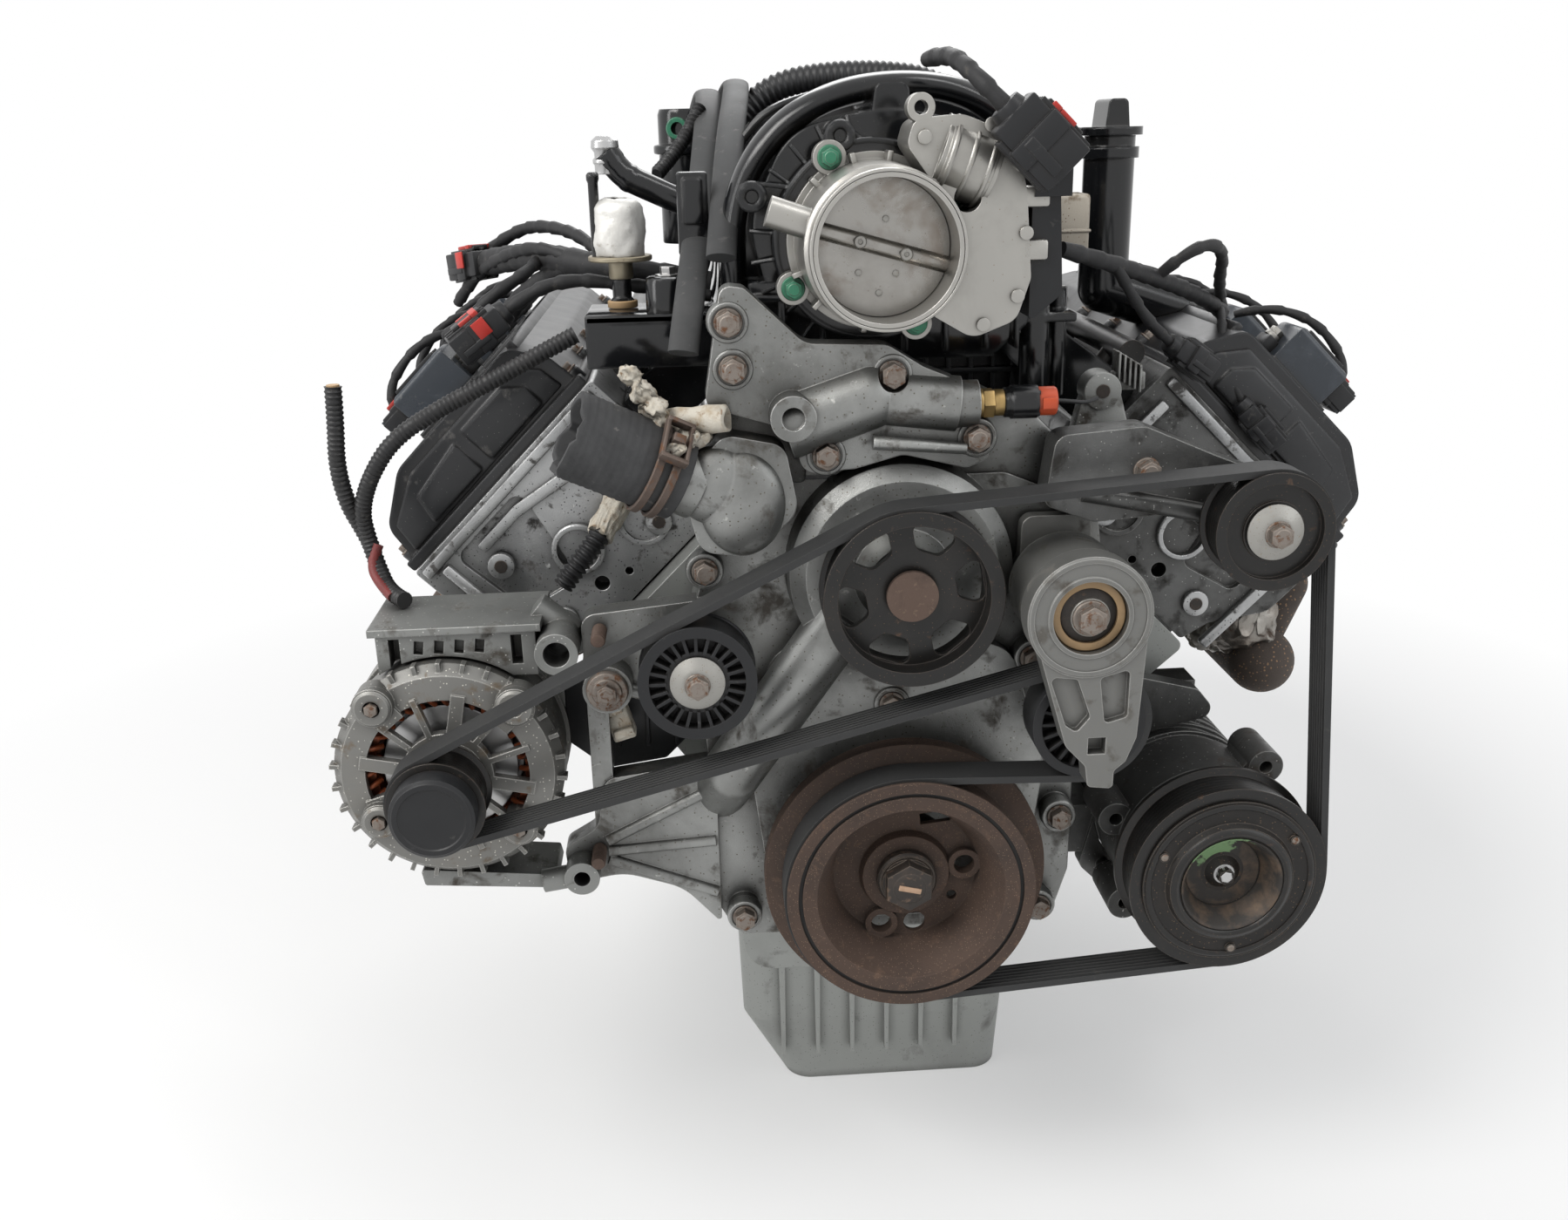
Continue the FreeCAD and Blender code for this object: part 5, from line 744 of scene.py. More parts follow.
def makeFrontBolts():
    bm = bmesh.new()
    for x, z in coverBolts:
        addBolt(bm, (x, boltFaces["coverFront"] + 0.4, z), -plusY, 13, 8.2)
    for x, z in outletBolts:
        addBolt(bm, (x, boltFaces["outletFront"] + 0.4, z), -plusY, 13.5, 9.2)
    addBolt(bm, (152, boltFaces["bracketFront"] + 0.4, 268), -plusY, 13, 9.2)
    finishPiece(bm, "frontHeads", "rustyBolt", sharp=30)
    bm = bmesh.new()
    addRod(bm, (-192, -589.6, 134), (-192, -594, 134), 14, 13, 32, 0.6)
    addBolt(bm, (-192, -594, 134), -plusY, 12, 6.2, 10)
    heads = finishPiece(bm, "standoffHead", "rustyBolt", sharp=30)
    bm = bmesh.new()
    for k in range(4):
        a = math.radians(throttle["boltStart"] + 90 * k)
        x = throttle["x"] + throttle["boltCircle"] * math.sin(a)
        z = throttle["z"] + throttle["boltCircle"] * math.cos(a)
        addBolt(bm, (x, boltFaces["throttleFront"] + 0.4, z), -plusY, 9.5, 8.4, 7.6)
    green = finishPiece(bm, "throttleHeads", "greenBolt", sharp=30)
    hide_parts("front_bolts")
    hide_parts("front_bolts")


def makeAccessoryBolts():
    px, pz = pivot["x"], pivot["z"]
    caps = ((leftIdler, -643.0, 17.0), (rightIdler, -644.0, 17.5))
    bm = bmesh.new()
    for (x, z), top, r in caps:
        addTurned(bm, [(0, top), (8.4, top), (10.5, top + 0.8), (r - 1.6, top + 3.6), (r, top + 4.4),
                       (r, top + 5.5), (0, top + 5.5)], (x, 0, z))
        addRod(bm, (x, top + 5, z), (x, -590, z), 7.9)
    addTurned(bm, [(0, -665), (11.6, -665), (12, -664.4), (12, -661.5), (0, -661.5)], (px, 0, pz))
    addRod(bm, (px, -662, pz), (px, -648, pz), 9.9)
    steel = finishPiece(bm, "wheelCaps", "brightCap", sharp=30)
    bm = bmesh.new()
    addBolt(bm, (leftIdler[0], -643, leftIdler[1]), -plusY, 13, 6, 8.2, 1.0)
    addBolt(bm, (rightIdler[0], -644, rightIdler[1]), -plusY, 13, 7, 8.6, 1.0)
    addBolt(bm, (px, -665, pz), -plusY, 15.5, 7.6, 11.4, 1.6)
    heads = finishPiece(bm, "wheelBolts", "rustyBolt", sharp=30)
    bm = bmesh.new()
    addTurned(bm, [(17.4, -661.6), (21.8, -661.6), (22.8, -660.6), (22.8, -658.6), (17.4, -658.6)], (px, 0, pz),
              closed=True)
    dish = bmesh.new()
    addTurned(dish, [(11.5, -662.2), (13.5, -661.4), (17.4, -659.6), (17.4, -658.6), (11.5, -658.6)], (px, 0, pz),
              closed=True)
    dish = finishPiece(dish, "pivotDish", "boltBlack", sharp=30)
    bush = finishPiece(bm, "pivotBush", "tanBush", sharp=30)
    for piece in (steel, heads, bush, dish):
        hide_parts("accessory_bolts")


def makeCrankBolt():
    bm = bmesh.new()
    addTurned(bm, [(0, -619.6), (18.5, -619.6), (20, -618), (20, -613.2), (0, -613.2)], (0, 0, 0))
    addRod(bm, (0, -619.5, 0), (0, -630.2, 0), 30 * 0.577, None, 6, 1.6)
    addRod(bm, (0, -619.6, 0), (0, -621.4, 0), 17.6, 17, 40)
    addTurned(bm, [(0, -631), (9.6, -631), (11, -630.2), (0, -630.0)], (0, 0, 0))
    piece = finishPiece(bm, "crankBoltHead", "boltBlack", body="crank", sharp=30)
    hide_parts("crank_bolt")
    bm = bmesh.new()
    addBox(bm, (-7.6, -631.7, -1.9), (7.6, -630.4, 1.9), 0.4, Matrix.Rotation(math.radians(14), 4, "Y"))
    finishPiece(bm, "crankBoltMark", "tanMark", body="crank", sharp=30)


clutch = {"x": 210.2, "z": 0.0}


def makeClutchDetails():
    x, z = clutch["x"], clutch["z"]
    bm = bmesh.new()
    for k in range(3):
        a = math.radians(55 + 120 * k)
        at = Vector((x + 50 * math.sin(a), -642, z + 50 * math.cos(a)))
        addTurned(bm, [(0, -2.7), (1.8, -2.6), (3.1, -1.6), (3.6, 0), (0, 0)], at, segments=20)
    finishPiece(bm, "clutchRivets", "rustyBolt", body="compressor_shaft", sharp=30)
    bm = bmesh.new()
    addTurned(bm, [(0, -637.4), (3.6, -637.4), (4.6, -636.8), (5.4, -635), (5.4, -631.8), (0, -631.8)], (x, 0, z),
              segments=6)
    addRod(bm, (x, -632.2, z), (x, -631.2, z), 7.2, None, 28, 0.3)
    finishPiece(bm, "clutchBolt", "machined", body="compressor_shaft", sharp=30)
    bm = bmesh.new()
    addTurned(bm, [(14.5, -628.1), (22.6, -628.1), (24.6, -628.3), (24.6, -627.6), (14.5, -627.6)], (x, 0, z),
              closed=True)
    addTurned(bm, [(25.4, -629.5), (31.6, -644.6), (33.0, -646.2), (33.8, -646.6), (32.6, -643), (26.6, -629)],
              (x, 0, z), closed=True)
    finishPiece(bm, "clutchFloorRing", "clutchPaint", body="compressor_shaft", sharp=30)


def makeClutchRing():
    bm = bmesh.new()
    x, z = clutch["x"], clutch["z"]
    addTurned(bm, [(34.2, -645.8), (35.2, -647.2), (37.2, -648), (39.4, -647.2), (41.2, -645.4), (42.4, -642.4),
                   (40, -642.4), (34.2, -644)], (x, 0, z), segments=96, closed=True)
    addTurned(bm, [(52.4, -642.6), (53.4, -643.4), (55.4, -643.4), (56.4, -642.6), (56.4, -641.8), (52.4, -641.8)],
              (x, 0, z), segments=96, closed=True)
    finishPiece(bm, "clutchRing", "blackSteel", body="compressor_shaft", sharp=40)


makeClutchRing()
makeBelt()
makeWheelDetails()
makeFrontBolts()
makeAccessoryBolts()
makeCrankBolt()
makeClutchDetails()
print("belt, wheels and bolts made")


looms = {
    "left": {"radius": 6.0, "look": "conduit", "points": [
        (-204, -502, 350), (-232, -508, 337), (-262, -512, 322), (-296, -514, 306), (-326, -515, 288),
        (-344, -513, 264), (-355, -506, 238), (-353, -502, 216), (-347, -508, 197), (-338, -524, 184.4),
        (-325, -540, 184.4)]},
    "cut": {"radius": 6.0, "look": "conduit", "points": [
        (-363, -506, 322), (-364, -507, 297), (-367, -506.5, 270), (-364, -504, 243), (-356, -500, 222),
        (-350, -503, 208)]},
    "bundle": {"radius": 9.5, "look": "tape", "points": [
        (-114, -449, 374), (-148, -446, 380), (-180, -448, 386), (-206, -434, 390), (-230, -405, 392),
        (-254, -373, 390), (-279, -340, 384)]},
    "lock": {"radius": 4.5, "look": "tape", "points": [
        (-114, -470, 368.8), (-145, -466, 374), (-176, -463, 378), (-206, -464, 382), (-234, -468, 376),
        (-256, -474, 360)]},
    "throttle": {"radius": 5.0, "look": "tape", "points": [
        (20, -540, 512), (27, -572, 514), (32, -600, 506), (42, -619, 493), (55, -620, 480)]},
    "right": {"radius": 5.4, "look": "tape", "points": [
        (104, -550, 400), (144, -532, 388), (182, -500, 375), (218, -466, 362), (250, -436, 346),
        (267, -400, 336.6), (271, -345, 332.7), (269.4, -280, 333.8), (271, -210, 332.4), (269.4, -140, 333.6)]},
}
tape = {"step": 3.0, "wrap": 17.0, "lift": 0.55}
conduit = {"step": 1.1, "pitch": 3.4, "lift": 0.5}


def wrapRadius(radius):
    # radius of an overlapping tape wrap, stepped once each turn
    return lambda distance: radius - tape["lift"] + 2 * tape["lift"] * ((distance / tape["wrap"]) % 1.0)


def rippleRadius(radius, pitch=conduit["pitch"], lift=conduit["lift"]):
    return lambda distance: radius - lift + lift * math.cos(math.tau * distance / pitch)


def makeLooms():
    made = []
    for name, loom in looms.items():
        ribbed = loom["look"] == "conduit"
        places = evenPlaces(smoothRoute(loom["points"], 12), conduit["step"] if ribbed else tape["step"])
        bm = bmesh.new()
        addTube(bm, places, (rippleRadius if ribbed else wrapRadius)(loom["radius"]), 14)
        made.append(finishPiece(bm, name + "Loom", loom["look"], sharp=60, merge=0))
    bm = bmesh.new()  # tan cores that show at the cut end
    end = Vector(looms["cut"]["points"][0])
    addRod(bm, end - Vector((0, 0, 1)), end + Vector((0, 0, 1.2)), 4.6, 4.2)
    finishPiece(bm, "cutLoomCore", "tanBush")
    for piece in made:
        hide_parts("wiring_harness")
    bm = bmesh.new()  # red sleeve of the charging lead, above the alternator
    addCord(bm, [(-346, -506, 214), (-352, -509, 202), (-346, -518, 190), (-334, -534, 185)], 10, 2.0, 3.6, 12)
    finishPiece(bm, "redSleeve", "redSleeve")


def bankPoint(side, t, d, y):
    # point t outward from a cylinder bank's axis and d from the crank axis
    half = math.sqrt(0.5)
    return Vector((side * (d + t) * half, y, (d - t) * half))


banks = {"pitch": 113.3, "firstBore": {1: -438.0, -1: -416.0}, "headFront": {1: -492, -1: -470}}


def coilLine(side, k):
    return banks["firstBore"][side] + banks["pitch"] * k


def makeCoilLeads():
    bm = bmesh.new()
    for side in (1, -1):
        for k in range(4):
            y = coilLine(side, k)
            route = [(-44, 432, y + 34), (-36, 450, y + 24), (-8, 466, y + 10), (24, 463, y + 2), (36.5, 452.5, y),
                     (43, 444, y), (41.5, 438, y)]
            points = [bankPoint(side, t, d, yy) for t, d, yy in route]
            addCord(bm, points, 8, 3.0, wrapRadius(3.4), 10)
    finishPiece(bm, "coilLeads", "tape", sharp=60, merge=0)
    trunk = [(-206, -434, 390), (-238, -396, 374), (-264, -360, 350), (-272, -300, 339), (-270, -200, 341),
             (-272, -90, 338)]
    bm = bmesh.new()
    addCord(bm, trunk, 12, 3.0, wrapRadius(7.0), 14)
    branches = (((-232, -405, 392), (-240, -430, 384), (-262, -446, 372), (-284, -448, 352), (-300, -436, 342)),
                ((-206, -434, 390), (-226, -424, 402), (-262, -376, 392), (-292, -330, 374), (-310, -310, 350)),
                ((-180, -448, 388), (-196, -420, 404), (-226, -380, 412), (-256, -340, 408), (-282, -318, 390)))
    for branch in branches:
        addCord(bm, branch, 10, 3.0, wrapRadius(4.4), 10)
    finishPiece(bm, "leftTrunk", "tape", sharp=60, merge=0)


def plugMatrix(at, towards):
    # the plug is drawn from the origin along +Y, with its latch up
    gap = Vector(towards) - Vector(at)
    rise = Matrix.Rotation(math.atan2(gap.z, math.hypot(gap.x, gap.y)), 4, "X")
    return Matrix.Translation(Vector(at)) @ Matrix.Rotation(math.atan2(-gap.x, gap.y), 4, "Z") @ rise


def makePlug(name, at, towards, length, width, height, lock=True):
    place = plugMatrix(at, towards)
    w, h = width / 2, height / 2
    bm = bmesh.new()
    addBox(bm, (-w + 2, -1, -h + 2), (w - 2, length * 0.32, h - 2), 1.6)
    addBox(bm, (-w, length * 0.3, -h), (w, length * 0.62, h), 1.8)
    addBox(bm, (-w + 1.2, length * 0.6, -h + 1.2), (w - 1.2, length, h - 1.2), 1.2)
    for k in range(3):
        x = w * (-0.56 + 0.56 * k)
        addBox(bm, (x - 1.1, length * 0.12, h - 2.2), (x + 1.1, length * 0.96, h + 0.7), 0.5)
        addBox(bm, (x - 1.1, length * 0.12, -h - 0.7), (x + 1.1, length * 0.96, -h + 2.2), 0.5)
    for s in (-1, 1):
        addBox(bm, (s * w - 0.8, length * 0.36, -h * 0.5), (s * w + 0.8, length * 0.9, -h * 0.1), 0.4)
    addBox(bm, (-w * 0.4, length * 0.2, h - 0.6), (w * 0.4, length * 0.8, h + 2.8), 0.8)
    addRod(bm, (0, -7, 0), (0, 1, 0), min(w, h) * 0.72, min(w, h) * 0.86, 20, 0.6)
    bmesh.ops.transform(bm, matrix=place, verts=bm.verts)
    shell = finishPiece(bm, name, "moulded", sharp=34, merge=0)
    if lock:
        bm = bmesh.new()
        addBox(bm, (-w * 0.62, length * 0.26, h - 0.5), (w * 0.62, length * 0.4, h + 3.4), 0.7)
        addBox(bm, (-w * 0.62, length * 0.4, h + 0.4), (-w * 0.34, length * 0.66, h + 3.2), 0.6)
        addBox(bm, (w * 0.34, length * 0.4, h + 0.4), (w * 0.62, length * 0.66, h + 3.2), 0.6)
        addBox(bm, (-w - 0.9, length * 0.26, -h * 0.2), (-w + 0.6, length * 0.52, h * 0.9), 0.5)
        bmesh.ops.transform(bm, matrix=place, verts=bm.verts)
        finishPiece(bm, name + "Lock", "redLock", sharp=34, merge=0)
    return shell


def plugOn(name, loom, length, width, height):
    before, end = (Vector(p) for p in looms[loom]["points"][-2:])
    return makePlug(name, end, end + end - before, length, width, height)


def makePlugs():
    shells = [plugOn("bundlePlug", "bundle", 40, 30, 22), plugOn("lockPlug", "lock", 38, 30, 22),
              plugOn("throttlePlug", "throttle", 44, 26, 34)]
    y, z = -585.0, 312.0
    bm = bmesh.new()
    addRod(bm, (45, y, z), (49, y, z), 9.0, None, 32, 0.4)
    addRod(bm, (49, y, z), (56, y, z), 9.5, None, 6, 0.6)
    addRod(bm, (56, y, z), (62.5, y, z), 8.2, None, 32, 0.5)
    sensor = [finishPiece(bm, "sensorBrass", "brass", sharp=30)]
    bm = bmesh.new()
    addTurned(bm, [(0, 62), (8.2, 62), (9.4, 63), (9.4, 66), (10.4, 67), (10.4, 83), (0, 83)], (0, y, z), (1, 0, 0))
    for k in range(4):
        a = math.radians(45 + 90 * k)
        addBox(bm, (67, y + 9.4 * math.cos(a) - 1.3, z + 9.4 * math.sin(a) - 1.3),
               (84, y + 9.4 * math.cos(a) + 1.3, z + 9.4 * math.sin(a) + 1.3), 0.5)
    sensor.append(finishPiece(bm, "sensorShell", "gloss", sharp=30))
    bm = bmesh.new()
    addTurned(bm, [(5.2, 83), (8.6, 83), (8.9, 84), (8.9, 94), (8.3, 95), (6.4, 95), (6.4, 88), (5.2, 88)],
              (0, y, z), (1, 0, 0), closed=True)
    addBox(bm, (85, y - 10.2, z - 3.6), (94, y - 7.6, z + 3.6), 0.8)
    sensor.append(finishPiece(bm, "sensorCollar", "orangeCollar", sharp=30))
    for piece in shells + sensor:
        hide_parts("harness_connectors")
    bm = bmesh.new()
    addCord(bm, [(88, y + 2, z), (104, y + 3, z - 1), (118, y + 8, z - 4), (128, y + 18, z - 2)], 10, 3.0, 1.3, 8)
    finishPiece(bm, "sensorWire", "moulded")


hose = {"neck": (-139, -588, 272.5), "end": (-205, -600, 305.5), "radius": 27.5, "seat": 23.2, "bore": 21.5,
        "overlap": 24.5, "clampRadius": 30.0}


def hoseWay():
    a, b = Vector(hose["neck"]), Vector(hose["end"])
    return a, (b - a).normalized(), (b - a).length


def makeHose():
    a, along, length = hoseWay()
    outer = []
    for i in range(41):
        t = length * i / 40
        ripple = 0.28 * math.sin(t * 1.25) if t > 27 else 0.0
        outer.append((hose["radius"] - 0.6 + ripple, t))
    profile = outer + [(hose["radius"] - 2.2, length - 0.1), (hose["bore"] + 0.6, length - 0.1),
                       (hose["bore"], length - 1.5), (hose["bore"], hose["overlap"]),
                       (hose["seat"], hose["overlap"]), (hose["seat"], 0.0)]
    bm = bmesh.new()
    addTurned(bm, profile, a, along, 72, closed=True)
    dice = random.Random(4)
    notches = [(dice.uniform(0, math.tau), dice.uniform(0.15, 0.5), dice.uniform(1.5, 5)) for _ in range(9)]
    side = along.orthogonal().normalized()
    over = along.cross(side)
    for v in bm.verts:
        t = (v.co - a).dot(along)
        if t > length - 6:
            angle = math.atan2((v.co - a).dot(over), (v.co - a).dot(side))
            cut = max((depth * max(0.0, 1 - abs((angle - at + math.pi) % math.tau - math.pi) / spread)
                       for at, spread, depth in notches))
            v.co -= along * cut * (t - length + 6) / 6
    piece = finishPiece(bm, "lowerHose", "hoseRubber", sharp=40)
    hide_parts("radiator_hose")


def ragged(bm, amount, scale, seed):
    # pushes points about by smooth noise, so that a form looks torn or crumpled
    shift = Vector((seed * 13.1, seed * 7.7, seed * 3.3))
    for v in bm.verts:
        v.co += noise.noise_vector(v.co * scale + shift) * amount


def makeCrust():
    a, along, _ = hoseWay()
    bm = bmesh.new()
    up = Vector((0.35, -0.5, 0.79)).normalized()
    up = (up - along * up.dot(along)).normalized()
    over = along.cross(up)
    spots = ((4, 0.25, 9.5), (9, 0.05, 8.5), (16, -0.3, 8), (0, 0.55, 8), (2, 2.75, 8.5), (9, 2.9, 7.5))
    for t, angle, size in spots:
        centre = a + along * t + (up * math.cos(angle) + over * math.sin(angle)) * (hose["radius"] + 1.0)
        bmesh.ops.create_icosphere(bm, subdivisions=4, radius=size,
                                   matrix=Matrix.Translation(centre) @ Matrix.Diagonal((1, 0.8, 0.6, 1)))
    for x, z, size in ((-147, 306, 10.5), (-152, 316, 10), (-158, 325, 9), (-164, 334, 7.5), (-141, 300, 9)):
        bmesh.ops.create_icosphere(bm, subdivisions=4, radius=size, matrix=Matrix.Translation((x, -589, z))
                                   @ Matrix.Rotation(math.radians(-35), 4, "Y") @ Matrix.Diagonal((0.62, 0.8, 1, 1)))
    ragged(bm, 5.0, 0.13, 1)
    ragged(bm, 1.7, 0.5, 2)
    finishPiece(bm, "dryCrust", "crust", sharp=80)
    bm = bmesh.new()
    pipe = Vector((-146, -582, 306))
    mouth = Vector((-108, -597, 310))
    addTurned(bm, [(4.5, 0), (8.2, 0), (8.6, 8), (8.2, 18), (8.8, 28), (8.6, 40), (6.2, 41), (5.4, 36), (5.2, 14),
                   (4.5, 8)], pipe, mouth - pipe, 40, closed=True)
    ragged(bm, 1.1, 0.12, 3)
    finishPiece(bm, "tornPipe", "crust", sharp=60)


def makeClamp():
    a, along, _ = hoseWay()
    r = hose["clampRadius"]
    bm = bmesh.new()
    for start, end in ((8.2, 13.4), (18.4, 23.8)):
        addTurned(bm, [(r - 2.2, start), (r - 0.6, start), (r, start + 0.6), (r, end - 0.6), (r - 0.6, end),
                       (r - 2.2, end)], a, along, 72, closed=True)
    side = plusY.cross(along).normalized()
    lift = (side * 0.75 - plusY * 0.66).normalized()
    lift = (lift - along * lift.dot(along)).normalized()
    across = along.cross(lift)
    turn = Matrix((across, along, lift)).transposed().to_4x4()
    turn.translation = a + lift * (r - 0.5)
    loop = bmesh.new()
    for x0, x1, y0, y1, z0, z1 in ((-13, 13, 7, 9.6, 0, 6), (-13, 13, 22.4, 25, 0, 6), (-15, -12, 7, 25, 0, 6.5),
                                   (12, 15, 7, 25, 0, 6.5), (-3, 3, 12, 20, -0.5, 8.5), (-8, 8, 13.5, 18.5, -1, 2)):
        addBox(loop, (x0, y0, z0), (x1, y1, z1), 0.9)
    joinPart(bm, loop, turn)
    piece = finishPiece(bm, "springClamp", "clampSteel", sharp=34)
    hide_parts("hose_clamp")


valve = {"x": -173.0, "y": -480.0}


def makePurgeValve():
    x, y = valve["x"], valve["y"]
    pieces = []
    bm = bmesh.new()
    shieldProfile = [(15.6, 398), (17.0, 398.3), (17.0, 420), (16.0, 428), (12.5, 432.6), (7.4, 434), (7.0, 433),
                     (11.6, 431), (15.0, 426), (15.6, 418)]
    fine = []
    for (r0, z0), (r1, z1) in zip(shieldProfile, shieldProfile[1:] + shieldProfile[:1]):
        steps = max(1, int(abs(z1 - z0) / 2.2))
        fine += [(r0 + (r1 - r0) * k / steps, z0 + (z1 - z0) * k / steps) for k in range(steps)]
    addTurned(bm, fine, (x, y, 0), plusZ, 64, closed=True)
    ragged(bm, 1.7, 0.075, 5)
    ragged(bm, 0.6, 0.25, 6)
    pieces.append(finishPiece(bm, "heatShield", "shield", sharp=50))
    bm = bmesh.new()
    addTurned(bm, [(0, 394.6), (20.4, 394.6), (21, 395.4), (21, 397.4), (20.2, 398), (0, 398)], (x, y, 0), plusZ, 56)
    addTurned(bm, [(0, 383), (7.5, 383), (8, 384), (8, 394.6), (0, 394.6)], (x, y, 0), plusZ, 32)
    pieces.append(finishPiece(bm, "valvePlate", "brassPlate", sharp=30))
    bm = bmesh.new()
    addTurned(bm, [(0, 398), (11.8, 398), (11.8, 430), (0, 432)], (x, y, 0), plusZ, 40)
    addTurned(bm, [(0, 366), (8.6, 366), (9, 368), (6.3, 371), (6.3, 383), (0, 383)], (x, y, 0), plusZ, 32)
    for dy in (-4, 6):
        addTurned(bm, [(0, 397), (3, 397), (3, 444), (3.8, 446), (3.8, 449), (2.6, 450.5), (0, 450.5)],
                  (x - 15, y + dy, 0), plusZ, 20)
    pieces.append(finishPiece(bm, "valveCore", "gloss", sharp=30))
    bm = bmesh.new()
    addTurned(bm, [(6.3, 364.3), (9.7, 364.3), (10, 365), (10, 368.4), (9.4, 369), (6.3, 369)], (x, y, 0), plusZ, 40,
              closed=True)
    pieces.append(finishPiece(bm, "valveRing", "tanBush", sharp=30))
    for piece in pieces:
        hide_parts("purge_valve")
    bm = bmesh.new()
    addTurned(bm, [(0, 448), (7.4, 448), (7.6, 454), (8.6, 455.4), (8.6, 457.4), (7.2, 459), (7.4, 462), (9.4, 465),
                   (9.0, 469.5), (5.6, 472.4), (0, 472.8)], (-181, -440, 0), plusZ, 36)
    finishPiece(bm, "chromeNeck", "machined", sharp=34)


straps = {"wide": 9.6, "thick": 3.8, "lines": (
    [(-118, -120, 474), (-112, -220, 497), (-107, -330, 504), (-118, -450, 430), (-126, -540, 388), (-134, -572, 344)],
    [(-96, -120, 486), (-90, -220, 504), (-86, -330, 510), (-99, -460, 463), (-108, -545, 398)])}


def addStrap(bm, points, wide, thick):
    # flat line, wide across the object and thin along its own normal
    def axesOf(along):
        side = (Vector((1, 0, 0)) - along * along.x).normalized()
        return side, along.cross(side)
    addSweep(bm, evenPlaces(smoothRoute(points, 14), 4.0), axesOf, wide, thick, 18)


def makeVents():
    pieces = []
    bm = bmesh.new()
    for line in straps["lines"]:
        addStrap(bm, line, straps["wide"], straps["thick"])
    pieces.append(finishPiece(bm, "ventStraps", "greyLine", sharp=60, merge=0))
    bm = bmesh.new()
    z = 510.9
    arch = [(-98, -328, 466), (-84, -328, 486), (-58, -328, 505), (-20, -328, z), (20, -328, z), (56, -328, 506),
            (82, -328, 488), (98, -328, 468)]
    places = evenPlaces(smoothRoute(arch, 14), 1.0)
    addTube(bm, places, rippleRadius(10.4, 5.0, 0.8), 24)
    pieces.append(finishPiece(bm, "crossHose", "moulded", sharp=60, merge=0))
    bm = bmesh.new()
    elbow = [(-181, -440, 462), (-172, -440, 448), (-156, -440, 440), (-129, -440.5, 428)]
    addTube(bm, evenPlaces(smoothRoute(elbow, 14), 2.0),
            lambda distance: 9.5 if distance < 8 or 20 < distance < 24 else 8.9, 24)
    pieces.append(finishPiece(bm, "elbowHose", "gloss", sharp=50, merge=0))
    bm = bmesh.new()
    x, y = -142.0, -500.0
    addTurned(bm, [(0, 340), (14.4, 340), (15, 341), (15, 382), (14, 385), (12, 386), (0, 386)], (x, y, 0), plusZ, 48)
    x, y = -127.6, -302.0
    addTurned(bm, [(0, 392), (19.4, 392), (20, 393), (20, 457), (23.4, 458), (24, 459), (24, 463), (23.4, 464),
                   (20, 465), (20, 486), (18.6, 490), (16.4, 490), (16.4, 480), (0, 480)], (x, y, 0), plusZ, 56)
    pieces.append(finishPiece(bm, "ventCanisters", "gloss", sharp=34))
    bm = bmesh.new()
    addTurned(bm, [(4.6, -325), (7.6, -325), (8.2, -324), (8.2, -318), (4.6, -318)], (-133, 0, 476), closed=True)
    finishPiece(bm, "canisterPort", "greenBolt")
    bm = bmesh.new()
    addTurned(bm, [(0, 386), (8.4, 386), (8.8, 386.8), (5.2, 387.4), (5.2, 391.6), (0, 392)], (-142, -500, 0),
              plusZ, 6)
    pieces.append(finishPiece(bm, "barrelNut", "machined", sharp=30))
    for piece in pieces:
        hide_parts("breather_lines")
    bm = bmesh.new()
    spring = [(-116, -356, 490), (-124, -368, 474), (-136, -382, 458), (-148, -400, 446)]
    addCord(bm, spring, 16, 0.8, rippleRadius(5.4, 3.4, 0.9), 16)
    finishPiece(bm, "springHose", "moulded", sharp=60, merge=0)


def makeBrackets():
    pieces = []
    bm = bmesh.new()
    addBox(bm, (-196, -522, 358), (-112, -456, 364), 1.6)
    addBox(bm, (-196, -522, 330), (-112, -518, 364), 1.2)
    addBox(bm, (-124, -456.1, 358), (-112, -432, 364), 1.0)
    for x in (-186, -170, -154, -138, -122):
        addBox(bm, (x - 1.2, -520, 334), (x + 1.2, -500, 358.5), 0.5)
    pieces.append(finishPiece(bm, "valveShelf", "gloss", sharp=34, merge=0))
    bm = bmesh.new()
    addBox(bm, (-134, -501, 398), (-114, -489, 450), 2.0)
    addBox(bm, (-114, -500, 402), (-96, -490, 418), 1.6)
    addBox(bm, (-130, -503, 418), (-118, -499, 446), 1.2)
    pieces.append(finishPiece(bm, "strapClip", "gloss", sharp=34, merge=0))
    bm = bmesh.new()
    x, y, z = 132.0, -418.0, 385.0
    addBox(bm, (x - 4, y - 16, z), (x + 22, y + 14, z + 42), 3.0, segments=3)
    inner = [f for f in bm.faces if f.normal.z > 0.9 and f.calc_area() > 200]
    bmesh.ops.inset_region(bm, faces=inner, thickness=1.6)
    bmesh.ops.translate(bm, verts=list({v for f in inner for v in f.verts}), vec=(0, 0, -30))
    addBox(bm, (x - 4.6, y - 17, z + 16), (x + 22.6, y + 14.4, z + 18.2), 0.8)
    addBox(bm, (108, y - 10, z), (x - 3.9, y - 2, z + 20), 1.0)
    pieces.append(finishPiece(bm, "fillerBracket", "tanPlate", sharp=34, merge=0))
    for piece in pieces:
        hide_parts("sheet_brackets")


makeLooms()
makeCoilLeads()
makePlugs()
makeHose()
makeCrust()
makeClamp()
makePurgeValve()
makeVents()
makeBrackets()
print("looms, hose, vents and brackets made")


def bankMatrix(side):
    # from (t, y, d) on a bank to the object's own axes
    half = math.sqrt(0.5)
    return Matrix(((side * half, 0, side * half, 0), (0, 1, 0, 0), (-half, 0, half, 0), (0, 0, 0, 1)))


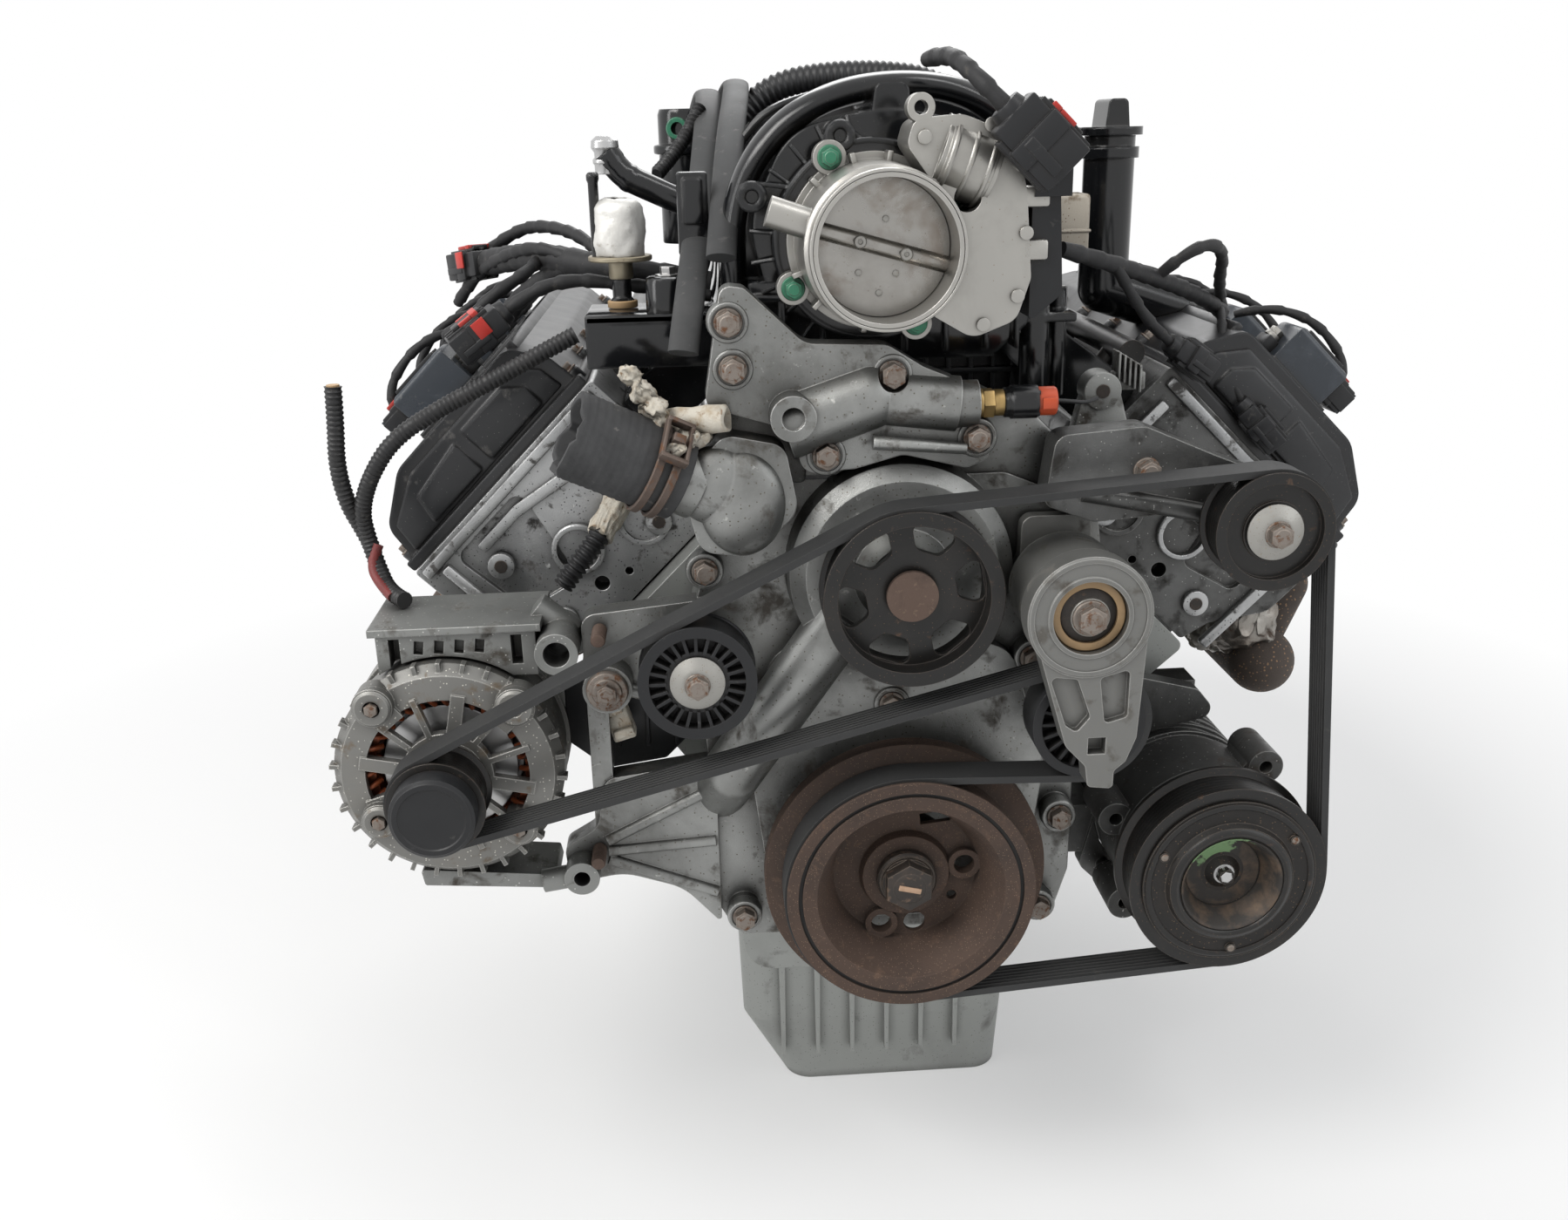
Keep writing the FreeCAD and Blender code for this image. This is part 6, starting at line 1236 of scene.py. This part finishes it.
intake = {"bosses": ((-88, 436), (-34, 470)), "archWide": 15.0, "archThick": 8.5}


def makeIntakeDetails():
    bm = bmesh.new()
    arch = [(-98, 350), (-101, 398), (-95, 440), (-72, 474), (-36, 494), (4, 500), (44, 496), (76, 478), (94, 450)]
    places = evenPlaces(smoothRoute([(x, -508, z) for x, z in arch], 16), 5.0)
    addSweep(bm, places, lambda along: (plusY, plusY.cross(along).normalized()), intake["archWide"],
             intake["archThick"], 28)
    finishPiece(bm, "intakeFrontArch", "gloss", sharp=60, merge=0)
    bm = bmesh.new()
    tx, tz = throttle["x"], throttle["z"]
    for x, z in intake["bosses"]:
        addTurned(bm, [(3.6, -552.6), (5, -554), (8.2, -554), (9.4, -552.6), (9.4, -540), (3.6, -540)], (x, 0, z),
                  segments=32, closed=True)
        away = (Vector((x - tx, 0, z - tz))).normalized()
        across = Vector((away.z, 0, -away.x))
        for s in (-1, 1):
            a = Vector((x, -548, z)) + across * 8.0 * s
            b = Vector((tx, -548, tz)) + away * 57 + across * 13 * s
            addTube(bm, [a, b], 1.5, 8)
    for angle in range(100, 250, 15):
        a = math.radians(angle)
        inner = Vector((tx + 57 * math.cos(a), -543, tz + 57 * math.sin(a)))
        outer = Vector((tx + 74 * math.cos(a), -536, tz + 74 * math.sin(a)))
        addTube(bm, [inner, outer], 1.4, 8)
    addTurned(bm, [(57, -553.2), (59.5, -553.2), (60.5, -552), (60.5, -541), (57, -541)], (tx, 0, tz), segments=96,
              closed=True)
    finishPiece(bm, "intakeFrontRibs", "gloss", sharp=40, merge=0)
    bm = bmesh.new()
    for side in (1, -1):
        for k in range(4):
            y = coilLine(side, k)
            for dy in (-17, 17):  # stiffening ribs laid over each runner
                rib = [(side * 105, y + dy, 372), (side * 106, y + dy, 424), (side * 98, y + dy, 456),
                       (side * 76, y + dy, 484), (side * 44, y + dy, 496), (side * 18, y + dy, 499)]
                addCord(bm, rib, 10, 8.0, 2.6, 8)
    finishPiece(bm, "runnerRibs", "gloss", sharp=60, merge=0)


def makeThrottleDetails():
    x, z = throttle["x"], throttle["z"]
    bm = bmesh.new()
    for angle in (35, 80, 105, 135, 165, 200, 225, 262, 292, 318):
        a = math.radians(angle)
        turn = Matrix.Rotation(-a, 4, "Y")
        out = Vector((math.cos(a), 0, math.sin(a)))
        centre = Vector((x, -566, z)) + out * 49
        addBox(bm, centre - Vector((4.5, 8, 1.6)), centre + Vector((4.5, 8, 1.6)), 0.6, turn)
    addTurned(bm, [(43, -634.3), (44.6, -634.0), (45.0, -632.8), (45.0, -629.5), (43.4, -628.4), (43, -628.4)],
              (x, 0, z), segments=96, closed=True)
    addTurned(bm, [(43, -618.6), (44.6, -618.0), (44.6, -615.6), (43, -615)], (x, 0, z), segments=96, closed=True)
    for dz in (-4, 26):
        addBox(bm, (x + 82, -604, z + dz - 6), (x + 98, -590, z + dz + 6), 2.0)
    for px, pz in ((24, 60), (62, 66), (80, 44), (84, 6), (80, -30), (60, -46)):
        addRod(bm, (x + px, -606.5, z + pz), (x + px, -604, z + pz), 4.2, 3.6, 20, 0.4)
    motor = ((x + 36, -588, z + 51), (x + 64, -588, z + 41))
    addRod(bm, *motor, 22.6, None, 48, 1.2)
    for share in (0.12, 0.5, 0.88):
        a, b = (Vector(p) for p in motor)
        at = a + (b - a) * share
        way = (b - a).normalized()
        addRod(bm, at - way * 1.2, at + way * 1.2, 23.6, None, 48, 0.5)
    finishPiece(bm, "throttleRibs", "satinAluminium", sharp=34, merge=0)
    bm = bmesh.new()
    tilt = math.radians(16)
    for s in (-1, 1):
        at = Vector((x + s * 14 * math.cos(tilt), -609.4, z - s * 14 * math.sin(tilt)))
        addTurned(bm, [(0, -0.2), (1.4, -0.2), (1.5, -0.9), (3.2, -0.9), (3.8, -0.2), (3.8, 1.2), (0, 1.2)], at,
                  segments=24)
    for dx, dz in ((2, 16), (-14, -14), (8, -15), (-2, -26)):
        addRod(bm, (x + dx, -604.0, z + dz), (x + dx, -603.1, z + dz), 1.9, None, 20, 0.2)
    finishPiece(bm, "throttleScrews", "brightCap", body="throttle", sharp=34, merge=0)


def makeCoilDetails():
    shell, locks, bolts = bmesh.new(), bmesh.new(), bmesh.new()
    for side in (1, -1):
        place = bankMatrix(side)
        for k in range(4):
            y = coilLine(side, k)
            parts = [bmesh.new() for _ in range(3)]
            for dy in (-12, -4, 4, 12):
                addBox(parts[0], (-12, y + dy - 1.4, 451.5), (26, y + dy + 1.4, 455.2), 0.7)
            addBox(parts[0], (-30, y - 9, 423.2), (-19, y + 9, 434), 2.0)
            addBox(parts[0], (29, y - 14, 428), (40, y + 14, 450), 1.8)
            addBox(parts[0], (38, y - 13.2, 429), (48, y + 13.2, 449), 1.2)
            for dy in (-13, 13):
                addBox(parts[0], (34, y + dy - 1.2, 432), (50, y + dy + 1.2, 446), 0.6)
            addBox(parts[1], (31, y - 7, 449.2), (41, y + 7, 452.6), 0.8)
            addRod(parts[2], (-24.5, y, 433.6), (-24.5, y, 437), 6.2, 5.8, 24, 0.4)
            addRod(parts[2], (-24.5, y, 436.6), (-24.5, y, 441.5), 5.2, None, 6, 0.6)
            for whole, part in zip((shell, locks, bolts), parts):
                joinPart(whole, part, place)
    finishPiece(shell, "coilRibs", "moulded", sharp=34)
    finishPiece(locks, "coilLocks", "redLock", sharp=34)
    finishPiece(bolts, "coilBolts", "brightCap", sharp=34)


def makeCoverBolts():
    bosses, heads = bmesh.new(), bmesh.new()
    for side in (1, -1):
        front = banks["headFront"][side] + 22
        place = bankMatrix(side)
        for k in range(6):
            y = front + k * 84
            for t in (102.5, -72.5):
                for bm, low, high, r, sides in ((bosses, 366, 376, 7.0, 24), (heads, 376, 377.6, 6.6, 24),
                                                (heads, 377.4, 382, 5.2, 6)):
                    addRod(bm, place @ Vector((t, y, low)), place @ Vector((t, y, high)), r, None, sides, 0.5)
    finishPiece(bosses, "coverBosses", "coverGloss", sharp=34)
    finishPiece(heads, "coverScrews", "rustyBolt", sharp=34)


def makeCastingDetails():
    # lugs, studs and machined rings on the front castings
    bm = bmesh.new()
    for x, z in coverBolts:
        addTurned(bm, [(9.4, -578.0), (11.4, -577.8), (12.2, -576.6), (12.6, -570), (9.4, -570)], (x, 0, z),
                  segments=36, closed=True)
    for x, z in outletBolts:
        addTurned(bm, [(9.9, -589.2), (11.8, -589.0), (12.6, -587.8), (13.2, -580), (9.9, -580)], (x, 0, z),
                  segments=36, closed=True)
    addTurned(bm, [(7, -593.2), (12.6, -593.2), (14, -591.8), (14.6, -585), (7, -585)], (-69, 0, 310), segments=40,
              closed=True)
    finishPiece(bm, "castBosses", "castFront", sharp=34)
    bm = bmesh.new()
    profile = [(6.9 - turn, -592 + k * 1.2 + y) for k in range(5) for turn, y in ((0.0, 0.0), (0.5, 0.6))]
    addTurned(bm, profile, (-69, 0, 310), segments=32)
    addRod(bm, (-69, -583.2, 310), (-69, -582.4, 310), 6.9)
    finishPiece(bm, "plugThread", "rustyShaft", sharp=20, normals=False)
    bm = bmesh.new()
    for x, z, y0, y1 in ((-196, 168, -590, -548), (-206, 8, -590, -556)):
        addRod(bm, (x, y0, z), (x, y1, z), 4.4, None, 20, 0.5)
        for k in range(int((y1 - y0) / 3)):
            addTurned(bm, [(4.3, 0), (4.9, 0.7), (4.3, 1.4)], (x, y0 + 1 + k * 1.9, z), segments=20)
    finishPiece(bm, "studThreads", "rustyShaft", sharp=34, normals=False)
    bm = bmesh.new()
    at = (pivot["x"], 0, pivot["z"])
    addTurned(bm, [(33.8, -666.6), (36.6, -666.6), (37.8, -665.6), (37.8, -662), (33.8, -662)], at,
              segments=72, closed=True)
    addTurned(bm, [(22.8, -666.8), (25.6, -666.8), (26.4, -665.8), (26.4, -662), (22.8, -662)], at,
              segments=56, closed=True)
    finishPiece(bm, "armRims", "tensionerCast", body="tensioner", sharp=34)


def makeAlternatorDetails():
    x, z = wheels["alternator"][:2]
    bm = bmesh.new()
    addTurned(bm, [(24, -655.2), (26.5, -653.6), (26.8, -651), (26.8, -641), (25.4, -640), (24, -640)], (x, 0, z),
              segments=60, closed=True)
    addTurned(bm, [(0, -654.6), (20.2, -654.6), (21, -655.4), (24.2, -655.2), (24.2, -653), (0, -653)], (x, 0, z),
              segments=60)
    finishPiece(bm, "alternatorCapRim", "moulded", body="alternator_rotating", sharp=34)
    bm = bmesh.new()
    for ex, ez, r in ((-42, 52, 13), (48, 48, 13), (-46, -28, 12), (44, -38, 12)):
        addTurned(bm, [(5.4, -600), (6.6, -600.2), (r - 2.4, -600.2), (r - 0.8, -599), (r + 0.2, -592), (5.4, -592)],
                  (x + ex, 0, z + ez), segments=32, closed=True)
    finishPiece(bm, "alternatorBosses", "castAlternator", sharp=34)
    bm = bmesh.new()
    for ex, ez in ((-42, 52), (-46, -28), (44, -38)):
        addRod(bm, (x + ex, -602.6, z + ez), (x + ex, -594, z + ez), 4.6, None, 6, 0.6)
    finishPiece(bm, "alternatorStuds", "rustyBolt", sharp=34)
    bm = bmesh.new()
    for k in range(36):  # copper loops of the winding heads seen through the front openings
        a = math.tau * k / 36
        out = Vector((math.cos(a), 0, math.sin(a)))
        side = Vector((-out.z, 0, out.x))
        centre = Vector((x, -580, z))
        path = [centre + out * 46 + side * -2.4, centre + out * 50 - plusY * 5 + side * -1.4,
                centre + out * 56 - plusY * 5 + side * 1.4, centre + out * 60 + side * 2.4]
        addCord(bm, path, 6, 2.5, 2.0, 8)
    finishPiece(bm, "windingLoops", "windings", sharp=60, merge=0)
    bm = bmesh.new()
    addBox(bm, (-196, -560, 84), (-180, -546, 112), 2.0, Matrix.Rotation(math.radians(-16), 4, "Y"))
    addBox(bm, (-199, -563, 104), (-186, -556, 116), 1.2, Matrix.Rotation(math.radians(-16), 4, "Y"))
    addBox(bm, (-192, -563, 88), (-178, -556, 94), 1.2, Matrix.Rotation(math.radians(-16), 4, "Y"))
    finishPiece(bm, "paleConnector", "crust", sharp=34)


makeIntakeDetails()
makeThrottleDetails()
makeCoilDetails()
makeCoverBolts()
makeCastingDetails()
makeAlternatorDetails()
print("intake, throttle, coils and casting details made")


def makeIntakeSkirt():
    bm = bmesh.new()
    addPrism(bm, [(-92, 384), (94, 384), (88, 352), (66, 332), (-62, 332), (-86, 350)], -536, -500, 3.0)
    for x in (-70, -44, -18, 8, 34, 60, 80):
        addBox(bm, (x - 1.4, -541, 338), (x + 1.4, -520, 384), 0.7)
    addBox(bm, (-88, -542, 372), (90, -530, 376), 1.0)
    addRod(bm, (96, -520, 300), (96, -520, 398), 10, 9, 32, 1.0)
    addRod(bm, (96, -520, 398), (96, -520, 404), 12.5, 12.5, 32, 1.0)
    addRod(bm, (116, -500, 300), (116, -500, 372), 7, 6, 24, 0.8)
    addBox(bm, (84, -528, 352), (122, -496, 358), 1.4)
    finishPiece(bm, "intakeSkirt", "gloss", sharp=34, merge=0)


def makeFrontCastings():
    bm = bmesh.new()
    bmesh.ops.create_uvsphere(bm, u_segments=48, v_segments=28, radius=1.0,
                              matrix=Matrix.Translation((-101, -594, 256)) @ Matrix.Diagonal((27, 13, 33, 1)))
    bmesh.ops.create_uvsphere(bm, u_segments=48, v_segments=28, radius=1.0,
                              matrix=Matrix.Translation((-118, -592, 268)) @ Matrix.Rotation(math.radians(28), 4, "Y")
                              @ Matrix.Diagonal((24, 15, 25, 1)))
    finishPiece(bm, "thermostatDome", "castFront", sharp=60, merge=0)
    bm = bmesh.new()
    addPrism(bm, [(-118, 262), (-60, 262), (-56, 306), (-96, 322), (-120, 306)], -572, -552, 2.5)
    addPrism(bm, [(30, 258), (104, 250), (112, 276), (88, 300), (52, 318), (34, 300)], -560, -540, 2.5)
    addRod(bm, (-20, -596, 292), (38, -596, 286), 4.5, 3.5, 20, 0.6)
    finishPiece(bm, "frontWebs", "castFront", sharp=40, merge=0)
    bm = bmesh.new()
    addRod(bm, (140, -534, 307), (140, -514, 307), 12.5, None, 40, 0.8)
    addPrism(bm, [(128, 304), (152, 310), (160, 282), (154, 262), (118, 262)], -530, -516, 2.0)
    for k in range(5):
        addBox(bm, (150 + 3.6 * k, -532, 314 - 2.2 * k), (151.6 + 3.6 * k, -516, 332 - 2.2 * k), 0.5)
    addBox(bm, (148, -528, 306), (170, -518, 318), 1.6)
    finishPiece(bm, "liftingLug", "castBracket", sharp=34, merge=0)
    # painted shade: a dark disc on the lug's face, where its hole lies in shade
    bm = bmesh.new()
    addRod(bm, (140, -534.6, 307), (140, -533.6, 307), 4.6, None, 24)
    finishPiece(bm, "lugHoleShade", "boltBlack", sharp=34)


def makeCoverFaces():
    # raised panels and ribs on the front ends and tops of the valve covers
    bm = bmesh.new()
    for side in (1, -1):
        front = banks["headFront"][side] + 14
        part = bmesh.new()
        outline = [(97, 372), (92, 394), (56, 411), (-46, 411), (-62, 392), (-64, 374)]
        addPrism(part, outline, front - 3.2, front + 2, 1.6)
        addPrism(part, [(70, 376), (64, 396), (18, 402), (18, 376)], front - 6.0, front, 1.4)
        addPrism(part, [(8, 376), (8, 404), (-34, 404), (-46, 392), (-46, 376)], front - 6.0, front, 1.4)
        for k in range(5):
            y = coilLine(side, k) - 56
            if front + 10 < y < front + 440:
                addBox(part, (-54, y - 2.5, 408), (58, y + 2.5, 421.5), 1.6)
        addBox(part, (58, front + 14, 408), (63, front + 430, 416), 1.6)
        addBox(part, (-60, front + 14, 410), (-54, front + 430, 420.5), 1.6)
        joinPart(bm, part, bankMatrix(side))
    finishPiece(bm, "coverPanels", "coverGloss", sharp=34)


def makeHeadFaces():
    # ledges and pads on the front ends of the heads, and dark discs in the pads painted as the shade in their holes
    bm, holeShades = bmesh.new(), bmesh.new()
    for side in (1, -1):
        front = banks["headFront"][side]
        part, holeShade = bmesh.new(), bmesh.new()
        addBox(part, (-76, front - 4, 352), (102, front + 2, 360), 1.8)
        addBox(part, (84, front - 5, 244), (92, front + 2, 350), 2.0)
        addBox(part, (-70, front - 4, 246), (-62, front + 2, 344), 2.0)
        addPrism(part, [(-58, 328), (20, 344), (60, 344), (60, 336), (24, 336), (-54, 320)], front - 4, front + 1, 1.2)
        for t, d in ((60, 322), (60, 262), (-40, 262)):
            addRod(part, (t, front - 4.5, d), (t, front + 1, d), 9.5, None, 32, 0.8)
            # painted shade: a dark disc where the pad's hole lies in shade
            addRod(holeShade, (t, front - 5.1, d), (t, front - 4, d), 4.6, None, 24)
        addTurned(part, [(15.2, front - 4.5), (18, front - 4.5), (19, front - 3.6), (19, front + 1),
                         (15.2, front + 1)], (14, 0, 290), segments=48, closed=True)
        joinPart(bm, part, bankMatrix(side))
        joinPart(holeShades, holeShade, bankMatrix(side))
    finishPiece(bm, "headPads", "castHead", sharp=34)
    finishPiece(holeShades, "headHoleShades", "boltBlack", sharp=34)


def makeRightPlugs():
    makePlug("coverPlug", (256, -486, 282), (282, -494, 252), 34, 24, 18, False)
    bm = bmesh.new()
    lead = [(256, -484, 284), (246, -480, 300), (240, -474, 322), (246, -456, 340), (250, -436, 346)]
    addCord(bm, lead, 10, 3.0, wrapRadius(3.2), 10)
    spare = [(182, -500, 376), (196, -512, 392), (216, -508, 398), (232, -486, 388), (242, -452, 366),
             (258, -420, 345)]
    addCord(bm, spare, 10, 3.0, wrapRadius(4.0), 10)
    side = [(144, -532, 388), (158, -528, 366), (176, -516, 346), (196, -506, 330)]
    addCord(bm, side, 10, 3.0, wrapRadius(3.6), 10)
    finishPiece(bm, "rightLeads", "tape", sharp=60, merge=0)
    makePlug("sidePlug", (196, -506, 330), (222, -500, 312), 32, 22, 18, False)


def makeSideForms():
    bm = bmesh.new()  # painted shade: a dark ribbed sheet between the alternator and the front cover, put where that gap lies in shade
    outline = [(-226, 126), (-170, 136), (-136, 118), (-132, 84), (-158, 58), (-200, 52), (-226, 74)]
    addPrism(bm, outline, -534, -526, 2.0)
    for x in (-210, -190, -170, -150):
        addBox(bm, (x - 1.3, -538, 70), (x + 1.3, -530, 122), 0.6)
    finishPiece(bm, "sideShadeSheet", "moulded", sharp=34, merge=0)
    bm = bmesh.new()
    addRod(bm, (-184, -473, 230), (-198, -500, 212), 10.5, 9.0, 40, 1.0)
    bmesh.ops.subdivide_edges(bm, edges=bm.edges[:], cuts=3, use_grid_fill=True)
    ragged(bm, 2.6, 0.22, 8)
    ragged(bm, 0.9, 0.7, 9)
    finishPiece(bm, "headPlugCrust", "crust", sharp=80)
    bm = bmesh.new()
    line = [(-196, -497, 214), (-203, -504, 205), (-214, -507, 193), (-224, -508, 180)]
    addCord(bm, line, 10, 0.8, rippleRadius(8.0, 4.2, 1.0), 20)
    finishPiece(bm, "headPlugHose", "moulded", sharp=60, merge=0)
    bm = bmesh.new()  # crumpled foil shield over the front of the right manifold
    bmesh.ops.create_icosphere(bm, subdivisions=5, radius=1.0, matrix=Matrix.Translation((276, -432, 120))
                               @ Matrix.Rotation(math.radians(24), 4, "Y") @ Matrix.Diagonal((30, 44, 40, 1)))
    ragged(bm, 13.0, 0.035, 11)
    ragged(bm, 5.0, 0.11, 12)
    ragged(bm, 1.5, 0.4, 13)
    finishPiece(bm, "manifoldFoil", "foil", sharp=50)


def makeIntakeApron():
    bm = bmesh.new()
    addBox(bm, (26, -447, 284), (106, -441, 334), 1.5)
    for x in (36, 52, 68, 84, 98):
        addBox(bm, (x - 1.6, -452, 286), (x + 1.6, -446, 332), 0.7)
    addBox(bm, (26, -453, 308), (106, -446, 312), 0.7)
    finishPiece(bm, "intakeApron", "moulded", sharp=34, merge=0)


makeIntakeApron()
makeSideForms()
makeIntakeSkirt()
makeFrontCastings()
makeCoverFaces()
makeHeadFaces()
makeRightPlugs()
print("forms between the castings made")


def directRays(tree):
    # 1 for rays from the camera, mirrors and clear forms
    rays = tree.nodes.new("ShaderNodeLightPath").outputs
    seen = mathNode(tree, "ADD", rays["Is Camera Ray"], rays["Is Glossy Ray"], True)
    return mathNode(tree, "ADD", seen, rays["Is Transmission Ray"], True)


def makeStage():
    stageLook = {"floorSize": 9.0, "floorColour": (0.9, 0.9, 0.9), "diffuseSky": 0.32, "clearFrom": 0.42,
                 "clearOver": 0.75, "leastClear": 0.35}
    bm = bmesh.new()
    bmesh.ops.create_grid(bm, x_segments=2, y_segments=2, size=stageLook["floorSize"])
    mesh = bpy.data.meshes.new("floor")
    bm.to_mesh(mesh)
    bm.free()
    floor = bpy.data.objects.new("floor", mesh)
    floor.location = (0, 0, cadBox[0][2] - 0.0004)
    bpy.context.scene.collection.objects.link(floor)
    material = bpy.data.materials.new("floorPaper")
    material.use_nodes = True
    tree = material.node_tree
    shader = tree.nodes["Principled BSDF"]
    shader.inputs["Base Color"].default_value = (*stageLook["floorColour"], 1.0)
    shader.inputs["Roughness"].default_value = 0.85
    reach = tree.nodes.new("ShaderNodeVectorMath")  # far from the object the floor turns to plain white
    reach.operation = "LENGTH"
    tree.links.new(objectCoords(tree), reach.inputs[0])
    away = mathNode(tree, "DIVIDE", mathNode(tree, "SUBTRACT", reach.outputs["Value"], stageLook["clearFrom"]),
                    stageLook["clearOver"], True)
    seen = directRays(tree)
    white = tree.nodes.new("ShaderNodeEmission")
    mix = tree.nodes.new("ShaderNodeMixShader")
    clear = mathNode(tree, "MAXIMUM", away, stageLook["leastClear"])
    tree.links.new(mathNode(tree, "MULTIPLY", clear, seen), mix.inputs[0])
    tree.links.new(shader.outputs[0], mix.inputs[1])
    tree.links.new(white.outputs[0], mix.inputs[2])
    tree.links.new(mix.outputs[0], tree.nodes["Material Output"].inputs["Surface"])
    mesh.materials.append(material)
    world = bpy.data.worlds.new("softRoom")
    world.use_nodes = True
    bpy.context.scene.world = world
    tree = world.node_tree
    tree.nodes.clear()
    out = tree.nodes.new("ShaderNodeOutputWorld")
    mix = tree.nodes.new("ShaderNodeMixShader")
    seen = directRays(tree)
    for i, (colour, strength) in enumerate((((0.97, 0.985, 1.0), stageLook["diffuseSky"]), ((1, 1, 1), 1.0))):
        background = tree.nodes.new("ShaderNodeBackground")
        background.inputs["Color"].default_value = (*colour, 1.0)
        background.inputs["Strength"].default_value = strength
        tree.links.new(background.outputs[0], mix.inputs[i + 1])
    tree.links.new(seen, mix.inputs[0])
    tree.links.new(mix.outputs[0], out.inputs["Surface"])


def makeLamps():
    # soft boxes: place, point lit, size, watts, colour
    boxes = (((-1.6, -1.7, 2.2), (0, -0.4, 0.1), (1.3, 1.3), 50, (1.0, 0.985, 0.96)),
             ((1.9, -1.5, 1.2), (0, -0.4, 0.1), (1.2, 1.2), 8, (0.95, 0.975, 1.0)),
             ((0.2, 1.7, 2.1), (0, -0.3, 0.3), (1.4, 1.4), 26, (1.0, 1.0, 1.0)),
             ((-1.7, -0.9, 1.0), (-0.1, -0.4, 0.35), (0.25, 1.5), 9, (1.0, 1.0, 1.0)),
             ((0.9, -1.2, 2.2), (0.1, -0.4, 0.35), (0.25, 1.6), 9, (1.0, 1.0, 1.0)))
    for i, (place, target, size, power, colour) in enumerate(boxes):
        lamp = bpy.data.lights.new(f"softBox{i}", "AREA")
        lamp.shape = "RECTANGLE"
        lamp.size, lamp.size_y = size
        lamp.energy = power
        lamp.color = colour
        holder = bpy.data.objects.new(f"softBox{i}", lamp)
        aim = (Vector(target) - Vector(place)).to_track_quat("-Z", "Y")
        holder.matrix_world = Matrix.Translation(place) @ aim.to_matrix().to_4x4()
        bpy.context.scene.collection.objects.link(holder)


def makeCamera():
    settings = {"place": (-0.1254, -1.4325, 0.4764), "forward": (0.0547714, 0.94329705, -0.32740002),
                "up": (0.04186656, 0.32543428, 0.94463735), "lens": 32.0816}
    camera = bpy.data.cameras.new("camera")
    camera.lens = settings["lens"]
    camera.sensor_width = 36.0
    camera.sensor_fit = "HORIZONTAL"
    forward, up = Vector(settings["forward"]), Vector(settings["up"])
    turn = Matrix((forward.cross(up), up, -forward)).transposed().to_4x4()
    holder = bpy.data.objects.new("camera", camera)
    holder.matrix_world = Matrix.Translation(settings["place"]) @ turn
    bpy.context.scene.collection.objects.link(holder)
    bpy.context.scene.camera = holder


makeStage()
makeLamps()
makeCamera()
bpy.context.scene.view_settings.view_transform = "Standard"
print("stage, lamps and camera set")
